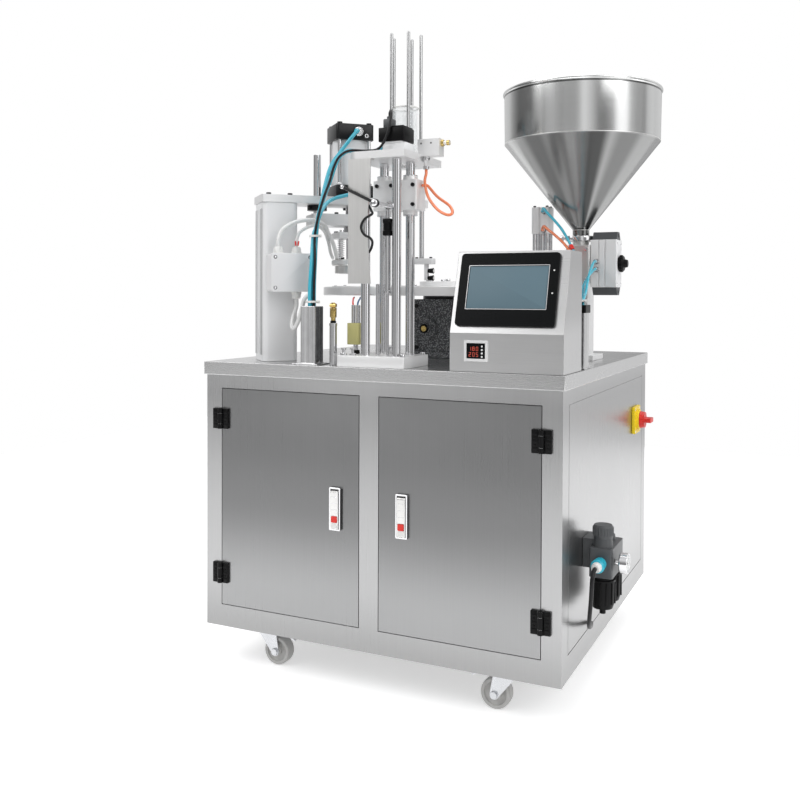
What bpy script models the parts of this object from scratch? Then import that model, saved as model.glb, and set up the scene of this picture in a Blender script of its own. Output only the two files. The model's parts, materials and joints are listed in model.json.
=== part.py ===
"""Rotary filling and sealing machine on a wheeled cabinet.

A dial carries cups past a hopper with a metering valve, a lid placing
station and a heat sealing press. All sizes are metres, X to the right, Y to
the back and Z up. Every place is first given from the cabinet's front, left,
bottom corner, and one empty then moves the whole machine so that its origin
is the centre of the box it fills, on the floor.
"""

import math

import bmesh
import bpy
import numpy as np
from mathutils import Matrix, Vector

# Clearances and shared values
GAP = 0.0003
OVERRUN = 0.004
ROUND_SIDES = 16
FINE_SIDES = 28
WIDE_SIDES = 48
SMOOTH_ANGLE = math.radians(32)
WELD = 0.00001

# Cabinet
CABINET_WIDTH = 0.800
CABINET_DEPTH = 0.798
DECK_TOP = 0.578
DECK_THICKNESS = 0.003
DECK_LIP = 0.028
DECK_OVERHANG = 0.005
DECK_LIP_WALL = 0.0025
SKIN = 0.003
FRONT_RAIL_DEPTH = 0.022
TOP_FLANGE_WIDTH = 0.025
SEAM_MARGIN = 0.044
SEAM_WIDTH = 0.002
SEAM_DEPTH = 0.0012
SHAFT_HOLE_RADIUS = 0.030

# Doors
DOOR_SIDE_MARGIN = 0.039
CENTRE_POST_WIDTH = 0.043
DOOR_TOP = 0.5215
DOOR_BOTTOM = 0.047
DOOR_GAP = 0.0015
DOOR_SKIN = 0.0015
DOOR_PAN_DEPTH = 0.020

# Door hinges
HINGE_HEIGHT = 0.044
HINGE_LEAF_WIDTH = 0.019
HINGE_LEAF_THICKNESS = 0.005
HINGE_KNUCKLE_RADIUS = 0.0055
HINGE_PIN_RADIUS = 0.002
HINGE_AXIS_OUT = 0.0060
HINGE_MIDDLE_SHARE = 0.5
HINGE_LOWER_Z = 0.118
HINGE_UPPER_Z = 0.455
HINGE_SINK = 0.001

# Door latches
LATCH_WIDTH = 0.026
LATCH_HEIGHT = 0.088
LATCH_PROUD = 0.006
LATCH_DEPTH_BEHIND = 0.011
LATCH_FLANGE = 0.0035
LATCH_FROM_DOOR_EDGE = 0.054
LATCH_MIDDLE_Z = 0.2855
LATCH_FLOOR = 0.003
LEVER_HALF = 0.005
LEVER_PIN_RADIUS = 0.0016
LEVER_PIN_DROP = 0.0065
BUTTON_SIZE = 0.0130
BUTTON_DROP = 0.0195
BUTTON_PROUD = 0.0020
BUTTON_TRAVEL = 0.0025

# Castors
CASTOR_HEIGHT = 0.087
CASTOR_INSET_X = 0.125
CASTOR_INSET_Y = 0.065
CASTOR_PLATE_LENGTH = 0.074
CASTOR_PLATE_WIDTH = 0.062
CASTOR_PLATE_THICKNESS = 0.003
RACE_RADIUS = 0.022
RACE_HEIGHT = 0.010
FORK_SHEET = 0.0028
FORK_INNER_WIDTH = 0.032
FORK_CROWN_LENGTH = 0.050
CASTOR_TRAIL = 0.022
WHEEL_RADIUS = 0.031
WHEEL_WIDTH = 0.026
WHEEL_EDGE = 0.0035
WHEEL_HUB_RADIUS = 0.011
WHEEL_HUB_WIDTH = 0.0300
WHEEL_WEB_WIDTH = 0.014
WHEEL_RIM_INNER_RADIUS = 0.022
AXLE_RADIUS = 0.004
AXLE_NUT_RADIUS = 0.0065
AXLE_NUT_HEIGHT = 0.004
FORK_EYE_RADIUS = 0.0095
PEDAL_PIN_RADIUS = 0.0016
PEDAL_BOSS_RADIUS = 0.0035
PEDAL_LENGTH = 0.052
PEDAL_THICKNESS = 0.003
PEDAL_PAD_LENGTH = 0.016
PEDAL_PAD_DROP = 0.007

# Operator panel
PANEL_WIDTH = 0.226
PANEL_BEYOND = 0.001
PANEL_RIGHT = CABINET_WIDTH + PANEL_BEYOND
PANEL_LEFT = PANEL_RIGHT - PANEL_WIDTH
PANEL_UPRIGHT_HEIGHT = 0.075
PANEL_HEIGHT = 0.233
PANEL_SLOPE_DEPTH = 0.047
PANEL_DEPTH = 0.128
PANEL_SHEET = 0.002
PANEL_CORNER = 0.004
BEZEL_WIDTH = 0.198
BEZEL_HEIGHT = 0.146
BEZEL_THICKNESS = 0.006
BEZEL_CORNER = 0.006
BEZEL_UP_SLOPE = 0.086
BEZEL_SHIFT = -0.004
SCREEN_WIDTH = 0.160
SCREEN_HEIGHT = 0.087
SCREEN_RECESS = 0.0015
SCREEN_RAISE = 0.004
PANEL_BODY_BEHIND = 0.018
PANEL_BODY_INSET = 0.006
CONTROLLER_LEFT = 0.606
CONTROLLER_WIDTH = 0.048
CONTROLLER_HEIGHT = 0.040
CONTROLLER_BOTTOM = 0.021
CONTROLLER_PROUD = 0.004
CONTROLLER_BEHIND = 0.045
CONTROLLER_BODY_INSET = 0.002
CONTROLLER_RECESS = 0.0012
CONTROLLER_BORDER = 0.005

# Mains isolator on the right side
ISOLATOR_SIZE = 0.066
ISOLATOR_THICKNESS = 0.008
ISOLATOR_Y = 0.660
ISOLATOR_Z = 0.420
ISOLATOR_COLLAR_RADIUS = 0.024
ISOLATOR_COLLAR_HEIGHT = 0.006
ISOLATOR_KNOB_RADIUS = 0.021
ISOLATOR_KNOB_HEIGHT = 0.012
ISOLATOR_GRIP_WIDTH = 0.011
ISOLATOR_GRIP_HEIGHT = 0.016

# Air filter, regulator and lubricator on the right side
AIR_Y = 0.150
AIR_BODY_BOTTOM = 0.176
AIR_BODY_HEIGHT = 0.058
AIR_BODY_DEPTH = 0.046
AIR_BODY_STANDOFF = 0.018
AIR_UNIT_PITCH = 0.056
AIR_BONNET_RADIUS = 0.020
AIR_BONNET_HEIGHT = 0.016
AIR_KNOB_RADIUS = 0.0195
AIR_KNOB_HEIGHT = 0.026
AIR_KNOB_STEM_RADIUS = 0.008
AIR_KNOB_STEM = 0.006
BOWL_RADIUS = 0.0235
BOWL_HEIGHT = 0.066
BOWL_NECK_RADIUS = 0.019
BOWL_NECK_HEIGHT = 0.006
BOWL_DRAIN_RADIUS = 0.005
BOWL_DRAIN_HEIGHT = 0.008
GAUGE_RADIUS = 0.020
GAUGE_DEPTH = 0.016
GAUGE_STEM_RADIUS = 0.006
GAUGE_STEM = 0.010
GAUGE_GLASS_RECESS = 0.002
GAUGE_RIM = 0.002
COUPLER_RADIUS = 0.0085
COUPLER_LENGTH = 0.030
COUPLER_NUT_RADIUS = 0.012
COUPLER_NUT_LENGTH = 0.012

# Dial and indexer
DIAL_X = 0.400
DIAL_Y = 0.400
DIAL_RADIUS = 0.292
DIAL_BOTTOM = 0.724
DIAL_THICKNESS = 0.020
DIAL_STATIONS = 8
DIAL_PITCH_RADIUS = 0.240
POCKET_RADIUS = 0.036
POCKET_SEAT_RADIUS = 0.041
POCKET_SEAT_DEPTH = 0.005
DIAL_HUB_RADIUS = 0.062
DIAL_HUB_HEIGHT = 0.014
OUTPUT_RADIUS = 0.053
OUTPUT_HEIGHT = 0.008
INDEXER_WIDTH = 0.118
INDEXER_DEPTH = 0.124
INDEXER_FOOT_MARGIN = 0.012
INDEXER_FOOT_HEIGHT = 0.014
INDEXER_CORNER = 0.008
INDEXER_SIDE_STEP = 0.012
INDEXER_SIDE_WIDTH = 0.034
INDEXER_BOSS_RADIUS = 0.026
INDEXER_BOSS_LENGTH = 0.010
INDEXER_PLUG_RADIUS = 0.010
INDEXER_PLUG_LENGTH = 0.008

# Filling station
HOPPER_X = 0.729
HOPPER_Y = 0.400
HOPPER_RADIUS = 0.1733
HOPPER_BEAD_RADIUS = 0.003
HOPPER_WALL = 0.0016
HOPPER_RIM_Z = 1.182
HOPPER_SHELL_HEIGHT = 0.115
HOPPER_CONE_HEIGHT = 0.194
HOPPER_OUTLET_RADIUS = 0.0185
HOPPER_OUTLET_HEIGHT = 0.020
FERRULE_RADIUS = 0.0255
FERRULE_HEIGHT = 0.005
VALVE_BLOCK_WIDTH = 0.056
VALVE_BLOCK_DEPTH = 0.056
VALVE_BLOCK_BOTTOM = 0.752
VALVE_BLOCK_TOP = 0.838
VALVE_CORNER = 0.006
ACTUATOR_RIGHT = 0.826
ACTUATOR_DEPTH = 0.052
ACTUATOR_BOTTOM = 0.744
ACTUATOR_TOP = 0.849
ACTUATOR_FACE = 0.006
ACTUATOR_GROOVE = 0.003
ACTUATOR_CAP_HEIGHT = 0.017
ACTUATOR_CAP_TAPER = 0.011
ACTUATOR_CAP_HOLE = 0.003
ACTUATOR_GROOVE_SHARES = (0.30, 0.55)
ACTUATOR_PORT_IN = 0.014
ACTUATOR_PORT_RISES = (0.004, -0.013)
PORT_RADIUS = 0.0048
PORT_LENGTH = 0.012
ACTUATOR_SHAFT_RADIUS = 0.006
KNOB_RADIUS = 0.0175
KNOB_LENGTH = 0.013
KNOB_STEM_RADIUS = 0.010
KNOB_STEM_LENGTH = 0.008
STAND_WIDTH = 0.044
STAND_DEPTH = 0.060
STAND_X = 0.716
STAND_FOOT = 0.012
STAND_FOOT_MARGIN = 0.018
BRACKET_THICKNESS = 0.012
BRACKET_DEPTH = 0.070
NOZZLE_X = 0.640
NOZZLE_BORE_GAP = 0.0005
NOZZLE_RADIUS = 0.011
NOZZLE_TIP_RADIUS = 0.008
NOZZLE_TIP_HEIGHT = 0.012
NOZZLE_BOTTOM = 0.782
NOZZLE_BORE_RADIUS = 0.0064
NOZZLE_TRAVEL = 0.020
BRACKET_REACH = 0.038
FILL_PLATE_TOP = 0.820
FILL_CYLINDER_RADIUS = 0.021
FILL_CYLINDER_BOTTOM = 0.866
FILL_CYLINDER_HEIGHT = 0.060
FILL_BAR_RADIUS = 0.0042
FILL_BAR_SPREAD = 0.0145
FILL_COLLAR_RADIUS = 0.0062
FILL_COLLAR_HEIGHT = 0.008
FILL_PORT_SIDE = 0.011
FILL_PORT_RISES = (0.007, 0.049)
PIPE_RADIUS = 0.0125

# Sealing station, along the dial's radius at its own angle
SEAL_ANGLE = math.radians(225)
SEAL_COLUMN_BACK = 0.172
SEAL_COLUMN_LENGTH = 0.080
SEAL_COLUMN_WIDTH = 0.092
SEAL_COLUMN_ROUND = 0.014
SEAL_COLUMN_SLOT_WIDTH = 0.010
SEAL_COLUMN_SLOT_DEPTH = 0.006
SEAL_ARM_BOTTOM = 0.929
SEAL_ARM_THICKNESS = 0.017
SEAL_ARM_OVERHANG = 0.002
SEAL_ARM_BEYOND = 0.052
SEAL_ARM_WIDTH = 0.094
GUIDE_ROD_RADIUS = 0.0085
GUIDE_ROD_BACK = 0.078
GUIDE_ROD_TOP = 1.044
CYLINDER_SIZE = 0.088
CYLINDER_HEAD_HEIGHT = 0.036
CYLINDER_FOOT_HEIGHT = 0.028
CYLINDER_HEIGHT = 0.167
CYLINDER_TOP = SEAL_ARM_BOTTOM + SEAL_ARM_THICKNESS + CYLINDER_HEIGHT
CYLINDER_BARREL_RADIUS = 0.041
CYLINDER_TIE_RADIUS = 0.0045
CYLINDER_TIE_INSET = 0.0095
CYLINDER_CORNER = 0.006
PORT_NUT_RADIUS = 0.009
PORT_NUT_LENGTH = 0.007
PRESS_PLATE_DROP = 0.021
PRESS_PLATE_TOP = SEAL_ARM_BOTTOM - PRESS_PLATE_DROP
PRESS_PLATE_THICKNESS = 0.026
PRESS_PLATE_LENGTH = 0.150
PRESS_PLATE_WIDTH = 0.080
PISTON_ROD_RADIUS = 0.010
PRESS_SECOND_TOP = 0.868
PRESS_SECOND_THICKNESS = 0.014
PRESS_SECOND_SIZE = 0.070
PRESS_NECK_RADIUS = 0.0085
PRESS_NECK_BOTTOM = 0.806
PRESS_SPRING_RADIUS = 0.0165
HEATER_RADIUS = 0.040
HEATER_THICKNESS = 0.014
HEATER_SHOE_RADIUS = 0.034
HEATER_SHOE_HEIGHT = 0.018
PRESS_TRAVEL = 0.020

# Junction box on the sealing column
BOX_LENGTH = 0.092
BOX_HEIGHT = 0.082
BOX_DEPTH = 0.055
BOX_BOTTOM = 0.732
BOX_SHIFT = 0.014
BOX_CORNER = 0.005
GLAND_RADIUS = 0.0095
GLAND_HEIGHT = 0.014
GLAND_BORE = 0.0052
GLAND_SHARES = (-0.28, 0.16)

# Hose ducts on the deck
DUCT_SIZE = 0.036
DUCT_WALL = 0.0016
DUCT_HEIGHT = 0.123
DUCT_FOOT = 0.062
DUCT_FOOT_THICKNESS = 0.0025
DUCT_LEFT_X = 0.245
DUCT_LEFT_Y = 0.036
DUCT_RIGHT_INSET = 0.021
DUCT_RIGHT_X = CABINET_WIDTH - DUCT_RIGHT_INSET
DUCT_RIGHT_Y = 0.186
DUCT_RIGHT_SHORTER = 0.004
TRIM_WALL = 0.002
TRIM_LAP = 0.006
TRIM_HEIGHT = 0.009

# Lid placing station
LID_BASE_LEFT = 0.326
LID_BASE_RIGHT = 0.478
LID_BASE_FRONT = -0.002
LID_BASE_DEPTH = 0.122
LID_BASE_THICKNESS = 0.023
COLUMN_RADIUS = 0.0095
COLUMN_LEFT_X = 0.380
COLUMN_RIGHT_X = 0.450
COLUMN_FRONT_Y = 0.022
COLUMN_REAR_Y = 0.0875
COLUMN_REAR_SHIFT = 0.010
TOP_PLATE_LEFT = 0.349
TOP_PLATE_RIGHT = 0.476
TOP_PLATE_FRONT = 0.0
TOP_PLATE_DEPTH = 0.190
TOP_PLATE_BOTTOM = 1.000
TOP_PLATE_THICKNESS = 0.015
TOP_PLATE_ROUND = 0.018
SLIDER_LEFT = 0.374
SLIDER_RIGHT = 0.475
SLIDER_FRONT = 0.065
SLIDER_DEPTH = 0.046
SLIDER_BOTTOM = 0.900
SLIDER_HEIGHT = 0.062
SLIDER_TRAVEL_DOWN = 0.008
SLIDER_TRAVEL_UP = 0.020
BUSH_RADIUS = 0.0150
BUSH_PROUD = 0.010
AXLE_X = 0.419
AXLE_Z = 0.908
AXLE_BAR_RADIUS = 0.0045
AXLE_FRONT = -0.0170
LINK_BACK = -0.0100
LINK_EYE_RADIUS = 0.0085
LINK_ROD_RADIUS = 0.0032
LINK_END_X = 0.346
LINK_END_Z = 0.943
LINK_BALL_RADIUS = 0.0050
PICKER_POST_X = 0.462
PICKER_POST_Y = 0.1190
PICKER_POST_RADIUS = 0.0050
PICKER_POST_TOP = 0.950
PICKER_COLLAR_RADIUS = 0.0070
PICKER_COLLAR_HEIGHT = 0.006
PICKER_LUG_HALF = 0.010
PICKER_LUG_BOTTOM = 0.908
PICKER_LUG_HEIGHT = 0.016
PICKER_ARM_THICKNESS = 0.012
PICKER_ARM_WIDTH = 0.020
PICKER_ARM_TOP = 0.802
PICKER_ARM_BACK = 0.0155
PICKER_ARM_REACH = 0.0285
PICKER_STEM_START = 0.008
PICKER_STEM_END = 0.015
PICKER_STEM_BOTTOM = 0.756
CUP_RADIUS = 0.0063
CUP_END = 0.028
CUP_HEIGHTS = (0.776, 0.761)
FRONT_GEAR_X = 0.4290
FRONT_GEAR_Y = 0.0240
FRONT_SHAFT_RADIUS = 0.0034
FRONT_BARREL_RADIUS = 0.0066
FRONT_BARREL_BOTTOM = 0.729
SHOCK_RADIUS = 0.0105
SHOCK_WAIST_RADIUS = 0.0088
SHOCK_BOTTOM = 0.845
SHOCK_TOP = 0.880
SHOCK_COLLAR_HEIGHT = 0.010
SHOCK_TIP_RADIUS = 0.0044
SHOCK_TIP_TOP = 0.898
SENSOR_X = 0.335
SENSOR_Y = 0.065
SENSOR_WIDTH = 0.028
SENSOR_DEPTH = 0.026
SENSOR_BOTTOM = 0.621
SENSOR_TOP = 0.666
SENSOR_POST_RADIUS = 0.005
SENSOR_STUB_SPREAD = 0.0055
SENSOR_STUB_RADIUS = 0.0045
SENSOR_STUB_TOP = 0.704
TOP_BODY_LOW = (0.408, 0.038)
TOP_BODY_HIGH = (0.462, 0.084)
TOP_BODY_HEIGHT = 0.022
TOP_COIL_LOW = (0.402, 0.034)
TOP_COIL_HIGH = (0.459, 0.086)
TOP_COIL_HEIGHT = 0.0315
TOP_PLUG_LOW = (0.405, 0.048)
TOP_PLUG_HIGH = (0.426, 0.070)
TOP_PLUG_HEIGHT = 0.0175
TOP_PLUG_STUB_RADIUS = 0.0055
TOP_PLUG_STUB_HEIGHT = 0.006
VACUUM_LOW = (0.470, 0.078, 1.0095)
VACUUM_HIGH = (0.518, 0.104, 1.0445)
VACUUM_PORT_Z = 1.0357
VACUUM_PORT_LENGTH = 0.018
VACUUM_ELBOW_X = 0.484
VACUUM_ELBOW_RADIUS = 0.0055
VACUUM_ELBOW_BOTTOM = 0.984
COVER_LEFT = 0.353
COVER_RIGHT = 0.404
COVER_FRONT = -0.0035
COVER_SHEET = 0.002
COVER_BOTTOM = 0.748
COVER_CUT_RADIUS = 0.020
COVER_CUT_Z = 0.862
MAGAZINE_X = 0.413
MAGAZINE_Y = 0.140
MAGAZINE_ROD_COUNT = 5
MAGAZINE_ROD_RADIUS = 0.0034
MAGAZINE_PITCH_RADIUS = 0.0335
MAGAZINE_TOP = 1.280
MAGAZINE_RING_HEIGHT = 0.010
MAGAZINE_RING_WALL = 0.012
MAGAZINE_TURN_SHARE = 0.25
TUBE_RADIUS = 0.0270
TUBE_WALL = 0.0020
TUBE_HEIGHT = 0.110

# Drive motor under the deck
DRIVE_BOX_SIZE = 0.110
DRIVE_BOX_HEIGHT = 0.100
DRIVE_BOX_CORNER = 0.006
DRIVE_MOTOR_RADIUS = 0.048
DRIVE_MOTOR_LENGTH = 0.115
DRIVE_SHAFT_RADIUS = 0.014

# Hoses and cables: their radii, their ties and the places they pass
AIR_HOSE_RADIUS = 0.0030
CABLE_RADIUS = 0.0026
CONDUIT_RADIUS = 0.0046
THIN_CONDUIT_RADIUS = 0.0036
INLET_HOSE_RADIUS = 0.0042
HOSE_FACETS = 2
HOSE_STEP_SHARE = 6.0
CURVE_STEPS = 12
HOSE_LEAD = 0.007
DUCT_END_Z = 0.690
TIE_HEIGHT = 0.0045
TIE_RADIUS = 0.0112
UPPER_TIE = (0.2436, 0.0494, 0.848)
LOWER_TIE_RADIUS = 0.0145
LOWER_TIE = (0.2455, 0.0365, 0.708)
FILLER_TIE_RADIUS = 0.0125
FILLER_TIE = (0.7785, 0.1925, 0.7125)
CONDUIT_TIE_RADIUS = 0.0030
CONDUIT_TIE_TOP = (0.200, 0.112, 0.8905)
CONDUIT_TIE_FOOT = (0.202, 0.115, 0.8785)
UPPER_PRESS_ROUTE = ((0.264, 0.178, 1.080), (0.243, 0.163, 1.046), (0.229, 0.143, 1.011), (0.228, 0.115, 0.956),
                     (0.2315, 0.087, 0.899), (0.2395, 0.056, 0.850), (0.240, 0.046, 0.797), (0.241, 0.0375, 0.740))
LOWER_PRESS_ROUTE = ((0.268, 0.176, 0.953), (0.256, 0.156, 0.946), (0.246, 0.130, 0.938), (0.241, 0.106, 0.926),
                     (0.242, 0.078, 0.903), (0.2425, 0.056, 0.868), (0.2405, 0.0485, 0.850),
                     (0.2445, 0.035, 0.797), (0.244, 0.029, 0.740))
LID_HOSE_ROUTE = ((0.388, 0.0445, 1.0200), (0.374, 0.037, 1.0195), (0.357, 0.026, 1.0195), (0.344, 0.012, 1.0195),
                  (0.330, 0.000, 1.006), (0.318, 0.002, 0.985), (0.300, 0.014, 0.958), (0.276, 0.034, 0.932),
                  (0.254, 0.048, 0.897), (0.247, 0.050, 0.850), (0.2495, 0.041, 0.797), (0.250, 0.036, 0.740))
CABLE_ROUTE = ((0.418, 0.0555, 1.101), (0.424, 0.048, 1.103), (0.430, 0.036, 1.090), (0.428, 0.028, 1.060),
               (0.418, 0.026, 1.034), (0.404, 0.024, 1.0205), (0.380, 0.018, 1.0185), (0.350, 0.006, 1.019),
               (0.335, -0.008, 1.006), (0.322, -0.008, 0.985), (0.305, 0.004, 0.957), (0.282, 0.022, 0.930),
               (0.260, 0.038, 0.895), (0.2475, 0.043, 0.850), (0.2535, 0.034, 0.797), (0.254, 0.029, 0.740))
SUPPLY_ROUTE = ((0.1811, 0.0768, 0.700), (0.178, 0.068, 0.675), (0.182, 0.058, 0.657), (0.192, 0.050, 0.652),
                (0.206, 0.044, 0.668), (0.2165, 0.042, 0.696), (0.2210, 0.0435, 0.714), (0.2300, 0.0455, 0.7240),
                (0.2370, 0.0460, 0.7120))
HEATER_ROUTE = ((0.158, 0.056, 0.866), (0.176, 0.080, 0.884), (0.200, 0.112, 0.8905), (0.214, 0.137, 0.882),
                (0.2185, 0.153, 0.862), (0.2225, 0.168, 0.838), (0.2232, 0.1835, 0.8085))
THIN_HEATER_ROUTE = ((0.186, 0.086, 0.864), (0.202, 0.115, 0.8785), (0.212, 0.140, 0.870), (0.213, 0.160, 0.846),
                     (0.2105, 0.175, 0.822), (0.210, 0.187, 0.8085))
VACUUM_ROUTE = ((0.484, 0.091, 0.975), (0.486, 0.080, 0.957), (0.499, 0.066, 0.926), (0.522, 0.058, 0.899),
                (0.545, 0.054, 0.886), (0.556, 0.058, 0.889), (0.545, 0.070, 0.905), (0.512, 0.086, 0.926),
                (0.494, 0.090, 0.944), (0.4865, 0.090, 0.951), (0.4758, 0.090, 0.951))
LIFT_UP_ROUTE = ((0.657, 0.349, 0.920), (0.667, 0.345, 0.909), (0.684, 0.341, 0.892), (0.705, 0.334, 0.868),
                 (0.728, 0.322, 0.832), (0.752, 0.290, 0.792), (0.770, 0.240, 0.748), (0.7775, 0.200, 0.716))
LIFT_DOWN_ROUTE = ((0.658, 0.349, 0.880), (0.669, 0.343, 0.872), (0.688, 0.336, 0.858), (0.713, 0.326, 0.836),
                   (0.738, 0.306, 0.806), (0.756, 0.268, 0.772), (0.767, 0.222, 0.734), (0.7705, 0.196, 0.714))
VALVE_UP_ROUTE = ((0.7715, 0.342, 0.7965), (0.772, 0.326, 0.788), (0.775, 0.285, 0.764), (0.782, 0.235, 0.732),
                  (0.7865, 0.1985, 0.716))
VALVE_DOWN_ROUTE = ((0.770, 0.342, 0.779), (0.768, 0.322, 0.770), (0.767, 0.280, 0.750), (0.775, 0.236, 0.728),
                    (0.779, 0.1985, 0.716))
LEFT_DUCT_SPOTS = ((0.241, 0.0375), (0.244, 0.029), (0.250, 0.036), (0.254, 0.029), (0.2375, 0.046))
RIGHT_DUCT_SPOTS = ((0.7785, 0.1845), (0.771, 0.1885), (0.7868, 0.1925), (0.779, 0.194))
INLET_ROUTE = ((0.841, 0.076, 0.204), (0.840, 0.066, 0.188), (0.838, 0.066, 0.150), (0.832, 0.080, 0.112),
               (0.824, 0.110, 0.085), (0.815, 0.160, 0.068), (0.8056, 0.205, 0.0585))


def cleared():
    """Remove every object that a new scene starts with."""
    for thing in list(bpy.data.objects):
        bpy.data.objects.remove(thing, do_unlink=True)


def object_from(mesh_builder):
    """Turn a filled bmesh into an object with outward faces."""
    mesh = bpy.data.meshes.new("solid")
    bmesh.ops.recalc_face_normals(mesh_builder, faces=mesh_builder.faces)
    mesh_builder.to_mesh(mesh)
    mesh_builder.free()
    solid = bpy.data.objects.new("solid", mesh)
    bpy.context.collection.objects.link(solid)
    return solid


def block(low, high, corner=0, edges="all", segments=2):
    """Make a box between two corners, with its edges rounded where asked."""
    low, high = Vector(low), Vector(high)
    builder = bmesh.new()
    bmesh.ops.create_cube(builder, size=1)
    size = Matrix.Diagonal((*(high - low), 1))
    bmesh.ops.transform(builder, matrix=Matrix.Translation((low + high) / 2) @ size,
                        verts=builder.verts)
    if corner:
        chosen = [edge for edge in builder.edges if edges == "all" or upright(edge, edges)]
        bmesh.ops.bevel(builder, geom=chosen, offset=corner, segments=segments,
                        profile=0.5, affect="EDGES")
    return object_from(builder)


def upright(edge, axis_name):
    """Say whether an edge runs along the named axis."""
    along = edge.verts[1].co - edge.verts[0].co
    return abs(along["xyz".index(axis_name)]) > along.length * 0.99


def flat_round(vert):
    """Say whether the faces round a point lie in one plane."""
    return all(abs(edge.other_vert(vert).co.z - vert.co.z) < WELD for edge in vert.link_edges)


def axis_turn(axis):
    """Give the rotation that takes +Z to the given direction."""
    return Vector((0, 0, 1)).rotation_difference(Vector(axis)).to_matrix().to_4x4()


def turned(profile, base=(0, 0, 0), axis=(0, 0, 1), sides=ROUND_SIDES, flat_down=False):
    """Spin a closed outline of (radius, height) points round an axis."""
    builder = bmesh.new()
    ring = [builder.verts.new((radius, 0, height)) for radius, height in profile]
    for first, second in zip(ring, ring[1:] + ring[:1]):
        if first.co.x > WELD or second.co.x > WELD:
            builder.edges.new((first, second))
    bmesh.ops.spin(builder, geom=builder.verts[:] + builder.edges[:], cent=(0, 0, 0),
                   axis=(0, 0, 1), angle=math.tau, steps=sides, use_merge=True)
    bmesh.ops.remove_doubles(builder, verts=builder.verts, dist=WELD)
    poles = [vert for vert in builder.verts if vert.co.xy.length < WELD and flat_round(vert)]
    bmesh.ops.dissolve_verts(builder, verts=poles)
    start = Matrix.Rotation(math.pi / sides if flat_down else 0, 4, "Z")
    bmesh.ops.transform(builder, matrix=Matrix.Translation(Vector(base)) @ axis_turn(axis) @ start,
                        verts=builder.verts)
    return object_from(builder)


def rod(start, end, radius, sides=ROUND_SIDES, end_radius=None):
    """Make a round bar between two points, or a taper where two radii are given."""
    start, end = Vector(start), Vector(end)
    length = (end - start).length
    tip = radius if end_radius is None else end_radius
    return turned([(0, 0), (radius, 0), (tip, length), (0, length)], start, end - start, sides)


def ring(centre, inner, outer, height, axis=(0, 0, 1), sides=ROUND_SIDES):
    """Make a flat ring or a sleeve that stands on a point."""
    outline = [(inner, 0), (outer, 0), (outer, height), (inner, height)]
    return turned(outline, centre, axis, sides)


def prism(outline, along, low, high):
    """Draw an outline in the plane square to an axis and extrude it."""
    others = [index for index in range(len("xyz")) if index != "xyz".index(along)]
    builder = bmesh.new()
    corners = []
    for first, second in outline:
        place = Vector((low, low, low))
        place[others[0]], place[others[1]] = first, second
        corners.append(builder.verts.new(place))
    face = builder.faces.new(corners)
    grown = bmesh.ops.extrude_face_region(builder, geom=[face])
    step = Vector((0, 0, 0))
    step["xyz".index(along)] = high - low
    moved = [item for item in grown["geom"] if isinstance(item, bmesh.types.BMVert)]
    bmesh.ops.translate(builder, vec=step, verts=moved)
    return object_from(builder)


def arc(centre, radius, start, end, steps):
    """List the points of a circular arc, angles in degrees."""
    angles = [math.radians(start + (end - start) * step / steps) for step in range(steps + 1)]
    return [(centre[0] + radius * math.cos(a), centre[1] + radius * math.sin(a)) for a in angles]


def combined(target, tools, operation):
    """Apply one exact Boolean for each tool and remove the tools."""
    for tool in tools:
        change = target.modifiers.new("shape", "BOOLEAN")
        change.operation = operation
        change.solver = "EXACT"
        change.object = tool
        shape = evaluated_mesh(target)
        target.modifiers.clear()
        target.data = shape
        bpy.data.objects.remove(tool, do_unlink=True)
    return target


def evaluated_mesh(thing):
    """Read an object's mesh with its modifiers applied."""
    bpy.context.view_layer.update()
    graph = bpy.context.evaluated_depsgraph_get()
    return bpy.data.meshes.new_from_object(thing.evaluated_get(graph))


def fused(target, *others):
    """Join solids that pass into each other into one body."""
    return combined(target, others, "UNION")


def cut(target, *tools):
    """Take the tools' space out of a solid."""
    return combined(target, tools, "DIFFERENCE")


def turn_solid(solid, matrix):
    """Move a solid's mesh by a matrix."""
    solid.data.transform(matrix)
    return solid


def smooth_line(points, step):
    """Space points evenly on a smooth curve through the given ones, and keep its straight ends."""
    knots = np.array(points, float)
    knots = np.vstack([2 * knots[0] - knots[1], knots, 2 * knots[-1] - knots[-2]])
    share = np.linspace(0, 1, CURVE_STEPS, endpoint=False)[:, None, None]
    first, second, third, fourth = knots[:-3], knots[1:-2], knots[2:-1], knots[3:]
    line = (2 * second + (third - first) * share
            + (2 * first - 5 * second + 4 * third - fourth) * share ** 2
            + (3 * second - first - 3 * third + fourth) * share ** 3) / 2
    line = np.vstack([line.transpose(1, 0, 2).reshape(-1, 3), knots[-2]])
    run = np.concatenate([[0], np.cumsum(np.linalg.norm(np.diff(line, axis=0), axis=1))])
    start, end = run[CURVE_STEPS], run[-1 - CURVE_STEPS]
    even = np.concatenate([[0], np.linspace(start, end, round((end - start) / step) + 1), run[-1:]])
    return np.stack([np.interp(even, run, line[:, index]) for index in range(3)], axis=-1)


def hose(points, radius):
    """Run a round hose along a smooth line through the given points."""
    curve = bpy.data.curves.new("hose", "CURVE")
    curve.dimensions = "3D"
    curve.bevel_depth = radius
    curve.bevel_resolution = HOSE_FACETS
    curve.use_fill_caps = True
    line = smooth_line(points, radius * HOSE_STEP_SHARE)
    spline = curve.splines.new("POLY")
    spline.points.add(len(line) - 1)
    for point, place in zip(spline.points, line):
        point.co = (*place, 1)
    carrier = bpy.data.objects.new("hose", curve)
    bpy.context.collection.objects.link(carrier)
    builder = bmesh.new()
    builder.from_mesh(evaluated_mesh(carrier))
    bpy.data.objects.remove(carrier, do_unlink=True)
    bmesh.ops.remove_doubles(builder, verts=builder.verts, dist=WELD)
    return object_from(builder)


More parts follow.
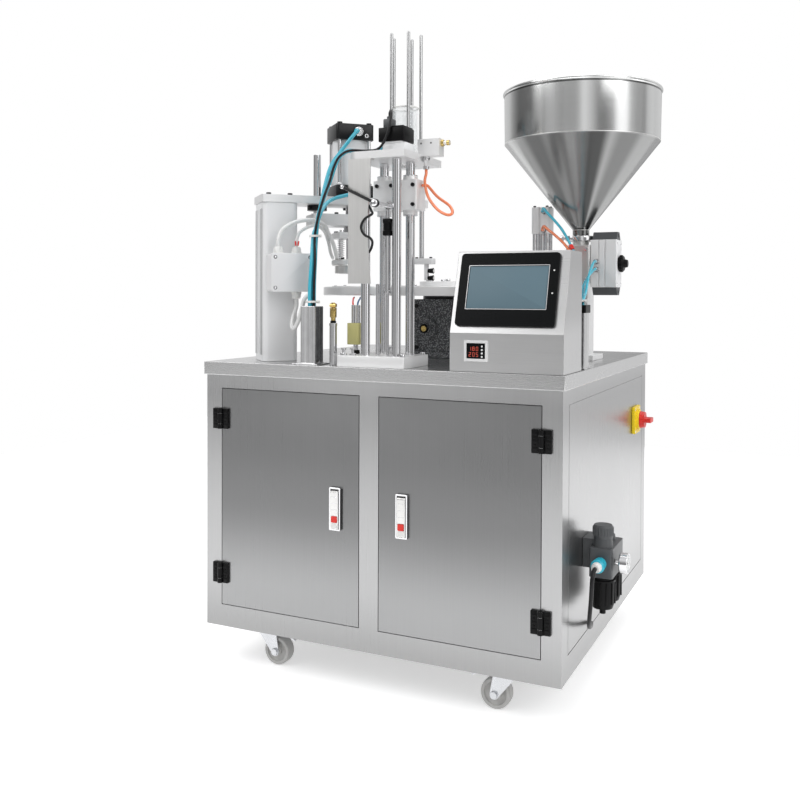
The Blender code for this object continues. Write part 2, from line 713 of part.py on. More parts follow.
def tie(place, radius):
    """Make a tie round a bundle of hoses that run upright."""
    return rod(place, Vector(place) + Vector((0, 0, TIE_HEIGHT)), radius)


def finish(name, colour, roughness, metallic):
    """Make a plain surface finish."""
    material = bpy.data.materials.new(name)
    material.use_nodes = True
    shader = material.node_tree.nodes["Principled BSDF"]
    shader.inputs["Base Color"].default_value = (*colour, 1)
    shader.inputs["Roughness"].default_value = roughness
    shader.inputs["Metallic"].default_value = metallic
    return material


FINISHES = {
    "white_paint": finish("white_paint", (0.80, 0.80, 0.79), 0.45, 0.0),
    "satin_steel": finish("satin_steel", (0.62, 0.62, 0.62), 0.38, 1.0),
    "deck_steel": finish("deck_steel", (0.62, 0.62, 0.62), 0.40, 0.6),
    "light_alloy": finish("light_alloy", (0.78, 0.78, 0.77), 0.38, 0.7),
    "bright_steel": finish("bright_steel", (0.70, 0.70, 0.71), 0.18, 1.0),
    "brushed_steel": finish("brushed_steel", (0.58, 0.57, 0.55), 0.34, 1.0),
    "black_alloy": finish("black_alloy", (0.03, 0.03, 0.03), 0.40, 0.3),
    "black_plastic": finish("black_plastic", (0.025, 0.025, 0.025), 0.45, 0.0),
    "red_plastic": finish("red_plastic", (0.65, 0.04, 0.03), 0.40, 0.0),
    "yellow_plastic": finish("yellow_plastic", (0.85, 0.62, 0.05), 0.45, 0.0),
    "zinc": finish("zinc", (0.62, 0.63, 0.64), 0.30, 0.9),
    "white_nylon": finish("white_nylon", (0.78, 0.77, 0.74), 0.50, 0.0),
    "dark_casting": finish("dark_casting", (0.09, 0.095, 0.10), 0.45, 0.4),
    "grey_plastic": finish("grey_plastic", (0.55, 0.56, 0.57), 0.50, 0.0),
    "clear_plastic": finish("clear_plastic", (0.85, 0.88, 0.90), 0.12, 0.0),
    "blue_hose": finish("blue_hose", (0.05, 0.42, 0.68), 0.30, 0.0),
    "orange_hose": finish("orange_hose", (0.85, 0.28, 0.10), 0.30, 0.0),
    "black_hose": finish("black_hose", (0.03, 0.03, 0.03), 0.45, 0.0),
    "white_hose": finish("white_hose", (0.80, 0.80, 0.78), 0.35, 0.0),
    "teal_plastic": finish("teal_plastic", (0.05, 0.35, 0.42), 0.40, 0.0),
}

WORLD_SHIFT = Vector((
    -(HOPPER_X + HOPPER_RADIUS + HOPPER_BEAD_RADIUS - DECK_OVERHANG) / 2,
    -(CABINET_DEPTH + DECK_OVERHANG - HINGE_AXIS_OUT - HINGE_KNUCKLE_RADIUS) / 2,
    CASTOR_HEIGHT,
))


def machine_frame():
    """Place the empty that carries the whole machine."""
    empty = bpy.data.objects.new("machine", None)
    bpy.context.collection.objects.link(empty)
    empty.location = WORLD_SHIFT
    return empty


def named(solid, name, finish_name, carrier, pivot=(0, 0, 0)):
    """Give a solid its name, finish, carrier and the origin it turns about."""
    solid.name = name
    solid.data.name = name
    solid.data.materials.clear()
    solid.data.materials.append(FINISHES[finish_name])
    solid.data.transform(Matrix.Translation(-Vector(pivot)))
    solid.location = pivot
    solid.parent = carrier
    solid.data.shade_smooth()
    solid.data.set_sharp_from_angle(angle=SMOOTH_ANGLE)
    return solid


DOOR_WIDTH = (CABINET_WIDTH - CENTRE_POST_WIDTH) / 2 - DOOR_SIDE_MARGIN
BODY_HEIGHT = DECK_TOP - DECK_THICKNESS - GAP
DOOR_SIDES = (("left", DOOR_SIDE_MARGIN, 1), ("right", CABINET_WIDTH - DOOR_SIDE_MARGIN, -1))


def hinge_axis(seam_x):
    """Give the x and y of a door hinge's pin."""
    return Vector((seam_x, -HINGE_AXIS_OUT, 0))


def hinge_leaf(seam_x, way, middle_z, on_door):
    """Shape one leaf with its knuckles, for the door or for the frame."""
    side = way if on_door else -way
    axis = hinge_axis(seam_x)
    low, high = middle_z - HINGE_HEIGHT / 2, middle_z + HINGE_HEIGHT / 2
    inner = HINGE_KNUCKLE_RADIUS + GAP * 2
    back = HINGE_SINK
    ends = sorted((axis.x + side * inner, axis.x + side * HINGE_LEAF_WIDTH))
    leaf = block((ends[0], -HINGE_LEAF_THICKNESS, low), (ends[1], back, high))
    half = HINGE_HEIGHT * HINGE_MIDDLE_SHARE / 2
    if on_door:
        spans = [(middle_z - half + GAP, middle_z + half - GAP)]
    else:
        spans = [(low, middle_z - half), (middle_z + half, high)]
    for bottom, top in spans:
        knuckle = rod(axis + Vector((0, 0, bottom)), axis + Vector((0, 0, top)),
                      HINGE_KNUCKLE_RADIUS, ROUND_SIDES // 2)
        ends = sorted((axis.x, axis.x + side * (inner + GAP)))
        neck = block((ends[0], -HINGE_LEAF_THICKNESS, bottom), (ends[1], -GAP, top))
        fused(leaf, knuckle, neck)
    start, end = axis + Vector((0, 0, low + GAP)), axis + Vector((0, 0, high - GAP))
    if on_door:
        start, end = axis + Vector((0, 0, low)), axis + Vector((0, 0, high))
        return cut(leaf, rod(start, end, HINGE_PIN_RADIUS + GAP, ROUND_SIDES // 2))
    return fused(leaf, rod(start, end, HINGE_PIN_RADIUS, ROUND_SIDES // 2))


def door_opening(seam_x, way, spare):
    """Give the left and right x of a door opening less a spare on each side."""
    ends = sorted((seam_x, seam_x + way * DOOR_WIDTH))
    return ends[0] + spare, ends[1] - spare


def castor_places():
    """List each castor's name, swivel axis and the way its wheel trails."""
    rows = (("front", CASTOR_INSET_Y), ("rear", CABINET_DEPTH - CASTOR_INSET_Y))
    columns = (("left", CASTOR_INSET_X, 1), ("right", CABINET_WIDTH - CASTOR_INSET_X, -1))
    return [(f"{row}_{column}", Vector((x, y, 0)), way) for row, y in rows for column, x, way in columns]


def cabinet_body(machine):
    """Build the welded cabinet with its door frame, seams and castor plates."""
    body = block((0, 0, 0), (CABINET_WIDTH, CABINET_DEPTH, BODY_HEIGHT))
    inside_top = BODY_HEIGHT - SKIN
    cut(body, block((SKIN, FRONT_RAIL_DEPTH, SKIN),
                    (CABINET_WIDTH - SKIN, CABINET_DEPTH - SKIN, inside_top)))
    cut(body, block((TOP_FLANGE_WIDTH, FRONT_RAIL_DEPTH + OVERRUN, inside_top - OVERRUN),
                    (CABINET_WIDTH - TOP_FLANGE_WIDTH, CABINET_DEPTH - TOP_FLANGE_WIDTH,
                     BODY_HEIGHT + OVERRUN)))
    for _, seam_x, way in DOOR_SIDES:
        left, right = door_opening(seam_x, way, 0)
        cut(body, block((left, -OVERRUN, DOOR_BOTTOM), (right, FRONT_RAIL_DEPTH + OVERRUN, DOOR_TOP)))
    for outside, inside in ((-OVERRUN, SEAM_DEPTH), (CABINET_WIDTH + OVERRUN, CABINET_WIDTH - SEAM_DEPTH)):
        cut(body, *seam_cutters(*sorted((outside, inside))))
    for _, seam_x, way in DOOR_SIDES:
        for middle in (HINGE_LOWER_Z, HINGE_UPPER_Z):
            fused(body, hinge_leaf(seam_x, way, middle, on_door=False))
    for _, place, _ in castor_places():
        half = Vector((CASTOR_PLATE_LENGTH, CASTOR_PLATE_WIDTH, 0)) / 2
        low = place - half - Vector((0, 0, CASTOR_PLATE_THICKNESS))
        fused(body, block(low, place + half + Vector((0, 0, SKIN / 2))))
    return named(body, "cabinet_body", "satin_steel", machine)


def seam_cutters(low_x, high_x):
    """Give the four bars that cut the side panel's seam."""
    front, back = SEAM_MARGIN, CABINET_DEPTH - SEAM_MARGIN
    bottom, top = DOOR_BOTTOM, DOOR_TOP
    spans = [((front, bottom), (back, bottom + SEAM_WIDTH)), ((front, top - SEAM_WIDTH), (back, top)),
             ((front, bottom), (front + SEAM_WIDTH, top)), ((back - SEAM_WIDTH, bottom), (back, top))]
    return [block((low_x, *low), (high_x, *high)) for low, high in spans]


def deck_lid(machine):
    """Build the folded deck with its lip, shaft hole and duct holes."""
    low = -DECK_OVERHANG
    right, back = CABINET_WIDTH + DECK_OVERHANG, CABINET_DEPTH + DECK_OVERHANG
    deck = block((low, low, DECK_TOP - DECK_LIP), (right, back, DECK_TOP))
    inset = DECK_LIP_WALL
    cut(deck, block((low + inset, low + inset, DECK_TOP - DECK_LIP - OVERRUN),
                    (right - inset, back - inset, DECK_TOP - DECK_THICKNESS)))
    through = (DECK_TOP - DECK_THICKNESS - OVERRUN, DECK_TOP + OVERRUN)
    cut(deck, rod((DIAL_X, DIAL_Y, through[0]), (DIAL_X, DIAL_Y, through[1]), SHAFT_HOLE_RADIUS))
    half = DUCT_SIZE / 2 - DUCT_WALL
    for x, y in ((DUCT_LEFT_X, DUCT_LEFT_Y), (DUCT_RIGHT_X, DUCT_RIGHT_Y)):
        cut(deck, block((x - half, y - half, through[0]), (x + half, y + half, through[1])))
    return named(deck, "deck_lid", "deck_steel", machine)


def doors(machine):
    """Build both doors as folded pans with their hinge leaves."""
    for side, seam_x, way in DOOR_SIDES:
        left, right = door_opening(seam_x, way, DOOR_GAP)
        bottom, top = DOOR_BOTTOM + DOOR_GAP, DOOR_TOP - DOOR_GAP
        door = block((left, 0, bottom), (right, DOOR_PAN_DEPTH, top))
        cut(door, block((left + DOOR_SKIN, DOOR_SKIN, bottom + DOOR_SKIN),
                        (right - DOOR_SKIN, DOOR_PAN_DEPTH + OVERRUN, top - DOOR_SKIN)))
        for middle in (HINGE_LOWER_Z, HINGE_UPPER_Z):
            fused(door, hinge_leaf(seam_x, way, middle, on_door=True))
        x = latch_x(seam_x, way)
        latch_case(door, x)
        named(door, f"{side}_door", "satin_steel", machine, hinge_axis(seam_x))
        latch_lever(machine, side, x)


def latch_x(seam_x, way):
    """Give the middle of the latch on a door hung at the seam."""
    return seam_x + way * (DOOR_WIDTH - LATCH_FROM_DOOR_EDGE)


def latch_pin(x):
    """Give the middle of the pin that a latch lever swings on."""
    top = LATCH_MIDDLE_Z + LATCH_HEIGHT / 2
    return Vector((x, -LATCH_PROUD / 2, top - LATCH_FLANGE - LEVER_PIN_DROP))


def latch_case(door, x):
    """Set a latch's pocketed case and its pin into a door."""
    bottom, top = LATCH_MIDDLE_Z - LATCH_HEIGHT / 2, LATCH_MIDDLE_Z + LATCH_HEIGHT / 2
    half = LATCH_WIDTH / 2
    pocket = LATCH_FLANGE
    fused(door, block((x - half, -LATCH_PROUD, bottom), (x + half, LATCH_DEPTH_BEHIND, top), LATCH_PROUD / 3, "y"))
    cut(door, block((x - half + pocket, -LATCH_PROUD - OVERRUN, bottom + pocket),
                    (x + half - pocket, LATCH_DEPTH_BEHIND - LATCH_FLOOR, top - pocket)))
    pin, reach = latch_pin(x), Vector((half - pocket / 2, 0, 0))
    fused(door, rod(pin - reach, pin + reach, LEVER_PIN_RADIUS, ROUND_SIDES // 2))


def latch_lever(machine, side, x):
    """Build a latch's swing lever and the push button in it."""
    bottom, half, pocket = LATCH_MIDDLE_Z - LATCH_HEIGHT / 2, LATCH_WIDTH / 2, LATCH_FLANGE
    pin, reach = latch_pin(x), Vector((half, 0, 0))
    pin_y, pin_z = pin.y, pin.z
    gap = GAP * 2
    lever_low = bottom + pocket + gap
    front, back = pin_y - LEVER_HALF, pin_y + LEVER_HALF
    round_top = arc((pin_y, pin_z), LEVER_HALF, 0, 180, ROUND_SIDES // 3)
    outline = [(front, lever_low), (back, lever_low)]
    lever = prism(outline + round_top, "x", x - half + pocket + gap, x + half - pocket - gap)
    cut(lever, rod(pin - reach * 2, pin + reach * 2, LEVER_PIN_RADIUS + GAP, ROUND_SIDES // 2))
    button_z = lever_low + BUTTON_DROP
    size = BUTTON_SIZE / 2
    hole = size + GAP
    cut(lever, block((x - hole, front - OVERRUN, button_z - hole), (x + hole, back + OVERRUN, button_z + hole)))
    named(lever, f"{side}_latch_lever", "brushed_steel", machine, pin)
    button = block((x - size, front - BUTTON_PROUD, button_z - size),
                   (x + size, back - BUTTON_TRAVEL, button_z + size), BUTTON_SIZE / 6, "y")
    named(button, f"{side}_latch_button", "red_plastic", machine, (x, front - BUTTON_PROUD, button_z))


def castors(machine):
    """Build four castors, the front pair with brake pedals."""
    for name, place, way in castor_places():
        race_top = place - Vector((0, 0, CASTOR_PLATE_THICKNESS + GAP))
        race = rod(race_top - Vector((0, 0, RACE_HEIGHT)), race_top, RACE_RADIUS)
        axle = place + Vector((way * CASTOR_TRAIL, 0, WHEEL_RADIUS - CASTOR_HEIGHT))
        fused(race, *fork_sides(race_top.z - RACE_HEIGHT, place, axle, way))
        half = FORK_INNER_WIDTH / 2
        reach = Vector((0, half + FORK_SHEET + AXLE_NUT_HEIGHT, 0))
        fused(race, rod(axle - reach, axle + reach, AXLE_RADIUS, ROUND_SIDES // 2))
        for side in (-1, 1):
            start = axle + Vector((0, side * (half + FORK_SHEET / 2), 0))
            end = axle + Vector((0, side * (half + FORK_SHEET + AXLE_NUT_HEIGHT * 0.7), 0))
            fused(race, rod(start, end, AXLE_NUT_RADIUS, 6))
        if name.startswith("front"):
            pin = pedal_pin(race_top.z, axle, way)
            cross = Vector((0, half + FORK_SHEET / 2, 0))
            fused(race, rod(pin - cross, pin + cross, PEDAL_PIN_RADIUS, ROUND_SIDES // 2))
            brake_pedal(machine, name, pin, way)
        named(race, f"{name}_castor_fork", "zinc", machine, race_top)
        castor_wheel(machine, name, axle)


def fork_sides(crown_top, place, axle, way):
    """Give the crown and the two tapered cheeks of a castor fork."""
    half = FORK_INNER_WIDTH / 2
    length = FORK_CROWN_LENGTH / 2
    wide = half + FORK_SHEET / 2
    crown = block(place + Vector((-length, -wide, crown_top - FORK_SHEET)),
                  place + Vector((length, wide, crown_top + FORK_SHEET / 2)))
    length -= FORK_SHEET / 2
    start = 270 - 90 if way > 0 else 270 + 90
    eye = arc((axle.x, axle.z), FORK_EYE_RADIUS, start + way * 20, 270 + way * 110, ROUND_SIDES // 3)
    outline = [(place.x - way * length, crown_top)] + eye + [(place.x + way * length, crown_top)]
    cheeks = []
    for side in (-1, 1):
        ends = sorted((place.y + side * half, place.y + side * (half + FORK_SHEET)))
        cheeks.append(prism(outline, "y", *ends))
    return [crown, *cheeks]


def castor_wheel(machine, name, axle):
    """Turn a nylon wheel with a rim, a web and a hub."""
    spread = 1 / math.cos(math.pi / ROUND_SIDES)
    tread, half = WHEEL_RADIUS * spread, WHEEL_WIDTH / 2
    hub, web = WHEEL_HUB_WIDTH / 2, WHEEL_WEB_WIDTH / 2
    bore = AXLE_RADIUS + GAP
    side = [(bore, hub), (WHEEL_HUB_RADIUS, hub), (WHEEL_HUB_RADIUS, web), (WHEEL_RIM_INNER_RADIUS, web),
            (WHEEL_RIM_INNER_RADIUS, half), (tread - WHEEL_EDGE, half), (tread, half - WHEEL_EDGE)]
    outline = side + [(radius, -height) for radius, height in reversed(side)]
    wheel = turned(outline, axle, (0, 1, 0), ROUND_SIDES, flat_down=True)
    named(wheel, f"{name}_castor_wheel", "white_nylon", machine, axle)


def pedal_pin(race_top_z, axle, way):
    """Give the middle of a brake pedal's pin."""
    z = race_top_z - RACE_HEIGHT - FORK_SHEET - PEDAL_BOSS_RADIUS - GAP * 2
    return Vector((axle.x - way * PEDAL_BOSS_RADIUS, axle.y, z))


def brake_pedal(machine, name, pin, way):
    """Bend a brake pedal that reaches over the wheel to a foot pad."""
    half = FORK_INNER_WIDTH / 2 - GAP * 2
    boss = rod(pin - Vector((0, half, 0)), pin + Vector((0, half, 0)), PEDAL_BOSS_RADIUS, ROUND_SIDES // 2)
    top = PEDAL_BOSS_RADIUS
    shape = [(0, top), (0, top - PEDAL_THICKNESS), (PEDAL_LENGTH - PEDAL_PAD_LENGTH, top - PEDAL_THICKNESS),
             (PEDAL_LENGTH, top - PEDAL_THICKNESS - PEDAL_PAD_DROP), (PEDAL_LENGTH, top - PEDAL_PAD_DROP),
             (PEDAL_LENGTH - PEDAL_PAD_LENGTH, top)]
    outline = [(pin.x + way * x, pin.z + z) for x, z in shape]
    fused(boss, prism(outline, "y", pin.y - half, pin.y + half))
    reach = Vector((0, half + OVERRUN, 0))
    cut(boss, rod(pin - reach, pin + reach, PEDAL_PIN_RADIUS + GAP, ROUND_SIDES // 2))
    named(boss, f"{name}_brake_pedal", "zinc", machine, pin)


def slope_frame():
    """Give the frame of the panel's sloped face: x right, y up the slope, z out."""
    rise = PANEL_HEIGHT - PANEL_UPRIGHT_HEIGHT
    up = Vector((0, PANEL_SLOPE_DEPTH, rise)).normalized()
    right = Vector((1, 0, 0))
    out = right.cross(up)
    turn = Matrix((right, up, out)).transposed().to_4x4()
    corner = Vector(((PANEL_LEFT + PANEL_RIGHT) / 2, 0, DECK_TOP + PANEL_UPRIGHT_HEIGHT))
    return Matrix.Translation(corner) @ turn


def operator_panel(machine):
    """Build the console box, its touch panel and its temperature controller."""
    bottom = DECK_TOP + GAP
    shoulder, top = DECK_TOP + PANEL_UPRIGHT_HEIGHT, DECK_TOP + PANEL_HEIGHT
    outline = [(0, bottom), (0, shoulder), (PANEL_SLOPE_DEPTH, top), (PANEL_DEPTH, top), (PANEL_DEPTH, bottom)]
    box = prism(outline, "x", PANEL_LEFT, PANEL_RIGHT)
    sheet = PANEL_SHEET
    inner = [(sheet, bottom - OVERRUN), (sheet, shoulder), (PANEL_SLOPE_DEPTH + sheet, top - sheet),
             (PANEL_DEPTH - sheet, top - sheet), (PANEL_DEPTH - sheet, bottom - OVERRUN)]
    cut(box, prism(inner, "x", PANEL_LEFT + sheet, PANEL_RIGHT - sheet))
    frame = slope_frame()
    low, high = BEZEL_UP_SLOPE - BEZEL_HEIGHT / 2, BEZEL_UP_SLOPE + BEZEL_HEIGHT / 2
    near, far = BEZEL_SHIFT - BEZEL_WIDTH / 2, BEZEL_SHIFT + BEZEL_WIDTH / 2
    inset = PANEL_BODY_INSET
    window = block((near + inset - GAP, low + inset - GAP, -PANEL_BODY_BEHIND),
                   (far - inset + GAP, high - inset + GAP, OVERRUN))
    cut(box, turn_solid(window, frame))
    left, right = CONTROLLER_LEFT, CONTROLLER_LEFT + CONTROLLER_WIDTH
    foot, head = DECK_TOP + CONTROLLER_BOTTOM, DECK_TOP + CONTROLLER_BOTTOM + CONTROLLER_HEIGHT
    edge = CONTROLLER_BODY_INSET
    cut(box, block((left + edge - GAP, -OVERRUN, foot + edge - GAP),
                   (right - edge + GAP, sheet + OVERRUN, head - edge + GAP)))
    named(box, "console_box", "satin_steel", machine)
    panel = block((near, low, GAP), (far, high, BEZEL_THICKNESS), BEZEL_CORNER, "z")
    fused(panel, block((near + inset, low + inset, -PANEL_BODY_BEHIND + GAP),
                       (far - inset, high - inset, BEZEL_THICKNESS / 2)))
    middle, half = BEZEL_UP_SLOPE + SCREEN_RAISE, SCREEN_WIDTH / 2
    cut(panel, block((BEZEL_SHIFT - half, middle - SCREEN_HEIGHT / 2, BEZEL_THICKNESS - SCREEN_RECESS),
                     (BEZEL_SHIFT + half, middle + SCREEN_HEIGHT / 2, BEZEL_THICKNESS + OVERRUN)))
    named(turn_solid(panel, frame), "touch_panel", "black_plastic", machine)
    unit = block((left, -CONTROLLER_PROUD, foot), (right, -GAP, head), CONTROLLER_PROUD / 3, "y")
    fused(unit, block((left + edge, -CONTROLLER_PROUD / 2, foot + edge),
                      (right - edge, CONTROLLER_BEHIND, head - edge)))
    border = CONTROLLER_BORDER
    cut(unit, block((left + border, -CONTROLLER_PROUD - OVERRUN, foot + border),
                    (right - border, -CONTROLLER_PROUD + CONTROLLER_RECESS, head - border)))
    named(unit, "temperature_controller", "light_alloy", machine)


def isolator(machine):
    """Build the mains isolator: its yellow plate and its red handle."""
    side = CABINET_WIDTH + GAP
    half = ISOLATOR_SIZE / 2
    centre = Vector((side, ISOLATOR_Y, ISOLATOR_Z))
    plate = block(centre - Vector((0, half, half)), centre + Vector((ISOLATOR_THICKNESS, half, half)),
                  ISOLATOR_THICKNESS / 2, "x")
    collar_start = centre + Vector((ISOLATOR_THICKNESS / 2, 0, 0))
    collar_end = centre + Vector((ISOLATOR_THICKNESS + ISOLATOR_COLLAR_HEIGHT, 0, 0))
    fused(plate, rod(collar_start, collar_end, ISOLATOR_COLLAR_RADIUS))
    named(plate, "isolator_plate", "yellow_plastic", machine)
    seat = collar_end + Vector((GAP, 0, 0))
    knob_top = seat + Vector((ISOLATOR_KNOB_HEIGHT, 0, 0))
    handle = rod(seat, knob_top, ISOLATOR_KNOB_RADIUS, ROUND_SIDES, ISOLATOR_KNOB_RADIUS * 0.92)
    wide = ISOLATOR_GRIP_WIDTH / 2
    grip = block(knob_top - Vector((ISOLATOR_KNOB_HEIGHT / 2, ISOLATOR_KNOB_RADIUS * 0.9, wide)),
                 knob_top + Vector((ISOLATOR_GRIP_HEIGHT, ISOLATOR_KNOB_RADIUS * 0.9, wide)),
                 ISOLATOR_GRIP_WIDTH / 4, "x")
    named(fused(handle, grip), "isolator_handle", "red_plastic", machine, seat)


def air_set(machine):
    """Build the air filter regulator and lubricator on the cabinet's side."""
    wall = CABINET_WIDTH + GAP
    inner = CABINET_WIDTH + AIR_BODY_STANDOFF
    outer = inner + AIR_BODY_DEPTH
    middle_x = (inner + outer) / 2
    top = AIR_BODY_BOTTOM + AIR_BODY_HEIGHT
    half = AIR_BODY_DEPTH / 2
    units = (AIR_Y, AIR_Y + AIR_UNIT_PITCH)
    body = block((inner, units[0] - half, AIR_BODY_BOTTOM), (outer, units[1] + half, top), half / 4, "z")
    bracket = block((wall, units[0], AIR_BODY_BOTTOM + half / 2), (inner + half / 4, units[1], top + half / 2))
    bonnet = rod((middle_x, units[0], top - OVERRUN), (middle_x, units[0], top + AIR_BONNET_HEIGHT),
                 AIR_BONNET_RADIUS, ROUND_SIDES, AIR_BONNET_RADIUS * 0.9)
    dome = rod((middle_x, units[1], top - OVERRUN), (middle_x, units[1], top + AIR_BONNET_HEIGHT * 0.7),
               AIR_BONNET_RADIUS * 0.7, ROUND_SIDES, AIR_BONNET_RADIUS * 0.55)
    stem_top = top + AIR_BONNET_HEIGHT + AIR_KNOB_STEM
    stem = rod((middle_x, units[0], top), (middle_x, units[0], stem_top), AIR_KNOB_STEM_RADIUS)
    fused(body, bracket, bonnet, dome, stem)
    for y in units:
        seat = Vector((middle_x, y, AIR_BODY_BOTTOM))
        outline = [(0, OVERRUN), (BOWL_NECK_RADIUS, OVERRUN), (BOWL_NECK_RADIUS, -BOWL_NECK_HEIGHT),
                   (BOWL_RADIUS, -BOWL_NECK_HEIGHT), (BOWL_RADIUS, -BOWL_HEIGHT * 0.75),
                   (BOWL_RADIUS * 0.8, -BOWL_HEIGHT * 0.93), (BOWL_DRAIN_RADIUS, -BOWL_HEIGHT),
                   (BOWL_DRAIN_RADIUS, -BOWL_HEIGHT - BOWL_DRAIN_HEIGHT), (0, -BOWL_HEIGHT - BOWL_DRAIN_HEIGHT)]
        fused(body, turned(outline, seat))
    named(body, "air_regulator_body", "grey_plastic", machine)
    knob_base = Vector((middle_x, units[0], top + AIR_BONNET_HEIGHT + GAP))
    bore, depth = AIR_KNOB_STEM_RADIUS + GAP, AIR_KNOB_STEM + GAP
    outline = [(bore, 0), (AIR_KNOB_RADIUS * 0.94, 0), (AIR_KNOB_RADIUS, AIR_KNOB_HEIGHT * 0.25),
               (AIR_KNOB_RADIUS, AIR_KNOB_HEIGHT * 0.85), (AIR_KNOB_RADIUS * 0.85, AIR_KNOB_HEIGHT),
               (0, AIR_KNOB_HEIGHT), (0, depth), (bore, depth)]
    named(turned(outline, knob_base), "regulator_knob", "grey_plastic", machine, knob_base)
    gauge_base = Vector((outer + GAP, units[0], (AIR_BODY_BOTTOM + top) / 2))
    depth = GAUGE_STEM + GAUGE_DEPTH
    outline = [(0, 0), (GAUGE_STEM_RADIUS, 0), (GAUGE_STEM_RADIUS, GAUGE_STEM), (GAUGE_RADIUS * 0.9, GAUGE_STEM),
               (GAUGE_RADIUS, GAUGE_STEM + GAUGE_RIM), (GAUGE_RADIUS, depth), (GAUGE_RADIUS - GAUGE_RIM, depth),
               (GAUGE_RADIUS - GAUGE_RIM, depth - GAUGE_GLASS_RECESS), (0, depth - GAUGE_GLASS_RECESS)]
    named(turned(outline, gauge_base, (1, 0, 0)), "pressure_gauge", "bright_steel", machine)
    port = Vector((middle_x, units[0] - half - GAP, (AIR_BODY_BOTTOM + top) / 2))
    tip = COUPLER_NUT_LENGTH + COUPLER_LENGTH
    bore = COUPLER_RADIUS * 0.55
    outline = [(0, 0), (COUPLER_NUT_RADIUS, 0), (COUPLER_NUT_RADIUS, COUPLER_NUT_LENGTH),
               (COUPLER_RADIUS, COUPLER_NUT_LENGTH), (COUPLER_RADIUS, tip), (bore, tip),
               (bore, COUPLER_NUT_LENGTH), (0, COUPLER_NUT_LENGTH)]
    named(turned(outline, port, (0, -1, 0)), "inlet_coupler", "teal_plastic", machine)


def dial_and_indexer(machine):
    """Build the eight station dial and the index drive under it."""
    bottom, top = DIAL_BOTTOM, DIAL_BOTTOM + DIAL_THICKNESS
    edge = DIAL_THICKNESS / 12
    outline = [(0, bottom), (DIAL_RADIUS - edge, bottom), (DIAL_RADIUS, bottom + edge), (DIAL_RADIUS, top - edge),
               (DIAL_RADIUS - edge, top), (DIAL_HUB_RADIUS, top), (DIAL_HUB_RADIUS, top + DIAL_HUB_HEIGHT),
               (0, top + DIAL_HUB_HEIGHT)]
    centre = Vector((DIAL_X, DIAL_Y, 0))
    dial = turned(outline, centre, (0, 0, 1), WIDE_SIDES)
    for station in range(DIAL_STATIONS):
        angle = math.tau * station / DIAL_STATIONS
        spot = centre + Vector((math.cos(angle), math.sin(angle), 0)) * DIAL_PITCH_RADIUS
        seat, low, high = top - POCKET_SEAT_DEPTH, bottom - OVERRUN, top + OVERRUN
        step = [(0, low), (POCKET_RADIUS, low), (POCKET_RADIUS, seat), (POCKET_SEAT_RADIUS, seat),
                (POCKET_SEAT_RADIUS, high), (0, high)]
        cut(dial, turned(step, spot))
    named(dial, "dial", "light_alloy", machine, (DIAL_X, DIAL_Y, bottom))
    indexer(machine)


def indexer(machine):
    """Build the cast index drive with its feet, bosses and output flange."""
    half = Vector((INDEXER_WIDTH, INDEXER_DEPTH, 0)) / 2
    floor = DECK_TOP + GAP
    flange_top = DIAL_BOTTOM - GAP
    case_top = flange_top - OUTPUT_HEIGHT
    centre = Vector((DIAL_X, DIAL_Y, 0))
    case = block(centre - half + Vector((0, 0, floor)), centre + half + Vector((0, 0, case_top)),
                 INDEXER_CORNER, "z")
    margin = Vector((INDEXER_FOOT_MARGIN, INDEXER_FOOT_MARGIN, 0))
    foot = block(centre - half - margin + Vector((0, 0, floor)),
                 centre + half + margin + Vector((0, 0, floor + INDEXER_FOOT_HEIGHT)), INDEXER_CORNER, "z")
    step = Vector((0, INDEXER_SIDE_STEP, 0))
    side = block(centre + Vector((half.x - OVERRUN, -half.y, floor)) + step,
                 centre + Vector((half.x + INDEXER_SIDE_WIDTH, half.y, case_top - INDEXER_SIDE_STEP)) - step,
                 INDEXER_CORNER / 2, "x")
    flange = rod(centre + Vector((0, 0, case_top - OVERRUN)), centre + Vector((0, 0, flange_top)), OUTPUT_RADIUS,
                 FINE_SIDES)
    front = centre + Vector((-half.x * 0.35, -half.y, (floor + case_top) / 2))
    boss = rod(front + Vector((0, OVERRUN, 0)), front - Vector((0, INDEXER_BOSS_LENGTH, 0)), INDEXER_BOSS_RADIUS)
    plug_start = front - Vector((0, INDEXER_BOSS_LENGTH / 2, 0))
    plug = rod(plug_start, front - Vector((0, INDEXER_BOSS_LENGTH + INDEXER_PLUG_LENGTH, 0)), INDEXER_PLUG_RADIUS)
    named(fused(case, foot, side, flange, boss, plug), "index_drive", "dark_casting", machine)


def hopper(machine):
    """Spin the hopper's open shell with its rolled rim and clamp ferrule."""
    rim = HOPPER_RIM_Z - HOPPER_BEAD_RADIUS
    shoulder = HOPPER_RIM_Z - HOPPER_SHELL_HEIGHT
    outlet = shoulder - HOPPER_CONE_HEIGHT
    foot = outlet - HOPPER_OUTLET_HEIGHT
    wall, bead = HOPPER_WALL, HOPPER_BEAD_RADIUS
    inner = HOPPER_OUTLET_RADIUS - wall
    roll = [(HOPPER_RADIUS + x, rim + z) for x, z in arc((0, 0), bead, -60, 200, 6)]
    outline = [(inner, foot), (FERRULE_RADIUS, foot), (FERRULE_RADIUS, foot + FERRULE_HEIGHT),
               (HOPPER_OUTLET_RADIUS, foot + FERRULE_HEIGHT * 2), (HOPPER_OUTLET_RADIUS, outlet),
               (HOPPER_RADIUS, shoulder), *roll, (HOPPER_RADIUS - wall, rim - bead),
               (HOPPER_RADIUS - wall, shoulder + wall / 2), (inner, outlet + wall / 2)]
    named(turned(outline, (HOPPER_X, HOPPER_Y, 0), (0, 0, 1), WIDE_SIDES), "hopper", "bright_steel", machine)


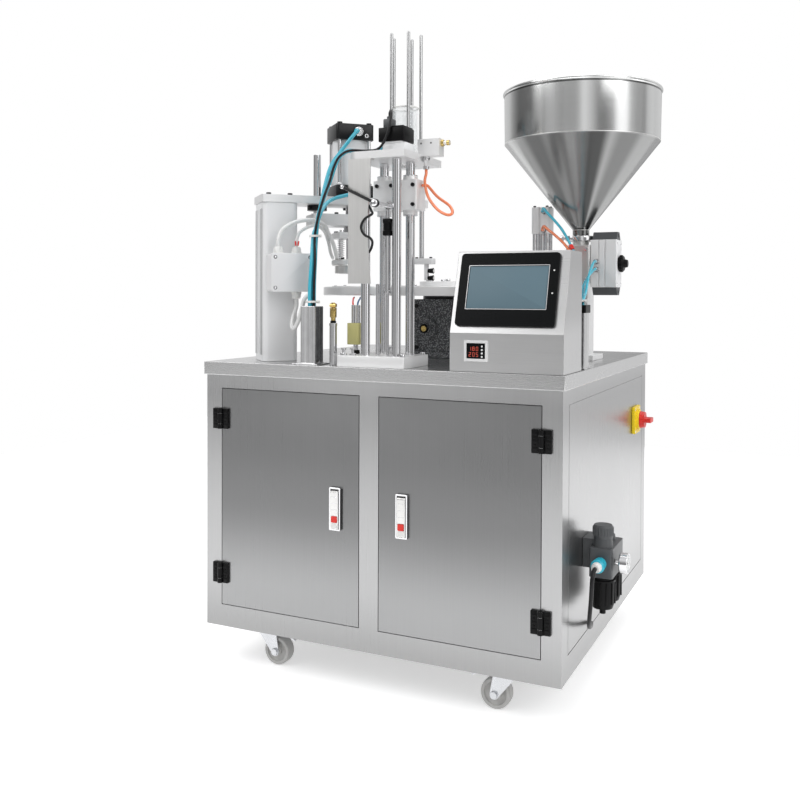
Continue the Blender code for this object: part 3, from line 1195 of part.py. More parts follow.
def filling_valve(machine):
    """Build the metering valve, its actuator with end caps and its knob."""
    foot = HOPPER_RIM_Z - HOPPER_SHELL_HEIGHT - HOPPER_CONE_HEIGHT - HOPPER_OUTLET_HEIGHT
    half_width, half_depth = VALVE_BLOCK_WIDTH / 2, VALVE_BLOCK_DEPTH / 2
    valve = block((HOPPER_X - half_width, HOPPER_Y - half_depth, VALVE_BLOCK_BOTTOM),
                  (HOPPER_X + half_width, HOPPER_Y + half_depth, VALVE_BLOCK_TOP), VALVE_CORNER, "z")
    neck_top = foot - GAP
    fused(valve, rod((HOPPER_X, HOPPER_Y, VALVE_BLOCK_TOP - OVERRUN), (HOPPER_X, HOPPER_Y, neck_top),
                     HOPPER_OUTLET_RADIUS),
          rod((HOPPER_X, HOPPER_Y, neck_top - FERRULE_HEIGHT), (HOPPER_X, HOPPER_Y, neck_top), FERRULE_RADIUS))
    bore = HOPPER_OUTLET_RADIUS - HOPPER_WALL
    middle = (VALVE_BLOCK_BOTTOM + VALVE_BLOCK_TOP) / 2
    seat = middle + PIPE_RADIUS
    cut(valve, rod((HOPPER_X, HOPPER_Y, seat), (HOPPER_X, HOPPER_Y, neck_top + OVERRUN), bore))
    fused(valve, rod((HOPPER_X, HOPPER_Y, middle), (NOZZLE_X + FILL_CYLINDER_RADIUS, HOPPER_Y, middle), PIPE_RADIUS))
    named(valve, "metering_valve", "brushed_steel", machine)
    left = HOPPER_X + half_width + GAP
    right = ACTUATOR_RIGHT - KNOB_LENGTH
    depth = ACTUATOR_DEPTH / 2
    body = block((left, HOPPER_Y - depth, ACTUATOR_BOTTOM), (right, HOPPER_Y + depth, ACTUATOR_TOP))
    groove = ACTUATOR_GROOVE
    for share in ACTUATOR_GROOVE_SHARES:
        x = left + (right - left) * share
        cut(body, block((x, HOPPER_Y - depth - OVERRUN, ACTUATOR_BOTTOM - OVERRUN),
                        (x + groove, HOPPER_Y - depth + groove, ACTUATOR_TOP + OVERRUN)))
    return left, right, body


def actuator(machine, left, right, body):
    """Finish the actuator with tapered caps and its hand knob."""
    depth = ACTUATOR_DEPTH / 2
    middle_z = (ACTUATOR_BOTTOM + ACTUATOR_TOP) / 2
    shaft_start = Vector((right - OVERRUN, HOPPER_Y, middle_z))
    fused(body, rod(shaft_start, shaft_start + Vector((OVERRUN + KNOB_LENGTH / 2, 0, 0)), ACTUATOR_SHAFT_RADIUS))
    for edge, way in ((ACTUATOR_BOTTOM, -1), (ACTUATOR_TOP, 1)):
        tip = edge + way * ACTUATOR_CAP_HEIGHT
        root = edge - way * ACTUATOR_GROOVE
        half, taper = depth - ACTUATOR_GROOVE * 2, ACTUATOR_CAP_TAPER
        outline = [(HOPPER_Y - half, root), (HOPPER_Y + half, root), (HOPPER_Y + half, edge),
                   (HOPPER_Y + half - taper, tip), (HOPPER_Y - half + taper, tip), (HOPPER_Y - half, edge)]
        cap = prism(outline, "x", left + ACTUATOR_GROOVE, right - ACTUATOR_FACE)
        hole_z = edge + way * ACTUATOR_CAP_HEIGHT * 0.55
        cut(cap, rod((left - OVERRUN, HOPPER_Y, hole_z), (right + OVERRUN, HOPPER_Y, hole_z), ACTUATOR_CAP_HOLE,
                     ROUND_SIDES // 2))
        fused(body, cap)
    for rise in ACTUATOR_PORT_RISES:
        port = Vector((left + ACTUATOR_PORT_IN, HOPPER_Y - depth + OVERRUN, middle_z + rise))
        fused(body, rod(port, port - Vector((0, OVERRUN + PORT_LENGTH, 0)), PORT_RADIUS, ROUND_SIDES // 2))
    named(body, "rotary_actuator", "light_alloy", machine)
    seat = Vector((right + GAP, HOPPER_Y, middle_z))
    bore, depth = ACTUATOR_SHAFT_RADIUS + GAP, KNOB_LENGTH / 2 + GAP
    outline = [(bore, 0), (KNOB_RADIUS * 0.93, 0), (KNOB_RADIUS, KNOB_LENGTH * 0.3), (KNOB_RADIUS, KNOB_LENGTH * 0.8),
               (KNOB_RADIUS * 0.9, KNOB_LENGTH), (KNOB_STEM_RADIUS, KNOB_LENGTH),
               (KNOB_STEM_RADIUS * 0.8, KNOB_LENGTH + KNOB_STEM_LENGTH), (0, KNOB_LENGTH + KNOB_STEM_LENGTH),
               (0, depth), (bore, depth)]
    named(turned(outline, seat, (1, 0, 0)), "actuator_knob", "black_plastic", machine, seat)


def filling_stand(machine):
    """Build the stand, the nozzle bracket, the nozzle and its air cylinder."""
    floor = DECK_TOP + GAP
    half_width, half_depth = STAND_WIDTH / 2, STAND_DEPTH / 2
    margin = STAND_FOOT_MARGIN
    behind = HOPPER_Y + VALVE_BLOCK_DEPTH / 2 + GAP
    stand = block((STAND_X - half_width, behind, floor),
                  (STAND_X + half_width, behind + STAND_DEPTH, FILL_PLATE_TOP))
    foot = block((STAND_X - half_width - margin, behind - margin, floor),
                 (STAND_X + half_width + margin, behind + STAND_DEPTH + margin, floor + STAND_FOOT))
    plate_bottom = FILL_PLATE_TOP - BRACKET_THICKNESS
    plate = block((NOZZLE_X - BRACKET_REACH, HOPPER_Y - BRACKET_DEPTH / 2, plate_bottom),
                  (HOPPER_X - VALVE_BLOCK_WIDTH / 2 - GAP * 2, behind + STAND_DEPTH, FILL_PLATE_TOP),
                  BRACKET_THICKNESS / 4, "z")
    fused(stand, foot, plate)
    hole = NOZZLE_RADIUS + NOZZLE_BORE_GAP
    cut(stand, rod((NOZZLE_X, HOPPER_Y, plate_bottom - OVERRUN), (NOZZLE_X, HOPPER_Y, FILL_PLATE_TOP + OVERRUN), hole))
    named(stand, "filling_stand", "light_alloy", machine)


def nozzle_and_cylinder(machine):
    """Build the plunging nozzle, and the cylinder that drives it on its four bars."""
    bottom, bore, top = NOZZLE_BOTTOM, NOZZLE_BORE_RADIUS, FILL_CYLINDER_BOTTOM - GAP
    outline = [(bore, bottom), (NOZZLE_TIP_RADIUS, bottom), (NOZZLE_RADIUS, bottom + NOZZLE_TIP_HEIGHT),
               (NOZZLE_RADIUS, top), (bore, top)]
    nozzle = turned(outline, (NOZZLE_X, HOPPER_Y, 0))
    named(nozzle, "filling_nozzle", "bright_steel", machine, (NOZZLE_X, HOPPER_Y, bottom))
    low = FILL_CYLINDER_BOTTOM
    half = FILL_CYLINDER_RADIUS
    body = block((NOZZLE_X - half, HOPPER_Y - half, low), (NOZZLE_X + half, HOPPER_Y + half, low + FILL_CYLINDER_HEIGHT),
                 half / 4, "z")
    for side in (-1, 1):
        y = HOPPER_Y + side * half
        ends = sorted((y, y - side * ACTUATOR_GROOVE))
        cut(body, block((NOZZLE_X - ACTUATOR_GROOVE, ends[0] - OVERRUN * (side < 0), low - OVERRUN),
                        (NOZZLE_X + ACTUATOR_GROOVE, ends[1] + OVERRUN * (side > 0),
                         low + FILL_CYLINDER_HEIGHT + OVERRUN)))
    foot, spread = FILL_PLATE_TOP + GAP, FILL_BAR_SPREAD
    for x, y in ((-spread, -spread), (spread, -spread), (spread, spread), (-spread, spread)):
        place = Vector((NOZZLE_X + x, HOPPER_Y + y, foot))
        fused(body, rod(place, place + Vector((0, 0, low - foot + OVERRUN)), FILL_BAR_RADIUS, ROUND_SIDES // 2),
              rod(place, place + Vector((0, 0, FILL_COLLAR_HEIGHT)), FILL_COLLAR_RADIUS, ROUND_SIDES // 2))
    for z in FILL_PORT_RISES:
        port = Vector((NOZZLE_X + FILL_PORT_SIDE, HOPPER_Y - half + OVERRUN, low + z))
        fused(body, rod(port, port - Vector((0, OVERRUN + PORT_LENGTH, 0)), PORT_RADIUS, ROUND_SIDES // 2))
    named(body, "filling_cylinder", "light_alloy", machine)


def seal_frame():
    """Give the sealing station's frame: x to the dial's centre, y square to it."""
    centre = Vector((DIAL_X, DIAL_Y, 0))
    axis = centre + Vector((math.cos(SEAL_ANGLE), math.sin(SEAL_ANGLE), 0)) * DIAL_PITCH_RADIUS
    return Matrix.Translation(axis) @ Matrix.Rotation(SEAL_ANGLE - math.pi, 4, "Z")


def sealing_station(machine):
    """Build the column, the arm and the air cylinder of the sealing press."""
    frame = seal_frame()
    floor = DECK_TOP + GAP
    back, front = -SEAL_COLUMN_BACK - SEAL_COLUMN_LENGTH / 2, -SEAL_COLUMN_BACK + SEAL_COLUMN_LENGTH / 2
    half = SEAL_COLUMN_WIDTH / 2
    column = block((back, -half, floor), (front, half, SEAL_ARM_BOTTOM - GAP), SEAL_COLUMN_ROUND, "z", 3)
    slot = SEAL_COLUMN_SLOT_WIDTH / 2
    cut(column, block((back - OVERRUN, -slot, floor + OVERRUN * 4), (back + SEAL_COLUMN_SLOT_DEPTH, slot,
                                                                    SEAL_ARM_BOTTOM - OVERRUN * 4)))
    named(turn_solid(column, frame), "sealing_column", "white_paint", machine)
    arm_top = SEAL_ARM_BOTTOM + SEAL_ARM_THICKNESS
    wide = SEAL_ARM_WIDTH / 2
    arm = block((back - SEAL_ARM_OVERHANG, -wide, SEAL_ARM_BOTTOM), (SEAL_ARM_BEYOND, wide, arm_top),
                SEAL_ARM_THICKNESS / 4, "z")
    for x, radius in ((0, PISTON_ROD_RADIUS), (-GUIDE_ROD_BACK, GUIDE_ROD_RADIUS)):
        cut(arm, rod((x, 0, SEAL_ARM_BOTTOM - OVERRUN), (x, 0, arm_top + OVERRUN), radius + GAP))
    named(turn_solid(arm, frame), "sealing_arm", "light_alloy", machine)
    press_cylinder(machine, frame, arm_top + GAP)
    press_head(machine, frame)


def press_cylinder(machine, frame, foot_z):
    """Build the tie rod cylinder that stands on the sealing arm."""
    half = CYLINDER_SIZE / 2
    foot_top, head_bottom = foot_z + CYLINDER_FOOT_HEIGHT, CYLINDER_TOP - CYLINDER_HEAD_HEIGHT
    barrel = rod((0, 0, foot_z + OVERRUN), (0, 0, CYLINDER_TOP - OVERRUN), CYLINDER_BARREL_RADIUS, FINE_SIDES)
    foot = block((-half, -half, foot_z), (half, half, foot_top), CYLINDER_CORNER, "z")
    head = block((-half, -half, head_bottom), (half, half, CYLINDER_TOP), CYLINDER_CORNER, "z")
    fused(barrel, foot, head)
    reach = half - CYLINDER_TIE_INSET
    for x in (-reach, reach):
        for y in (-reach, reach):
            fused(barrel, rod((x, y, foot_top - OVERRUN), (x, y, head_bottom + OVERRUN), CYLINDER_TIE_RADIUS,
                              ROUND_SIDES // 3))
    for z in ((foot_z + foot_top) / 2, (head_bottom + CYLINDER_TOP) / 2):
        fused(barrel, rod((0, -half + OVERRUN, z), (0, -half - PORT_NUT_LENGTH, z), PORT_NUT_RADIUS, 6))
    bore = PISTON_ROD_RADIUS + GAP
    cut(barrel, rod((0, 0, foot_z - OVERRUN), (0, 0, foot_top + OVERRUN * 4), bore))
    named(turn_solid(barrel, frame), "press_cylinder", "black_alloy", machine)


def press_head(machine, frame):
    """Build everything that the piston moves, down to the heated shoe."""
    plate_bottom = PRESS_PLATE_TOP - PRESS_PLATE_THICKNESS
    half = PRESS_PLATE_WIDTH / 2
    beyond = PRESS_PLATE_LENGTH - GUIDE_ROD_BACK - GUIDE_ROD_RADIUS * 2
    head = block((-GUIDE_ROD_BACK - GUIDE_ROD_RADIUS * 2, -half, plate_bottom), (beyond / 2, half, PRESS_PLATE_TOP),
                 PRESS_PLATE_THICKNESS / 5, "z")
    piston_top = SEAL_ARM_BOTTOM + SEAL_ARM_THICKNESS + CYLINDER_FOOT_HEIGHT
    fused(head, rod((0, 0, plate_bottom + OVERRUN), (0, 0, piston_top), PISTON_ROD_RADIUS),
          rod((-GUIDE_ROD_BACK, 0, plate_bottom + OVERRUN), (-GUIDE_ROD_BACK, 0, GUIDE_ROD_TOP), GUIDE_ROD_RADIUS))
    side = PRESS_SECOND_SIZE / 2
    second_bottom = PRESS_SECOND_TOP - PRESS_SECOND_THICKNESS
    fused(head, block((-side, -side, second_bottom), (side, side, PRESS_SECOND_TOP), PRESS_SECOND_THICKNESS / 4, "z"),
          rod((0, 0, PRESS_NECK_BOTTOM - OVERRUN), (0, 0, plate_bottom + OVERRUN), PRESS_NECK_RADIUS))
    heater_bottom = PRESS_NECK_BOTTOM - HEATER_THICKNESS
    shoe_bottom = heater_bottom - HEATER_SHOE_HEIGHT
    outline = [(0, shoe_bottom), (HEATER_SHOE_RADIUS, shoe_bottom), (HEATER_SHOE_RADIUS, heater_bottom),
               (HEATER_RADIUS, heater_bottom), (HEATER_RADIUS, PRESS_NECK_BOTTOM), (0, PRESS_NECK_BOTTOM)]
    fused(head, turned(outline, (0, 0, 0), (0, 0, 1), FINE_SIDES))
    reach = side - PRESS_SPRING_RADIUS / 2
    for way in (-1, 1):
        fused(head, rod((way * reach * 0.8, 0, PRESS_NECK_BOTTOM - OVERRUN), (way * reach * 0.8, 0, second_bottom + OVERRUN),
                        PRESS_NECK_RADIUS / 2, ROUND_SIDES // 2))
    pivot = frame @ Vector((0, 0, shoe_bottom))
    named(turn_solid(head, frame), "press_head", "light_alloy", machine, pivot)


def glands():
    """List each cable gland's x, y and z in the sealing station's frame, and the way it points."""
    middle, y = -SEAL_COLUMN_BACK + BOX_SHIFT, -SEAL_COLUMN_WIDTH / 2 - GAP - BOX_DEPTH / 2
    upper = [(middle + BOX_LENGTH * share, y, BOX_BOTTOM + BOX_HEIGHT, 1) for share in GLAND_SHARES]
    return [*upper, (middle + BOX_LENGTH * GLAND_SHARES[1], y, BOX_BOTTOM, -1)]


def gland_tips():
    """List the middle of each gland's mouth in the sealing station's frame."""
    return [Vector((x, y, z + way * (GLAND_HEIGHT + GAP))) for x, y, z, way in glands()]


def junction_box(machine):
    """Build the junction box on the column with its cable glands."""
    frame = seal_frame()
    face = -SEAL_COLUMN_WIDTH / 2 - GAP
    middle = -SEAL_COLUMN_BACK + BOX_SHIFT
    left, right = middle - BOX_LENGTH / 2, middle + BOX_LENGTH / 2
    top = BOX_BOTTOM + BOX_HEIGHT
    box = block((left, face - BOX_DEPTH, BOX_BOTTOM), (right, face, top), BOX_CORNER, "y")
    for x, y, z, way in glands():
        fused(box, rod((x, y, z - way * OVERRUN), (x, y, z + way * GLAND_HEIGHT), GLAND_RADIUS, ROUND_SIDES // 2,
                       GLAND_RADIUS * 0.8))
        cut(box, rod((x, y, z - way * OVERRUN), (x, y, z + way * (GLAND_HEIGHT + OVERRUN)), GLAND_BORE, ROUND_SIDES // 2))
    named(turn_solid(box, frame), "junction_box", "grey_plastic", machine)


def hose_duct(machine, name, x, y, height, trimmed):
    """Build a square steel duct with a foot, and an edge trim at its mouth where asked."""
    floor = DECK_TOP + GAP
    half, bore = DUCT_SIZE / 2, DUCT_SIZE / 2 - DUCT_WALL
    duct = block((x - half, y - half, floor), (x + half, y + half, DECK_TOP + height), DUCT_WALL * 1.5, "z")
    foot = DUCT_FOOT / 2
    front = max(y - foot, 0)
    side = min(x + foot, CABINET_WIDTH)
    fused(duct, block((x - foot, front, floor), (side, y + foot, floor + DUCT_FOOT_THICKNESS)))
    mouth = DECK_TOP + height
    if trimmed:
        wide = half + TRIM_WALL
        fused(duct, block((x - wide, y - wide, mouth - TRIM_LAP), (x + wide, y + wide, mouth + TRIM_HEIGHT),
                          TRIM_WALL, "z"))
    cut(duct, block((x - bore, y - bore, floor - OVERRUN), (x + bore, y + bore, mouth + TRIM_HEIGHT + OVERRUN)))
    named(duct, name, "bright_steel", machine)


def rear_columns():
    """Give the two rear columns' places on the lid station."""
    return [(COLUMN_LEFT_X + COLUMN_REAR_SHIFT, COLUMN_REAR_Y), (COLUMN_RIGHT_X, COLUMN_REAR_Y)]


def lid_station(machine):
    """Build the lid station's base with its four columns, and its top plate."""
    floor = DECK_TOP + GAP
    base_top = floor + LID_BASE_THICKNESS
    base = block((LID_BASE_LEFT, LID_BASE_FRONT, floor),
                 (LID_BASE_RIGHT, LID_BASE_FRONT + LID_BASE_DEPTH, base_top), LID_BASE_THICKNESS / 8, "z")
    front = [(COLUMN_LEFT_X, COLUMN_FRONT_Y), (COLUMN_RIGHT_X, COLUMN_FRONT_Y)]
    for x, y in front + rear_columns():
        fused(base, rod((x, y, base_top - OVERRUN), (x, y, TOP_PLATE_BOTTOM - GAP), COLUMN_RADIUS))
    place = Vector((SENSOR_X, SENSOR_Y, 0))
    half = Vector((SENSOR_WIDTH, SENSOR_DEPTH, 0)) / 2
    fused(base, rod(place + Vector((0, 0, base_top - OVERRUN)), place + Vector((0, 0, SENSOR_TOP - OVERRUN)),
                    SENSOR_POST_RADIUS, ROUND_SIDES // 2),
          block(place - half + Vector((0, 0, SENSOR_BOTTOM)), place + half + Vector((0, 0, SENSOR_TOP))))
    for way in (-1, 1):
        stub = place + Vector((way * SENSOR_STUB_SPREAD, 0, 0))
        fused(base, rod(stub + Vector((0, 0, SENSOR_TOP - OVERRUN)), stub + Vector((0, 0, SENSOR_STUB_TOP)),
                        SENSOR_STUB_RADIUS, ROUND_SIDES // 2))
    named(base, "lid_station_frame", "light_alloy", machine)
    low, high = TOP_PLATE_BOTTOM, TOP_PLATE_BOTTOM + TOP_PLATE_THICKNESS
    back = TOP_PLATE_FRONT + TOP_PLATE_DEPTH
    turn = TOP_PLATE_ROUND
    corner = arc((TOP_PLATE_LEFT + turn, TOP_PLATE_FRONT + turn), turn, 180, 270, 4)
    outline = corner + [(TOP_PLATE_RIGHT, TOP_PLATE_FRONT), (TOP_PLATE_RIGHT, back), (TOP_PLATE_LEFT, back)]
    plate = prism(outline, "z", low, high)
    cut(plate, rod((MAGAZINE_X, MAGAZINE_Y, low - OVERRUN), (MAGAZINE_X, MAGAZINE_Y, high + OVERRUN),
                   TUBE_RADIUS - TUBE_WALL, FINE_SIDES))
    named(fused(plate, *vacuum_valve()), "lid_top_plate", "light_alloy", machine)


def vacuum_valve():
    """Give the vacuum valve at the top plate's edge: its block, its port and its elbow."""
    low, high = Vector(VACUUM_LOW), Vector(VACUUM_HIGH)
    middle_y = (low.y + high.y) / 2
    port = rod((high.x - OVERRUN, middle_y, VACUUM_PORT_Z), (high.x + VACUUM_PORT_LENGTH, middle_y, VACUUM_PORT_Z),
               PORT_RADIUS, ROUND_SIDES // 2)
    elbow = rod((VACUUM_ELBOW_X, middle_y, low.z + OVERRUN), (VACUUM_ELBOW_X, middle_y, VACUUM_ELBOW_BOTTOM),
                VACUUM_ELBOW_RADIUS, ROUND_SIDES // 2)
    return [block(low, high), port, elbow]


def top_cylinder(machine):
    """Build the lid station's upper air cylinder with its coil and its plug."""
    level = TOP_PLATE_BOTTOM + TOP_PLATE_THICKNESS + GAP
    body = block((*TOP_BODY_LOW, level), (*TOP_BODY_HIGH, level + TOP_BODY_HEIGHT + OVERRUN))
    level += TOP_BODY_HEIGHT
    coil = block((*TOP_COIL_LOW, level), (*TOP_COIL_HIGH, level + TOP_COIL_HEIGHT))
    level += TOP_COIL_HEIGHT
    plug = block((*TOP_PLUG_LOW, level - OVERRUN), (*TOP_PLUG_HIGH, level + TOP_PLUG_HEIGHT))
    level += TOP_PLUG_HEIGHT
    spot = (Vector(TOP_PLUG_LOW) + Vector(TOP_PLUG_HIGH)) / 2
    stub = rod((*spot, level - OVERRUN), (*spot, level + TOP_PLUG_STUB_HEIGHT), TOP_PLUG_STUB_RADIUS, ROUND_SIDES // 2)
    named(fused(body, coil, plug, stub), "lid_air_cylinder", "black_plastic", machine)
    return Vector((*spot, level + TOP_PLUG_STUB_HEIGHT + GAP))


def front_cylinder(machine):
    """Turn the slim front cylinder with its shaft and its shock absorber."""
    bottom = DECK_TOP + GAP * 2 + LID_BASE_THICKNESS
    collar = SHOCK_COLLAR_HEIGHT
    outline = [(0, bottom), (FRONT_SHAFT_RADIUS, bottom), (FRONT_SHAFT_RADIUS, FRONT_BARREL_BOTTOM),
               (FRONT_BARREL_RADIUS, FRONT_BARREL_BOTTOM), (FRONT_BARREL_RADIUS, SHOCK_BOTTOM),
               (SHOCK_RADIUS, SHOCK_BOTTOM), (SHOCK_RADIUS, SHOCK_BOTTOM + collar),
               (SHOCK_WAIST_RADIUS, SHOCK_BOTTOM + collar), (SHOCK_WAIST_RADIUS, SHOCK_TOP - collar),
               (SHOCK_RADIUS, SHOCK_TOP - collar), (SHOCK_RADIUS, SHOCK_TOP), (SHOCK_TIP_RADIUS, SHOCK_TOP),
               (SHOCK_TIP_RADIUS, SHOCK_TIP_TOP), (0, SHOCK_TIP_TOP)]
    cylinder = turned(outline, (FRONT_GEAR_X, FRONT_GEAR_Y, 0), (0, 0, 1), ROUND_SIDES * 3 // 4)
    named(cylinder, "slider_cylinder", "brushed_steel", machine)


def picker(machine):
    """Build the picker: its post in the slider's lug, its arm and its two side cups."""
    axis = Vector((PICKER_POST_X, PICKER_POST_Y, 0))
    arm_bottom = PICKER_ARM_TOP - PICKER_ARM_THICKNESS
    wide = PICKER_ARM_WIDTH / 2
    arm = block(axis + Vector((-PICKER_ARM_BACK, -wide, arm_bottom)),
                axis + Vector((PICKER_ARM_REACH, wide, PICKER_ARM_TOP)), PICKER_ARM_THICKNESS / 4, "z")
    seat = PICKER_LUG_BOTTOM + PICKER_LUG_HEIGHT + GAP
    deep = wide / 2
    fused(arm, rod(axis + Vector((0, 0, arm_bottom + OVERRUN)), axis + Vector((0, 0, PICKER_POST_TOP)),
                   PICKER_POST_RADIUS),
          rod(axis + Vector((0, 0, seat)), axis + Vector((0, 0, seat + PICKER_COLLAR_HEIGHT)), PICKER_COLLAR_RADIUS),
          block(axis + Vector((PICKER_STEM_START, -deep, PICKER_STEM_BOTTOM)),
                axis + Vector((PICKER_STEM_END, deep, arm_bottom + OVERRUN))))
    for z in CUP_HEIGHTS:
        fused(arm, rod(axis + Vector((PICKER_STEM_START + GAP, 0, z)), axis + Vector((CUP_END, 0, z)), CUP_RADIUS,
                       ROUND_SIDES // 2, CUP_RADIUS * 0.7))
    named(arm, "lid_picker", "light_alloy", machine, (PICKER_POST_X, PICKER_POST_Y, SLIDER_BOTTOM))


def slider_link(machine):
    """Build the link whose eye turns on the slider's axle, with its ball end left free."""
    front, back = AXLE_FRONT + GAP, LINK_BACK
    middle = (front + back) / 2
    start, end = Vector((AXLE_X, middle, AXLE_Z)), Vector((LINK_END_X, middle, LINK_END_Z))
    eye = rod((AXLE_X, front, AXLE_Z), (AXLE_X, back, AXLE_Z), LINK_EYE_RADIUS)
    fused(eye, rod(start, end, LINK_ROD_RADIUS, ROUND_SIDES // 2),
          rod((LINK_END_X, front, LINK_END_Z), (LINK_END_X, back, LINK_END_Z), LINK_BALL_RADIUS, ROUND_SIDES // 2))
    cut(eye, rod((AXLE_X, front - OVERRUN, AXLE_Z), (AXLE_X, back + OVERRUN, AXLE_Z), AXLE_BAR_RADIUS + GAP))
    named(eye, "slider_link", "black_alloy", machine, start)


def lid_slider(machine):
    """Build the block that rides on the rear columns, with its bushes, its axle and its lug."""
    low, high = SLIDER_BOTTOM, SLIDER_BOTTOM + SLIDER_HEIGHT
    back = SLIDER_FRONT + SLIDER_DEPTH
    slider = block((SLIDER_LEFT, SLIDER_FRONT, low), (SLIDER_RIGHT, back, high), SLIDER_DEPTH / 12, "z")
    for x, y in rear_columns():
        fused(slider, rod((x, y, low - BUSH_PROUD), (x, y, high + BUSH_PROUD), BUSH_RADIUS))
        cut(slider, rod((x, y, low - BUSH_PROUD - OVERRUN), (x, y, high + BUSH_PROUD + OVERRUN), COLUMN_RADIUS + GAP))
    fused(slider, rod((AXLE_X, SLIDER_FRONT + OVERRUN, AXLE_Z), (AXLE_X, AXLE_FRONT, AXLE_Z), AXLE_BAR_RADIUS))
    axis, reach, top = Vector((PICKER_POST_X, PICKER_POST_Y, 0)), PICKER_LUG_HALF, PICKER_LUG_BOTTOM + PICKER_LUG_HEIGHT
    fused(slider, block((axis.x - reach, back - OVERRUN, PICKER_LUG_BOTTOM), (axis.x + reach, axis.y + reach, top)))
    cut(slider, rod(axis + Vector((0, 0, PICKER_LUG_BOTTOM - OVERRUN)), axis + Vector((0, 0, top + OVERRUN)),
                    PICKER_POST_RADIUS + GAP))
    named(slider, "lid_slider", "light_alloy", machine, (SLIDER_LEFT, SLIDER_FRONT, low))


def cover_plate(machine):
    """Cut the brushed cover in front of the lid station, with its wavy edge."""
    top = TOP_PLATE_BOTTOM - GAP
    reach = COVER_CUT_RADIUS
    bay = arc((COVER_RIGHT, COVER_CUT_Z), reach, 250, 110, 8)
    outline = [(COVER_LEFT, COVER_BOTTOM), (COVER_RIGHT, COVER_BOTTOM), *bay, (COVER_RIGHT, top), (COVER_LEFT, top)]
    cover = prism(outline, "y", COVER_FRONT, COVER_FRONT + COVER_SHEET)
    fused(cover, block((COVER_LEFT, COVER_FRONT + COVER_SHEET / 2, top - COVER_SHEET),
                       (COVER_RIGHT, COLUMN_FRONT_Y - COLUMN_RADIUS - GAP * 2, top)))
    named(cover, "lid_cover_plate", "brushed_steel", machine)


def magazine(machine):
    """Build the lid magazine: a ring with thin guide rods, and a clear tube."""
    plate_top = TOP_PLATE_BOTTOM + TOP_PLATE_THICKNESS + GAP
    centre = Vector((MAGAZINE_X, MAGAZINE_Y, plate_top))
    inner, outer = TUBE_RADIUS + GAP, TUBE_RADIUS + MAGAZINE_RING_WALL
    base = ring(centre, inner, outer, MAGAZINE_RING_HEIGHT, sides=FINE_SIDES)
    for index in range(MAGAZINE_ROD_COUNT):
        angle = math.tau * (index + MAGAZINE_TURN_SHARE) / MAGAZINE_ROD_COUNT
        spot = centre + Vector((math.cos(angle), math.sin(angle), 0)) * MAGAZINE_PITCH_RADIUS
        fused(base, rod(spot + Vector((0, 0, MAGAZINE_RING_HEIGHT / 2)), Vector((spot.x, spot.y, MAGAZINE_TOP)),
                        MAGAZINE_ROD_RADIUS, ROUND_SIDES // 3))
    named(base, "lid_magazine", "bright_steel", machine)
    tube = ring(centre, TUBE_RADIUS - TUBE_WALL, TUBE_RADIUS, TUBE_HEIGHT, sides=FINE_SIDES)
    named(tube, "lid_tube", "clear_plastic", machine)


def drive_motor(machine):
    """Build the geared motor that hangs under the deck and turns the index drive."""
    top = DECK_TOP - DECK_THICKNESS - GAP
    centre, half = Vector((DIAL_X, DIAL_Y, 0)), Vector((DRIVE_BOX_SIZE, DRIVE_BOX_SIZE, 0)) / 2
    bottom = top - DRIVE_BOX_HEIGHT
    box = block(centre - half + Vector((0, 0, bottom)), centre + half + Vector((0, 0, top)), DRIVE_BOX_CORNER, "z")
    fused(box, rod(centre + Vector((0, 0, top - OVERRUN)), centre + Vector((0, 0, DECK_TOP)), DRIVE_SHAFT_RADIUS),
          rod(centre + Vector((0, 0, bottom + OVERRUN)), centre + Vector((0, 0, bottom - DRIVE_MOTOR_LENGTH)),
              DRIVE_MOTOR_RADIUS))
    named(box, "drive_motor", "dark_casting", machine)


def press_port(z):
    """Give a port of the press cylinder and the first point of the hose that leaves it."""
    frame = seal_frame()
    face = -CYLINDER_SIZE / 2 - PORT_NUT_LENGTH - GAP
    return [frame @ Vector((0, face, z)), frame @ Vector((0, face - HOSE_LEAD, z))]


def sealer_harness(machine, plug):
    """Lay the air hoses, the cable and the supply conduit that meet in the left duct."""
    foot = SEAL_ARM_BOTTOM + SEAL_ARM_THICKNESS + GAP
    upper, lower = CYLINDER_TOP - CYLINDER_HEAD_HEIGHT / 2, foot + CYLINDER_FOOT_HEIGHT / 2
    ends = [Vector((*spot, DUCT_END_Z)) for spot in LEFT_DUCT_SPOTS]
    body_middle = TOP_PLATE_BOTTOM + TOP_PLATE_THICKNESS + TOP_BODY_HEIGHT / 2
    lid_start = Vector((TOP_BODY_LOW[0] - GAP, LID_HOSE_ROUTE[0][1], body_middle))
    lid_lead, plug_lead = lid_start - Vector((HOSE_LEAD, 0, 0)), plug + Vector((0, 0, HOSE_LEAD))
    gland = seal_frame() @ gland_tips()[-1]
    bundle = hose([*press_port(upper), *UPPER_PRESS_ROUTE, ends[0]], AIR_HOSE_RADIUS)
    fused(bundle, tie(UPPER_TIE, TIE_RADIUS), tie(LOWER_TIE, LOWER_TIE_RADIUS),
          hose([*press_port(lower), *LOWER_PRESS_ROUTE, ends[1]], AIR_HOSE_RADIUS),
          hose([lid_start, lid_lead, *LID_HOSE_ROUTE, ends[2]], AIR_HOSE_RADIUS),
          hose([plug, plug_lead, *CABLE_ROUTE, ends[3]], CABLE_RADIUS),
          hose([gland, *SUPPLY_ROUTE, ends[4]], CONDUIT_RADIUS))
    named(bundle, "sealer_harness", "blue_hose", machine)


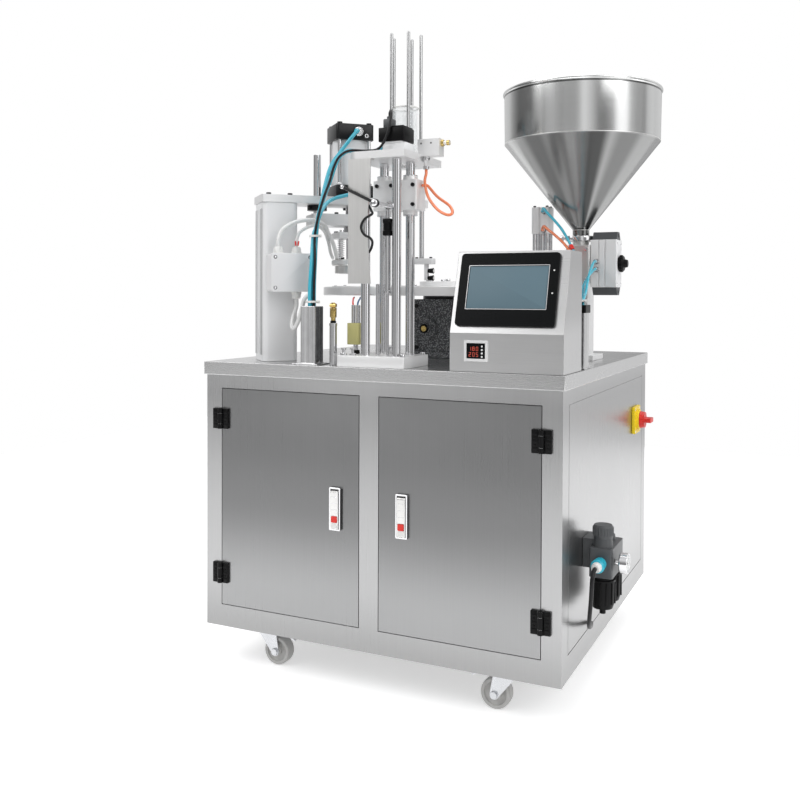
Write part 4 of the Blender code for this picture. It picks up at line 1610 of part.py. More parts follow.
def heater_conduits(machine):
    """Lay the two tied conduits that lead from the junction box to the heater."""
    first, second, _ = [seal_frame() @ tip for tip in gland_tips()]
    lift = Vector((0, 0, GLAND_HEIGHT))
    pair = hose([first, first + lift, *HEATER_ROUTE], CONDUIT_RADIUS)
    fused(pair, hose([second, second + lift, *THIN_HEATER_ROUTE], THIN_CONDUIT_RADIUS),
          rod(CONDUIT_TIE_TOP, CONDUIT_TIE_FOOT, CONDUIT_TIE_RADIUS, ROUND_SIDES // 2))
    named(pair, "heater_conduits", "white_hose", machine)


def filler_harness(machine):
    """Lay the hoses of the lift cylinder and the actuator that meet in the right duct."""
    ends = [Vector((*spot, DUCT_END_Z)) for spot in RIGHT_DUCT_SPOTS]
    lift_face = HOPPER_Y - FILL_CYLINDER_RADIUS - PORT_LENGTH - GAP
    turn_face = HOPPER_Y - ACTUATOR_DEPTH / 2 - PORT_LENGTH - GAP
    turn_x = HOPPER_X + VALVE_BLOCK_WIDTH / 2 + GAP + ACTUATOR_PORT_IN
    middle = (ACTUATOR_BOTTOM + ACTUATOR_TOP) / 2
    down, up = [Vector((NOZZLE_X + FILL_PORT_SIDE, lift_face, FILL_CYLINDER_BOTTOM + rise)) for rise in FILL_PORT_RISES]
    high, low = [Vector((turn_x, turn_face, middle + rise)) for rise in ACTUATOR_PORT_RISES]
    lead = Vector((0, HOSE_LEAD, 0))
    bundle = hose([up, up - lead, *LIFT_UP_ROUTE, ends[0]], AIR_HOSE_RADIUS)
    fused(bundle, tie(FILLER_TIE, FILLER_TIE_RADIUS),
          hose([down, down - lead, *LIFT_DOWN_ROUTE, ends[1]], AIR_HOSE_RADIUS),
          hose([high, high - lead, *VALVE_UP_ROUTE, ends[2]], AIR_HOSE_RADIUS),
          hose([low, low - lead, *VALVE_DOWN_ROUTE, ends[3]], AIR_HOSE_RADIUS))
    named(bundle, "filler_harness", "blue_hose", machine)


def single_hoses(machine):
    """Lay the vacuum hose of the lid station and the inlet hose of the air set."""
    middle_y = (VACUUM_LOW[1] + VACUUM_HIGH[1]) / 2
    start = Vector((VACUUM_ELBOW_X, middle_y, VACUUM_ELBOW_BOTTOM - GAP))
    named(hose([start, *VACUUM_ROUTE], AIR_HOSE_RADIUS), "vacuum_hose", "orange_hose", machine)
    tip = AIR_Y - AIR_BODY_DEPTH / 2 - COUPLER_NUT_LENGTH - COUPLER_LENGTH - GAP * 2
    middle_x = CABINET_WIDTH + AIR_BODY_STANDOFF + AIR_BODY_DEPTH / 2
    start = Vector((middle_x, tip, AIR_BODY_BOTTOM + AIR_BODY_HEIGHT / 2))
    named(hose([start, *INLET_ROUTE], INLET_HOSE_RADIUS), "inlet_hose", "black_hose", machine)


def build():
    """Build every piece of the machine."""
    cleared()
    machine = machine_frame()
    cabinet_body(machine)
    deck_lid(machine)
    doors(machine)
    castors(machine)
    operator_panel(machine)
    isolator(machine)
    air_set(machine)
    dial_and_indexer(machine)
    hopper(machine)
    actuator(machine, *filling_valve(machine))
    filling_stand(machine)
    nozzle_and_cylinder(machine)
    sealing_station(machine)
    junction_box(machine)
    right_height = DUCT_HEIGHT - DUCT_RIGHT_SHORTER
    hose_duct(machine, "left_hose_duct", DUCT_LEFT_X, DUCT_LEFT_Y, DUCT_HEIGHT, trimmed=False)
    hose_duct(machine, "right_hose_duct", DUCT_RIGHT_X, DUCT_RIGHT_Y, right_height, trimmed=True)
    lid_station(machine)
    lid_slider(machine)
    cover_plate(machine)
    magazine(machine)
    front_cylinder(machine)
    picker(machine)
    slider_link(machine)
    sealer_harness(machine, top_cylinder(machine))
    heater_conduits(machine)
    filler_harness(machine)
    single_hoses(machine)
    drive_motor(machine)


build()
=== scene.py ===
"""Looks of the filling and sealing machine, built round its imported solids.

Lengths are metres. Places are given in the cabinet's own frame: x to the right and y to the back
from its front left corner, and z up from its floor plate. ``Corner`` moves them to the frame that
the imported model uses.
"""

import json
import logging
import math
from collections.abc import Iterable, Sequence
from dataclasses import dataclass, field
from enum import Enum
from functools import partialmethod

import bmesh
import bpy
import numpy as np
from mathutils import Matrix, Vector


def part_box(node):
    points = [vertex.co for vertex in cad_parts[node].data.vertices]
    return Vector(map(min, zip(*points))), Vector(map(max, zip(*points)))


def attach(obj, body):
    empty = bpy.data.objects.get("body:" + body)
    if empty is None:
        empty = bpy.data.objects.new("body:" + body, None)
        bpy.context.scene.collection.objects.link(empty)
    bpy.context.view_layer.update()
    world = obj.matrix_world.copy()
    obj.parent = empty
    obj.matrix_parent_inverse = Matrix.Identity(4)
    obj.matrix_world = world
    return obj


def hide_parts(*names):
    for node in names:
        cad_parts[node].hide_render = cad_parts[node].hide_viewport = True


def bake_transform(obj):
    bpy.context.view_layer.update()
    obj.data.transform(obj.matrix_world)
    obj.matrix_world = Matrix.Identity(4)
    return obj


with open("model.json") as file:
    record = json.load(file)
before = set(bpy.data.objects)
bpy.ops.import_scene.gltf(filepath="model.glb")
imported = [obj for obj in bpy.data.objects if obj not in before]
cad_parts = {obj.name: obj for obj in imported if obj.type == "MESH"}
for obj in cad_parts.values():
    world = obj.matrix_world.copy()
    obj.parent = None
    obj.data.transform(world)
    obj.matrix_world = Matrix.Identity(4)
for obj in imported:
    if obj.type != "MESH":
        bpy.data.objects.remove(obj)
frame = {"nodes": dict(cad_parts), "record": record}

LOG = logging.getLogger("machine")
MACHINE = "machine"
DECK_TOP = 0.578
DECK_OVERHANG = 0.005
CABINET_WIDTH = 0.800
IMAGE_SIDE = 800
SHOULDER_Z = 1.154
LIP_Z = 1.2585
WELD = 0.00001
FLAT = math.radians(0.4)
SHARP = math.radians(34)
CURVE_STEPS = 16
HOSE_SIDES = 14
WIRE_SIDES = 8
TURN_STEPS = 18
PRESS_BACK = 0.172

Point = Sequence[float]
UP, DOWN, FORWARD, RIGHT = (0, 0, 1), (0, 0, -1), (0, -1, 0), (1, 0, 0)


# Shader maths


class Wire:
    """An output of a node that can be added, multiplied and compared like a number."""

    def __init__(self, graph: "Graph", socket: bpy.types.NodeSocket) -> None:
        """Hold the socket and the graph that it belongs to."""
        self.graph = graph
        self.socket = socket

    def _join(self, other: object, operation: str) -> "Wire":
        """Add one Math node, with this wire first."""
        return self.graph.add("ShaderNodeMath", {"operation": operation}, {0: self, 1: other})

    __add__ = __radd__ = partialmethod(_join, operation="ADD")
    __sub__ = partialmethod(_join, operation="SUBTRACT")
    __mul__ = __rmul__ = partialmethod(_join, operation="MULTIPLY")
    least = partialmethod(_join, operation="MINIMUM")
    most = partialmethod(_join, operation="MAXIMUM")

    def __rsub__(self, other: object) -> "Wire":
        """Give the difference from a number on the left."""
        return self.graph.add("ShaderNodeMath", {"operation": "SUBTRACT"}, {0: other, 1: self})

    def size(self) -> "Wire":
        """Give the value without its sign."""
        return self._join(0, "ABSOLUTE")

    def between(self, low: float, high: float) -> "Wire":
        """Rise smoothly from 0 at low to 1 at high."""
        return self.graph.add("ShaderNodeMapRange", {"interpolation_type": "SMOOTHSTEP"},
                              {0: self, 1: low, 2: high, 3: 0, 4: 1})

    def apart(self, degrees: float) -> "Wire":
        """Give this angle's distance from another, the shorter way round."""
        gap = (self - degrees).size()
        return gap.least(360 - gap)


class Graph:
    """The node tree of one material or world."""

    def __init__(self, owner: bpy.types.ID) -> None:
        """Switch the owner to nodes and empty its tree."""
        owner.use_nodes = True
        self.tree = owner.node_tree
        self.tree.nodes.clear()

    def add(self, kind: str, settings: dict | None = None, values: dict | None = None,
            out: int | str = 0) -> Wire:
        """Add a node of any kind.

        Args:
            kind: The node's type.
            settings: The node's own properties, set before its sockets.
            values: The value or the wire of each socket, by number or name.
            out: Which output is handed back.

        Returns:
            The chosen output as a wire.
        """
        node = self.tree.nodes.new(kind)
        for name, value in (settings or {}).items():
            setattr(node, name, value)
        for key, value in (values or {}).items():
            socket = node.inputs[key]
            if isinstance(value, Wire):
                self.tree.links.new(value.socket, socket)
            else:
                socket.default_value = (*value, 1) if socket.type == "RGBA" and len(value) == 3 else value
        return Wire(self, node.outputs[out] if len(node.outputs) else node.inputs[0])

    def split(self, vector: Wire) -> list[Wire]:
        """Give the x, y and z of a vector."""
        first = self.add("ShaderNodeSeparateXYZ", {}, {0: vector})
        return [Wire(self, output) for output in first.socket.node.outputs]

    def spot(self, kind: str = "Object") -> Wire:
        """Give the coordinates of the point that is shaded."""
        return self.add("ShaderNodeTexCoord", out=kind)

    def angle(self, across: Wire, along: Wire) -> Wire:
        """Give the angle of a direction, in degrees from the along axis."""
        turn = self.add("ShaderNodeMath", {"operation": "ARCTAN2"}, {0: across, 1: along})
        return turn * math.degrees(1)

    def place(self, scale: Point = (1, 1, 1)) -> Wire:
        """Give object coordinates stretched along each axis."""
        values = {"Vector": self.spot(), "Scale": scale}
        return self.add("ShaderNodeMapping", {"vector_type": "POINT"}, values)

    def noise(self, scale: float | Point, detail: float = 3) -> Wire:
        """Give soft noise, centred on a half, with cycles a metre along each axis."""
        scale = (scale,) * 3 if isinstance(scale, (int, float)) else scale
        return self.add("ShaderNodeTexNoise", {}, {"Vector": self.place(scale), "Scale": 1.0,
                                                   "Detail": detail, "Roughness": 0.55})

    def cells(self, scale: float) -> Wire:
        """Give the distance to the middle of each cell of a random pattern."""
        return self.add("ShaderNodeTexVoronoi", {"feature": "F1"}, {"Vector": self.place(), "Scale": scale})

    def blend(self, share: object, first: object, second: object) -> Wire:
        """Mix two colours by a share."""
        return self.add("ShaderNodeMix", {"data_type": "RGBA", "blend_type": "MIX", "clamp_factor": True},
                        {0: share, 6: first, 7: second}, out=2)

    def shaded(self, colour: object, factor: Wire) -> Wire:
        """Make a colour lighter or darker by a factor."""
        return self.add("ShaderNodeVectorMath", {"operation": "SCALE"}, {0: colour, "Scale": factor})


# Finishes


@dataclass(frozen=True)
class Finish:
    """A surface finish, from its colour down to the grain that breaks up its gloss.

    The colour is the base times 1 plus the fine and the broad noise, each less a half and times its
    share. The roughness moves with the same two patterns, and the fine one also lifts the surface.
    Grain and patches are in cycles a metre, and depth is the height of the relief.
    """

    name: str
    slot: str
    colour: tuple[float, float, float]
    roughness: float
    metallic: float = 0.0
    grain: float | tuple[float, float, float] = 260
    tone: float = 0.06
    patches: float = 5.0
    patch_tone: float = 0.06
    uneven: float = 0.10
    relief: float = 0.12
    depth: float = 0.0001
    coat: float = 0.0

    def factor(self, fine: Wire, broad: Wire, broad_share: float | None = None) -> Wire:
        """Give what the grain and the patches make of the base colour."""
        patch = 2 * self.patch_tone if broad_share is None else broad_share
        return 1 + (fine - 0.5) * (2 * self.tone) + (broad - 0.5) * patch

    def colours(self, graph: Graph, fine: Wire, broad: Wire) -> Wire:
        """Give the base colour over the surface."""
        return graph.shaded(self.colour, self.factor(fine, broad))

    def height(self, graph: Graph, fine: Wire) -> Wire:
        """Give the surface's height for its relief."""
        return fine

    def extras(self) -> dict:
        """Give further sockets of the shader."""
        return {}

    def material(self) -> bpy.types.Material:
        """Build the material, or give it back if it is built."""
        known = bpy.data.materials.get(f"look_{self.name}")
        if known:
            return known
        material = bpy.data.materials.new(f"look_{self.name}")
        graph = Graph(material)
        fine, broad = graph.noise(self.grain), graph.noise(self.patches, 4)
        gloss = self.roughness + (fine - 0.5) * self.uneven + (broad - 0.5) * self.uneven
        bump = graph.add("ShaderNodeBump", {}, {"Strength": self.relief, "Distance": self.depth,
                                                "Height": self.height(graph, fine)})
        values = {"Base Color": self.colours(graph, fine, broad), "Roughness": gloss.most(0.03).least(1),
                  "Metallic": self.metallic, "Normal": bump, "Coat Weight": self.coat,
                  "Coat Roughness": 0.08} | self.extras()
        shader = graph.add("ShaderNodeBsdfPrincipled", {}, values)
        graph.add("ShaderNodeOutputMaterial", {}, {"Surface": shader})
        return material


@dataclass(frozen=True)
class SheetSteel(Finish):
    """Brushed sheet: long fine lines along one axis, faint cloudy smudges, a little soil low down and steps
    of painted shade and painted highlight.

    Each step is a low height, a high one and the share by which the colour darkens between them, or lightens
    where the share is below zero: painted shade and painted highlight that stand in for the room reflected in
    the sheet.
    """

    soil: float = 0.10
    soil_low: float = 0.06
    soil_top: float = 0.16
    soil_colour: tuple[float, float, float] = (0.16, 0.15, 0.135)
    # Steps of painted shade, and of painted highlight where the share is below zero.
    steps: tuple[tuple[float, float, float], ...] = ()

    def colours(self, graph: Graph, fine: Wire, broad: Wire) -> Wire:
        """Darken or lighten the brushed colour by the steps of painted shade and painted highlight, and
        darken it with soil towards the floor.
        """
        z = graph.split(graph.spot())[2]
        factor = self.factor(fine, broad)
        # Painted shade and painted highlight: each step darkens the colour over a span of height, or lightens
        # it where its share is below zero.
        for start, end, share in self.steps:
            factor = factor * (1 - (z + broad * 0.03).between(start, end) * share)
        low = (1 - z.between(self.soil_low, self.soil_top)) * (self.soil * 2) * broad
        return graph.blend(low, graph.shaded(self.colour, factor), self.soil_colour)


@dataclass(frozen=True)
class SpunSteel(Finish):
    """Spun sheet with the room's reflection painted in: upright strips of painted shade and painted
    highlight, a cone painted darker under the shoulder and a painted shadow line under the lip.

    A band is its middle, its half width and its share of dark, which lightens where it is below zero: the
    smooth step of the angle's distance from its middle. Angles are in degrees round the axis, from the x
    axis.
    """

    axis: tuple[float, float] = (0.0, 0.0)
    # Share of the colour that the cone keeps: painted shade under the shoulder.
    cone: float = 0.46
    # Share of the colour on the painted shadow line just under the lip.
    lip_shade: float = 0.22
    # Strips of painted reflection round the axis, on the cylinder and on the cone.
    painted_reflection_bands: tuple[tuple[float, float, float], ...] = ()
    cone_painted_reflection_bands: tuple[tuple[float, float, float], ...] = ()

    def colours(self, graph: Graph, fine: Wire, broad: Wire) -> Wire:
        """Paint the reflection strips, the shade on the cone and the shadow line under the lip into the
        colour.
        """
        x, y, z = graph.split(graph.spot())
        turn = graph.angle(y - self.axis[1], x - self.axis[0])
        upper = z.between(SHOULDER_Z - 0.004, SHOULDER_Z)
        # Painted shade: below the shoulder the cone keeps only its share of the colour.
        tone = 1 - (1 - upper) * (1 - self.cone)
        # Painted shadow: a thin dark line just under the lip.
        lip = (z - LIP_Z).size().between(0.0010, 0.0028)
        tone = tone * (self.lip_shade + lip * (1 - self.lip_shade))
        # Painted reflections: upright strips that darken the colour, or lighten it where the share is below
        # zero.
        for painted_reflection_bands, part in ((self.painted_reflection_bands, upper), (self.cone_painted_reflection_bands, 1 - upper)):
            for middle, half, share in painted_reflection_bands:
                tone = tone * (1 - (1 - turn.apart(middle).between(half * 0.3, half)) * part * share)
        return graph.shaded(self.colour, tone * self.factor(fine, broad, 0.06))


@dataclass(frozen=True)
class HammerPaint(Finish):
    """Hammered enamel on a casting: round shallow dimples of mixed size under a gloss."""

    dimples: float = 330
    light: tuple[float, float, float] = (0.40, 0.41, 0.42)

    def height(self, graph: Graph, fine: Wire) -> Wire:
        """Give the dimples: the distance to each cell's middle, smoothed, with some noise."""
        return graph.cells(self.dimples).between(0.05, 0.75) + fine * 0.3

    def colours(self, graph: Graph, fine: Wire, broad: Wire) -> Wire:
        """Lighten the bottoms of the dimples."""
        bottoms = 1 - graph.cells(self.dimples).between(0.1, 0.6)
        return graph.blend(bottoms, super().colours(graph, fine, broad), self.light)


@dataclass(frozen=True)
class Glass(Finish):
    """Clear plastic or glass: part of the light passes and the rest shines off it."""

    alpha: float = 0.20
    bending: float = 1.46

    def extras(self) -> dict:
        """Let most of the light through."""
        return {"Alpha": self.alpha, "IOR": self.bending}


@dataclass(frozen=True)
class Dull(Finish):
    """A dark face that mirrors little of the room."""

    mirror: float = 0.08

    def extras(self) -> dict:
        """Lower the share of light that it mirrors."""
        return {"Specular IOR Level": self.mirror}


@dataclass(frozen=True)
class Lit(Finish):
    """A lit mark on a display."""

    glow: float = 0.16

    def extras(self) -> dict:
        """Add the light that the mark gives off."""
        return {"Emission Color": (*self.colour, 1), "Emission Strength": self.glow}


class Look(Enum):
    """Every finish of the machine."""

    # Cabinet and doors are one satin steel in two copies, told apart by their steps: the cabinet's steps
    # lighten it above two heights, a painted highlight.
    CABINET = SheetSteel("cabinet_steel", "satin_steel", (0.365, 0.366, 0.367), 0.30, 1, (900, 900, 5), 0.07,
                         3.2, 0.07, 0.12, 0.10, 0.00012, steps=((0.10, 0.24, -0.20), (0.60, 0.67, -0.25)))
    # The doors' steps darken their middle height and lighten their upper part: painted shade and painted
    # highlight.
    DOOR = SheetSteel("door_steel", "satin_steel", (0.345, 0.347, 0.349), 0.30, 1, (900, 900, 5), 0.07,
                      3.2, 0.07, 0.12, 0.10, 0.00012, steps=((0.20, 0.39, 0.42), (0.47, 0.65, -0.45)))
    DECK = SheetSteel("deck_steel", "deck_steel", (0.66, 0.66, 0.66), 0.27, 1, (2, 500, 500), 0.012,
                      3.5, 0.03, 0.04, 0.02, 0.00006)
    # The console's steps darken its upper, sloped part: painted shade.
    CONSOLE = SheetSteel("console_steel", "satin_steel", (0.68, 0.68, 0.68), 0.30, 1, (8, 900, 900), 0.05,
                         4, 0.04, 0.10, 0.08, steps=((0.745, 0.800, 0.20), (0.800, 0.900, 0.12)))
    # The hopper's upright strips of dark and light, its darker cone and the dark line under its lip are
    # painted reflection and painted shade.
    HOPPER = SpunSteel("spun_steel", "bright_steel", (0.68, 0.685, 0.68), 0.22, 1, (12, 12, 1100), 0.06,
                       4, 0.05, 0.10, 0.08, 0.00008, axis=(0.2789, 0.0043),
                       painted_reflection_bands=((-120, 14, 0.45), (-108, 6, -0.45), (-82, 12, -0.45), (-64, 9, 0.20),
                              (-34, 8, -0.42)),
                       cone_painted_reflection_bands=((-113, 13, 0.45), (-84, 6, -0.30), (-65, 12, 0.76), (-40, 16, 0.42),
                                   (-150, 20, -0.40)))
    POLISHED = Finish("polished_steel", "bright_steel", (0.66, 0.66, 0.665), 0.16, 1, (110, 110, 1.5), 0.85,
                      60, 0.10, 0.10, 0.06)
    BRUSHED = Finish("brushed_steel", "brushed_steel", (0.77, 0.765, 0.75), 0.32, 1, (700, 700, 9), 0.07,
                     8, 0.06, 0.12, 0.1)
    CHROME = Finish("bright_steel", "bright_steel", (0.72, 0.72, 0.73), 0.12, 1, (300, 300, 25), 0.03,
                    14, 0.04, 0.06, 0.04, 0.00006)
    ROD = Finish("drawn_rod", "bright_steel", (0.46, 0.462, 0.465), 0.22, 1, (300, 300, 25), 0.04,
                 14, 0.05, 0.08, 0.05, 0.00006)
    ALLOY = Finish("light_alloy", "light_alloy", (0.78, 0.78, 0.78), 0.40, 0.38, (700, 60, 700), 0.03,
                   7, 0.03, 0.10, 0.10)
    # The paler dial alloy; the slider wears it too, as painted light on a front that stands in shade.
    DIAL = Finish("dial_alloy", "light_alloy", (0.85, 0.85, 0.85), 0.36, 0.28, (120, 120, 500), 0.03,
                  6, 0.03, 0.10, 0.06)
    ZINC = Finish("zinc_plate", "zinc", (0.64, 0.65, 0.67), 0.26, 0.95, 160, 0.08, 45, 0.14, 0.20, 0.10)
    NYLON = Finish("white_nylon", "white_nylon", (0.57, 0.565, 0.55), 0.42, 0, 500, 0.03, 30, 0.05,
                   0.10, 0.10)
    PAINT = Finish("white_paint", "white_paint", (0.80, 0.805, 0.81), 0.38, 0, 420, 0.015, 6, 0.02, 0.05,
                   0.10, 0.00015)
    GREY = Finish("grey_plastic", "grey_plastic", (0.74, 0.74, 0.745), 0.45, 0, 900, 0.02, 9, 0.03,
                  0.08, 0.16)
    DARK_GREY = Finish("dark_grey_plastic", "grey_plastic", (0.070, 0.074, 0.078), 0.42, 0, 900, 0.04,
                       30, 0.08, 0.12, 0.16)
    BLACK = Dull("black_plastic", "black_plastic", (0.004, 0.004, 0.0043), 0.34, 0, 900, 0.10,
                 30, 0.15, 0.12, 0.18, mirror=0.14)
    GLOSS_BLACK = Dull("gloss_black", "black_plastic", (0.004, 0.0045, 0.005), 0.28, 0, 700, 0.05,
                       12, 0.10, 0.05, 0.03)
    BLACK_ALLOY = Dull("black_anodised", "black_alloy", (0.012, 0.012, 0.013), 0.30, 0.20, (60, 700, 700),
                       0.10, 20, 0.12, 0.12, 0.08, mirror=0.30)
    CASTING = HammerPaint("hammer_paint", "dark_casting", (0.070, 0.074, 0.079), 0.36, 0.25, 400, 0.10,
                          12, 0.10, 0.15, 0.65, 0.0005)
    DRIVE_PLATE = Finish("drive_plate_paint", "", (0.20, 0.205, 0.21), 0.38, 0.15, 400, 0.12,
                         40, 0.10, 0.12, 0.30, 0.0003)
    RED = Finish("red_plastic", "red_plastic", (0.74, 0.028, 0.018), 0.32, 0, 600, 0.04, 30, 0.06, 0.10, 0.10)
    YELLOW = Finish("yellow_plastic", "yellow_plastic", (0.90, 0.66, 0.010), 0.34, 0, 600, 0.03,
                    25, 0.05, 0.08, 0.10)
    TEAL = Finish("teal_plastic", "teal_plastic", (0.03, 0.48, 0.62), 0.30, 0, 600, 0.04, 30, 0.06,
                  0.08, 0.08)
    BLUE_HOSE = Finish("blue_hose", "blue_hose", (0.055, 0.46, 0.60), 0.24, 0, 60, 0.05, 12, 0.10, 0.06, 0.05,
                       coat=0.4)
    ORANGE_HOSE = Finish("orange_hose", "orange_hose", (0.88, 0.24, 0.10), 0.24, 0, 60, 0.05,
                         12, 0.08, 0.06, 0.05, coat=0.4)
    BLACK_HOSE = Dull("black_cable", "black_hose", (0.008, 0.008, 0.009), 0.36, 0, 500, 0.10,
                      30, 0.10, 0.10, 0.10, mirror=0.30)
    DARK_BLUE = Finish("dark_blue_wire", "", (0.02, 0.10, 0.24), 0.35, 0, 300, depth=0.0002)
    CONDUIT = Finish("white_conduit", "white_hose", (0.80, 0.80, 0.79), 0.28, 0, 60, 0.04, 30, 0.06, 0.08,
                     0.10, 0.0002, coat=0.5)
    TIE = Finish("white_tie", "", (0.82, 0.82, 0.80), 0.40, 0, 500, depth=0.0002)
    BRASS = Finish("brass", "", (0.62, 0.46, 0.17), 0.26, 1, 500, 0.06, 60, 0.10, 0.12, 0.08)
    OLIVE = Finish("olive_plastic", "", (0.52, 0.49, 0.20), 0.40, 0, (200, 200, 30), 0.05, 40, 0.06,
                   0.08, 0.08)
    SCREEN = Dull("screen_glass", "", (0.125, 0.190, 0.226), 0.26, 0, 3, 0.05, 5, 0.05, 0.04, 0.02)
    DIAL_FACE = Finish("dial_face", "", (0.86, 0.86, 0.84), 0.40, 0, 300, 0.02, depth=0.0002)
    CLEAR = Glass("clear_tube", "clear_plastic", (0.92, 0.95, 0.96), 0.06, 0, (90, 90, 20), 0.03,
                  20, 0.03, 0.04, 0.02)
    DIGITS = Lit("lit_digits", "", (0.70, 0.10, 0.06), 0.4, depth=0.0002)


# Surfaces


@dataclass
class Shell:
    """One closed surface: its points and the faces that join them."""

    points: np.ndarray
    faces: list[tuple[int, ...]]

    def moved(self, matrix: Matrix) -> "Shell":
        """Give the surface moved by a matrix."""
        table = np.array(matrix)
        return Shell(self.points @ table[:3, :3].T + table[:3, 3], self.faces)


def loft(rings: np.ndarray, wrap: bool = False) -> Shell:
    """Skin a stack of rings.

    Point (i, j) is the j-th point of ring i, and each face joins (i, j), (i, j+1), (i+1, j+1), (i+1, j).

    Args:
        rings: Array of rings by points by 3, anticlockwise seen from ahead.
        wrap: Join the last ring to the first; if not, a face closes each of them.

    Returns:
        The surface.
    """
    count, sides = rings.shape[:2]
    row, column = np.meshgrid(np.arange(count if wrap else count - 1), np.arange(sides), indexing="ij")
    ahead, beside = (row + 1) % count, (column + 1) % sides
    quads = np.stack([row * sides + column, row * sides + beside, ahead * sides + beside,
                      ahead * sides + column], axis=-1)
    faces = [tuple(quad) for quad in quads.reshape(-1, 4).tolist()]
    if not wrap:
        faces += [tuple(range(sides))[::-1], tuple(range((count - 1) * sides, count * sides))]
    return Shell(rings.reshape(-1, 3).astype(float), faces)


def circle(sides: int) -> np.ndarray:
    """Give points on the unit circle: cosine and sine of equal steps."""
    turn = np.linspace(0, math.tau, sides, endpoint=False)
    return np.stack([np.cos(turn), np.sin(turn)], axis=-1)


def hexagon(sides: int) -> np.ndarray:
    """Give points on a hexagon with unit flats: the circle over the cosine of the angle from each flat."""
    turn = np.linspace(0, math.tau, sides, endpoint=False)
    return circle(sides) / np.cos((turn % (math.tau / 6)) - math.tau / 12)[:, None]


def stacked(outlines: Sequence[np.ndarray], heights: Sequence[float]) -> np.ndarray:
    """Lay flat outlines one above the other, each at its height."""
    flat = np.array(outlines)
    levels = np.broadcast_to(np.array(heights)[:, None, None], (*flat.shape[:2], 1))
    return np.concatenate([flat, levels], axis=-1)


def towards(base: Point, axis: Point = UP, spin: float = 0.0) -> Matrix:
    """Give the matrix that stands a shape on a point with its z along an axis."""
    turn = Vector(UP).rotation_difference(Vector(axis)).to_matrix().to_4x4()
    return Matrix.Translation(Vector(base)) @ turn @ Matrix.Rotation(spin, 4, "Z")


def turned(profile: Sequence[tuple[float, float]], sides: int = 40, wrap: bool = False,
           base: Point = (0, 0, 0), axis: Point = UP) -> Shell:
    """Spin a profile of (radius, height) round an axis: each ring is the unit circle times a radius.

    Args:
        profile: Points from the bottom up, or right round where it wraps.
        sides: Points in each ring.
        wrap: Close the profile on itself, as in a tube with a wall.
        base: Where height 0 stands.
        axis: The axis that it is turned round.

    Returns:
        The surface.
    """
    rings = stacked([circle(sides) * radius for radius, _ in profile], [height for _, height in profile])
    return loft(rings, wrap).moved(towards(base, axis))


def rod(start: Point, end: Point, radius: float, edge: float = 0.0006, sides: int = 32) -> Shell:
    """Make a round bar with chamfered ends between two points."""
    start, end = Vector(start), Vector(end)
    long = (end - start).length
    edge = min(edge, radius / 2, long / 3)
    outline = [(radius - edge, 0), (radius, edge), (radius, long - edge), (radius - edge, long)]
    return turned(outline, sides, base=start, axis=end - start)


def post(x: float, y: float, low: float, high: float, radius: float, edge: float = 0.0006,
         sides: int = 32) -> Shell:
    """Make an upright round bar."""
    return rod((x, y, low), (x, y, high), radius, edge, sides)


def sleeve(base: Point, axis: Point, inner: float, outer: float, height: float, sides: int = 40) -> Shell:
    """Make a ring with a wall, standing on a point."""
    edge = min(0.0005, (outer - inner) / 4, height / 4)
    outline = [(outer - edge, 0), (outer, edge), (outer, height - edge), (outer - edge, height),
               (inner + edge, height), (inner, height - edge), (inner, edge), (inner + edge, 0)]
    return turned(outline, sides, True, base, axis)


def rounded(width: float, depth: float, corner: float) -> np.ndarray:
    """Give a rectangle with round corners: four quarter circles, each moved to its own corner."""
    turn = np.linspace(0, math.pi / 2, 5) + np.arange(4)[:, None] * math.pi / 2
    signs = np.array(((1, 1), (-1, 1), (-1, -1), (1, -1)))
    arcs = np.stack([np.cos(turn), np.sin(turn)], axis=-1) * corner
    return (arcs + signs[:, None] * np.array([width / 2 - corner, depth / 2 - corner])).reshape(-1, 2)


ORDER = {"z": (0, 1, 2), "x": (2, 0, 1), "y": (1, 2, 0)}


def measured(low: Point, high: Point, axis: str) -> tuple[list[int], np.ndarray, np.ndarray]:
    """Give the order of axes that puts one last, a box's size in that order and its middle."""
    order = ORDER[axis]
    low, high = np.minimum(low, high), np.maximum(low, high)
    return list(order), (high - low)[[order.index(turn) for turn in range(3)]], (low + high) / 2


def slab(low: Point, high: Point, corner: float = 0.001, edge: float = 0.0006, axis: str = "z") -> Shell:
    """Make a box with round corners round one axis and eased edges at its two ends.

    The ring at each level is the rounded rectangle drawn in by edge times 1 less the cosine, and
    raised by edge times the sine, of an angle that steps through a right angle.

    Args:
        low: The lowest corner.
        high: The highest corner.
        corner: The radius round the axis.
        edge: The easing of the two end faces.
        axis: The axis that the corners run along.

    Returns:
        The surface.
    """
    order, size, middle = measured(low, high, axis)
    edge = min(edge, *(size / 3))
    corner = max(min(corner, size[0] / 2.1, size[1] / 2.1), edge * 1.05)
    turn = np.linspace(0, math.pi / 2, 3)
    draw = np.concatenate([edge * (1 - np.sin(turn)), edge * (1 - np.cos(turn))])
    rise = np.concatenate([edge * (1 - np.cos(turn)), size[2] - edge * (1 - np.sin(turn))])
    flats = [rounded(size[0] - 2 * inset, size[1] - 2 * inset, corner - inset) for inset in draw]
    return loft(stacked(flats, rise - size[2] / 2)[..., order] + middle)


def frame_of(low: Point, high: Point, wall: float, axis: str = "y", corner: float = 0.002) -> Shell:
    """Make a flat rectangular frame: the outer and inner rounded rectangle at each of two levels."""
    order, size, middle = measured(low, high, axis)
    outer = rounded(size[0], size[1], corner)
    inner = rounded(size[0] - 2 * wall, size[1] - 2 * wall, max(corner - wall, 0.0002))
    half = size[2] / 2
    rings = stacked([outer, outer, inner, inner], [-half, half, half, -half])
    return loft(rings[..., order] + middle, wrap=True)


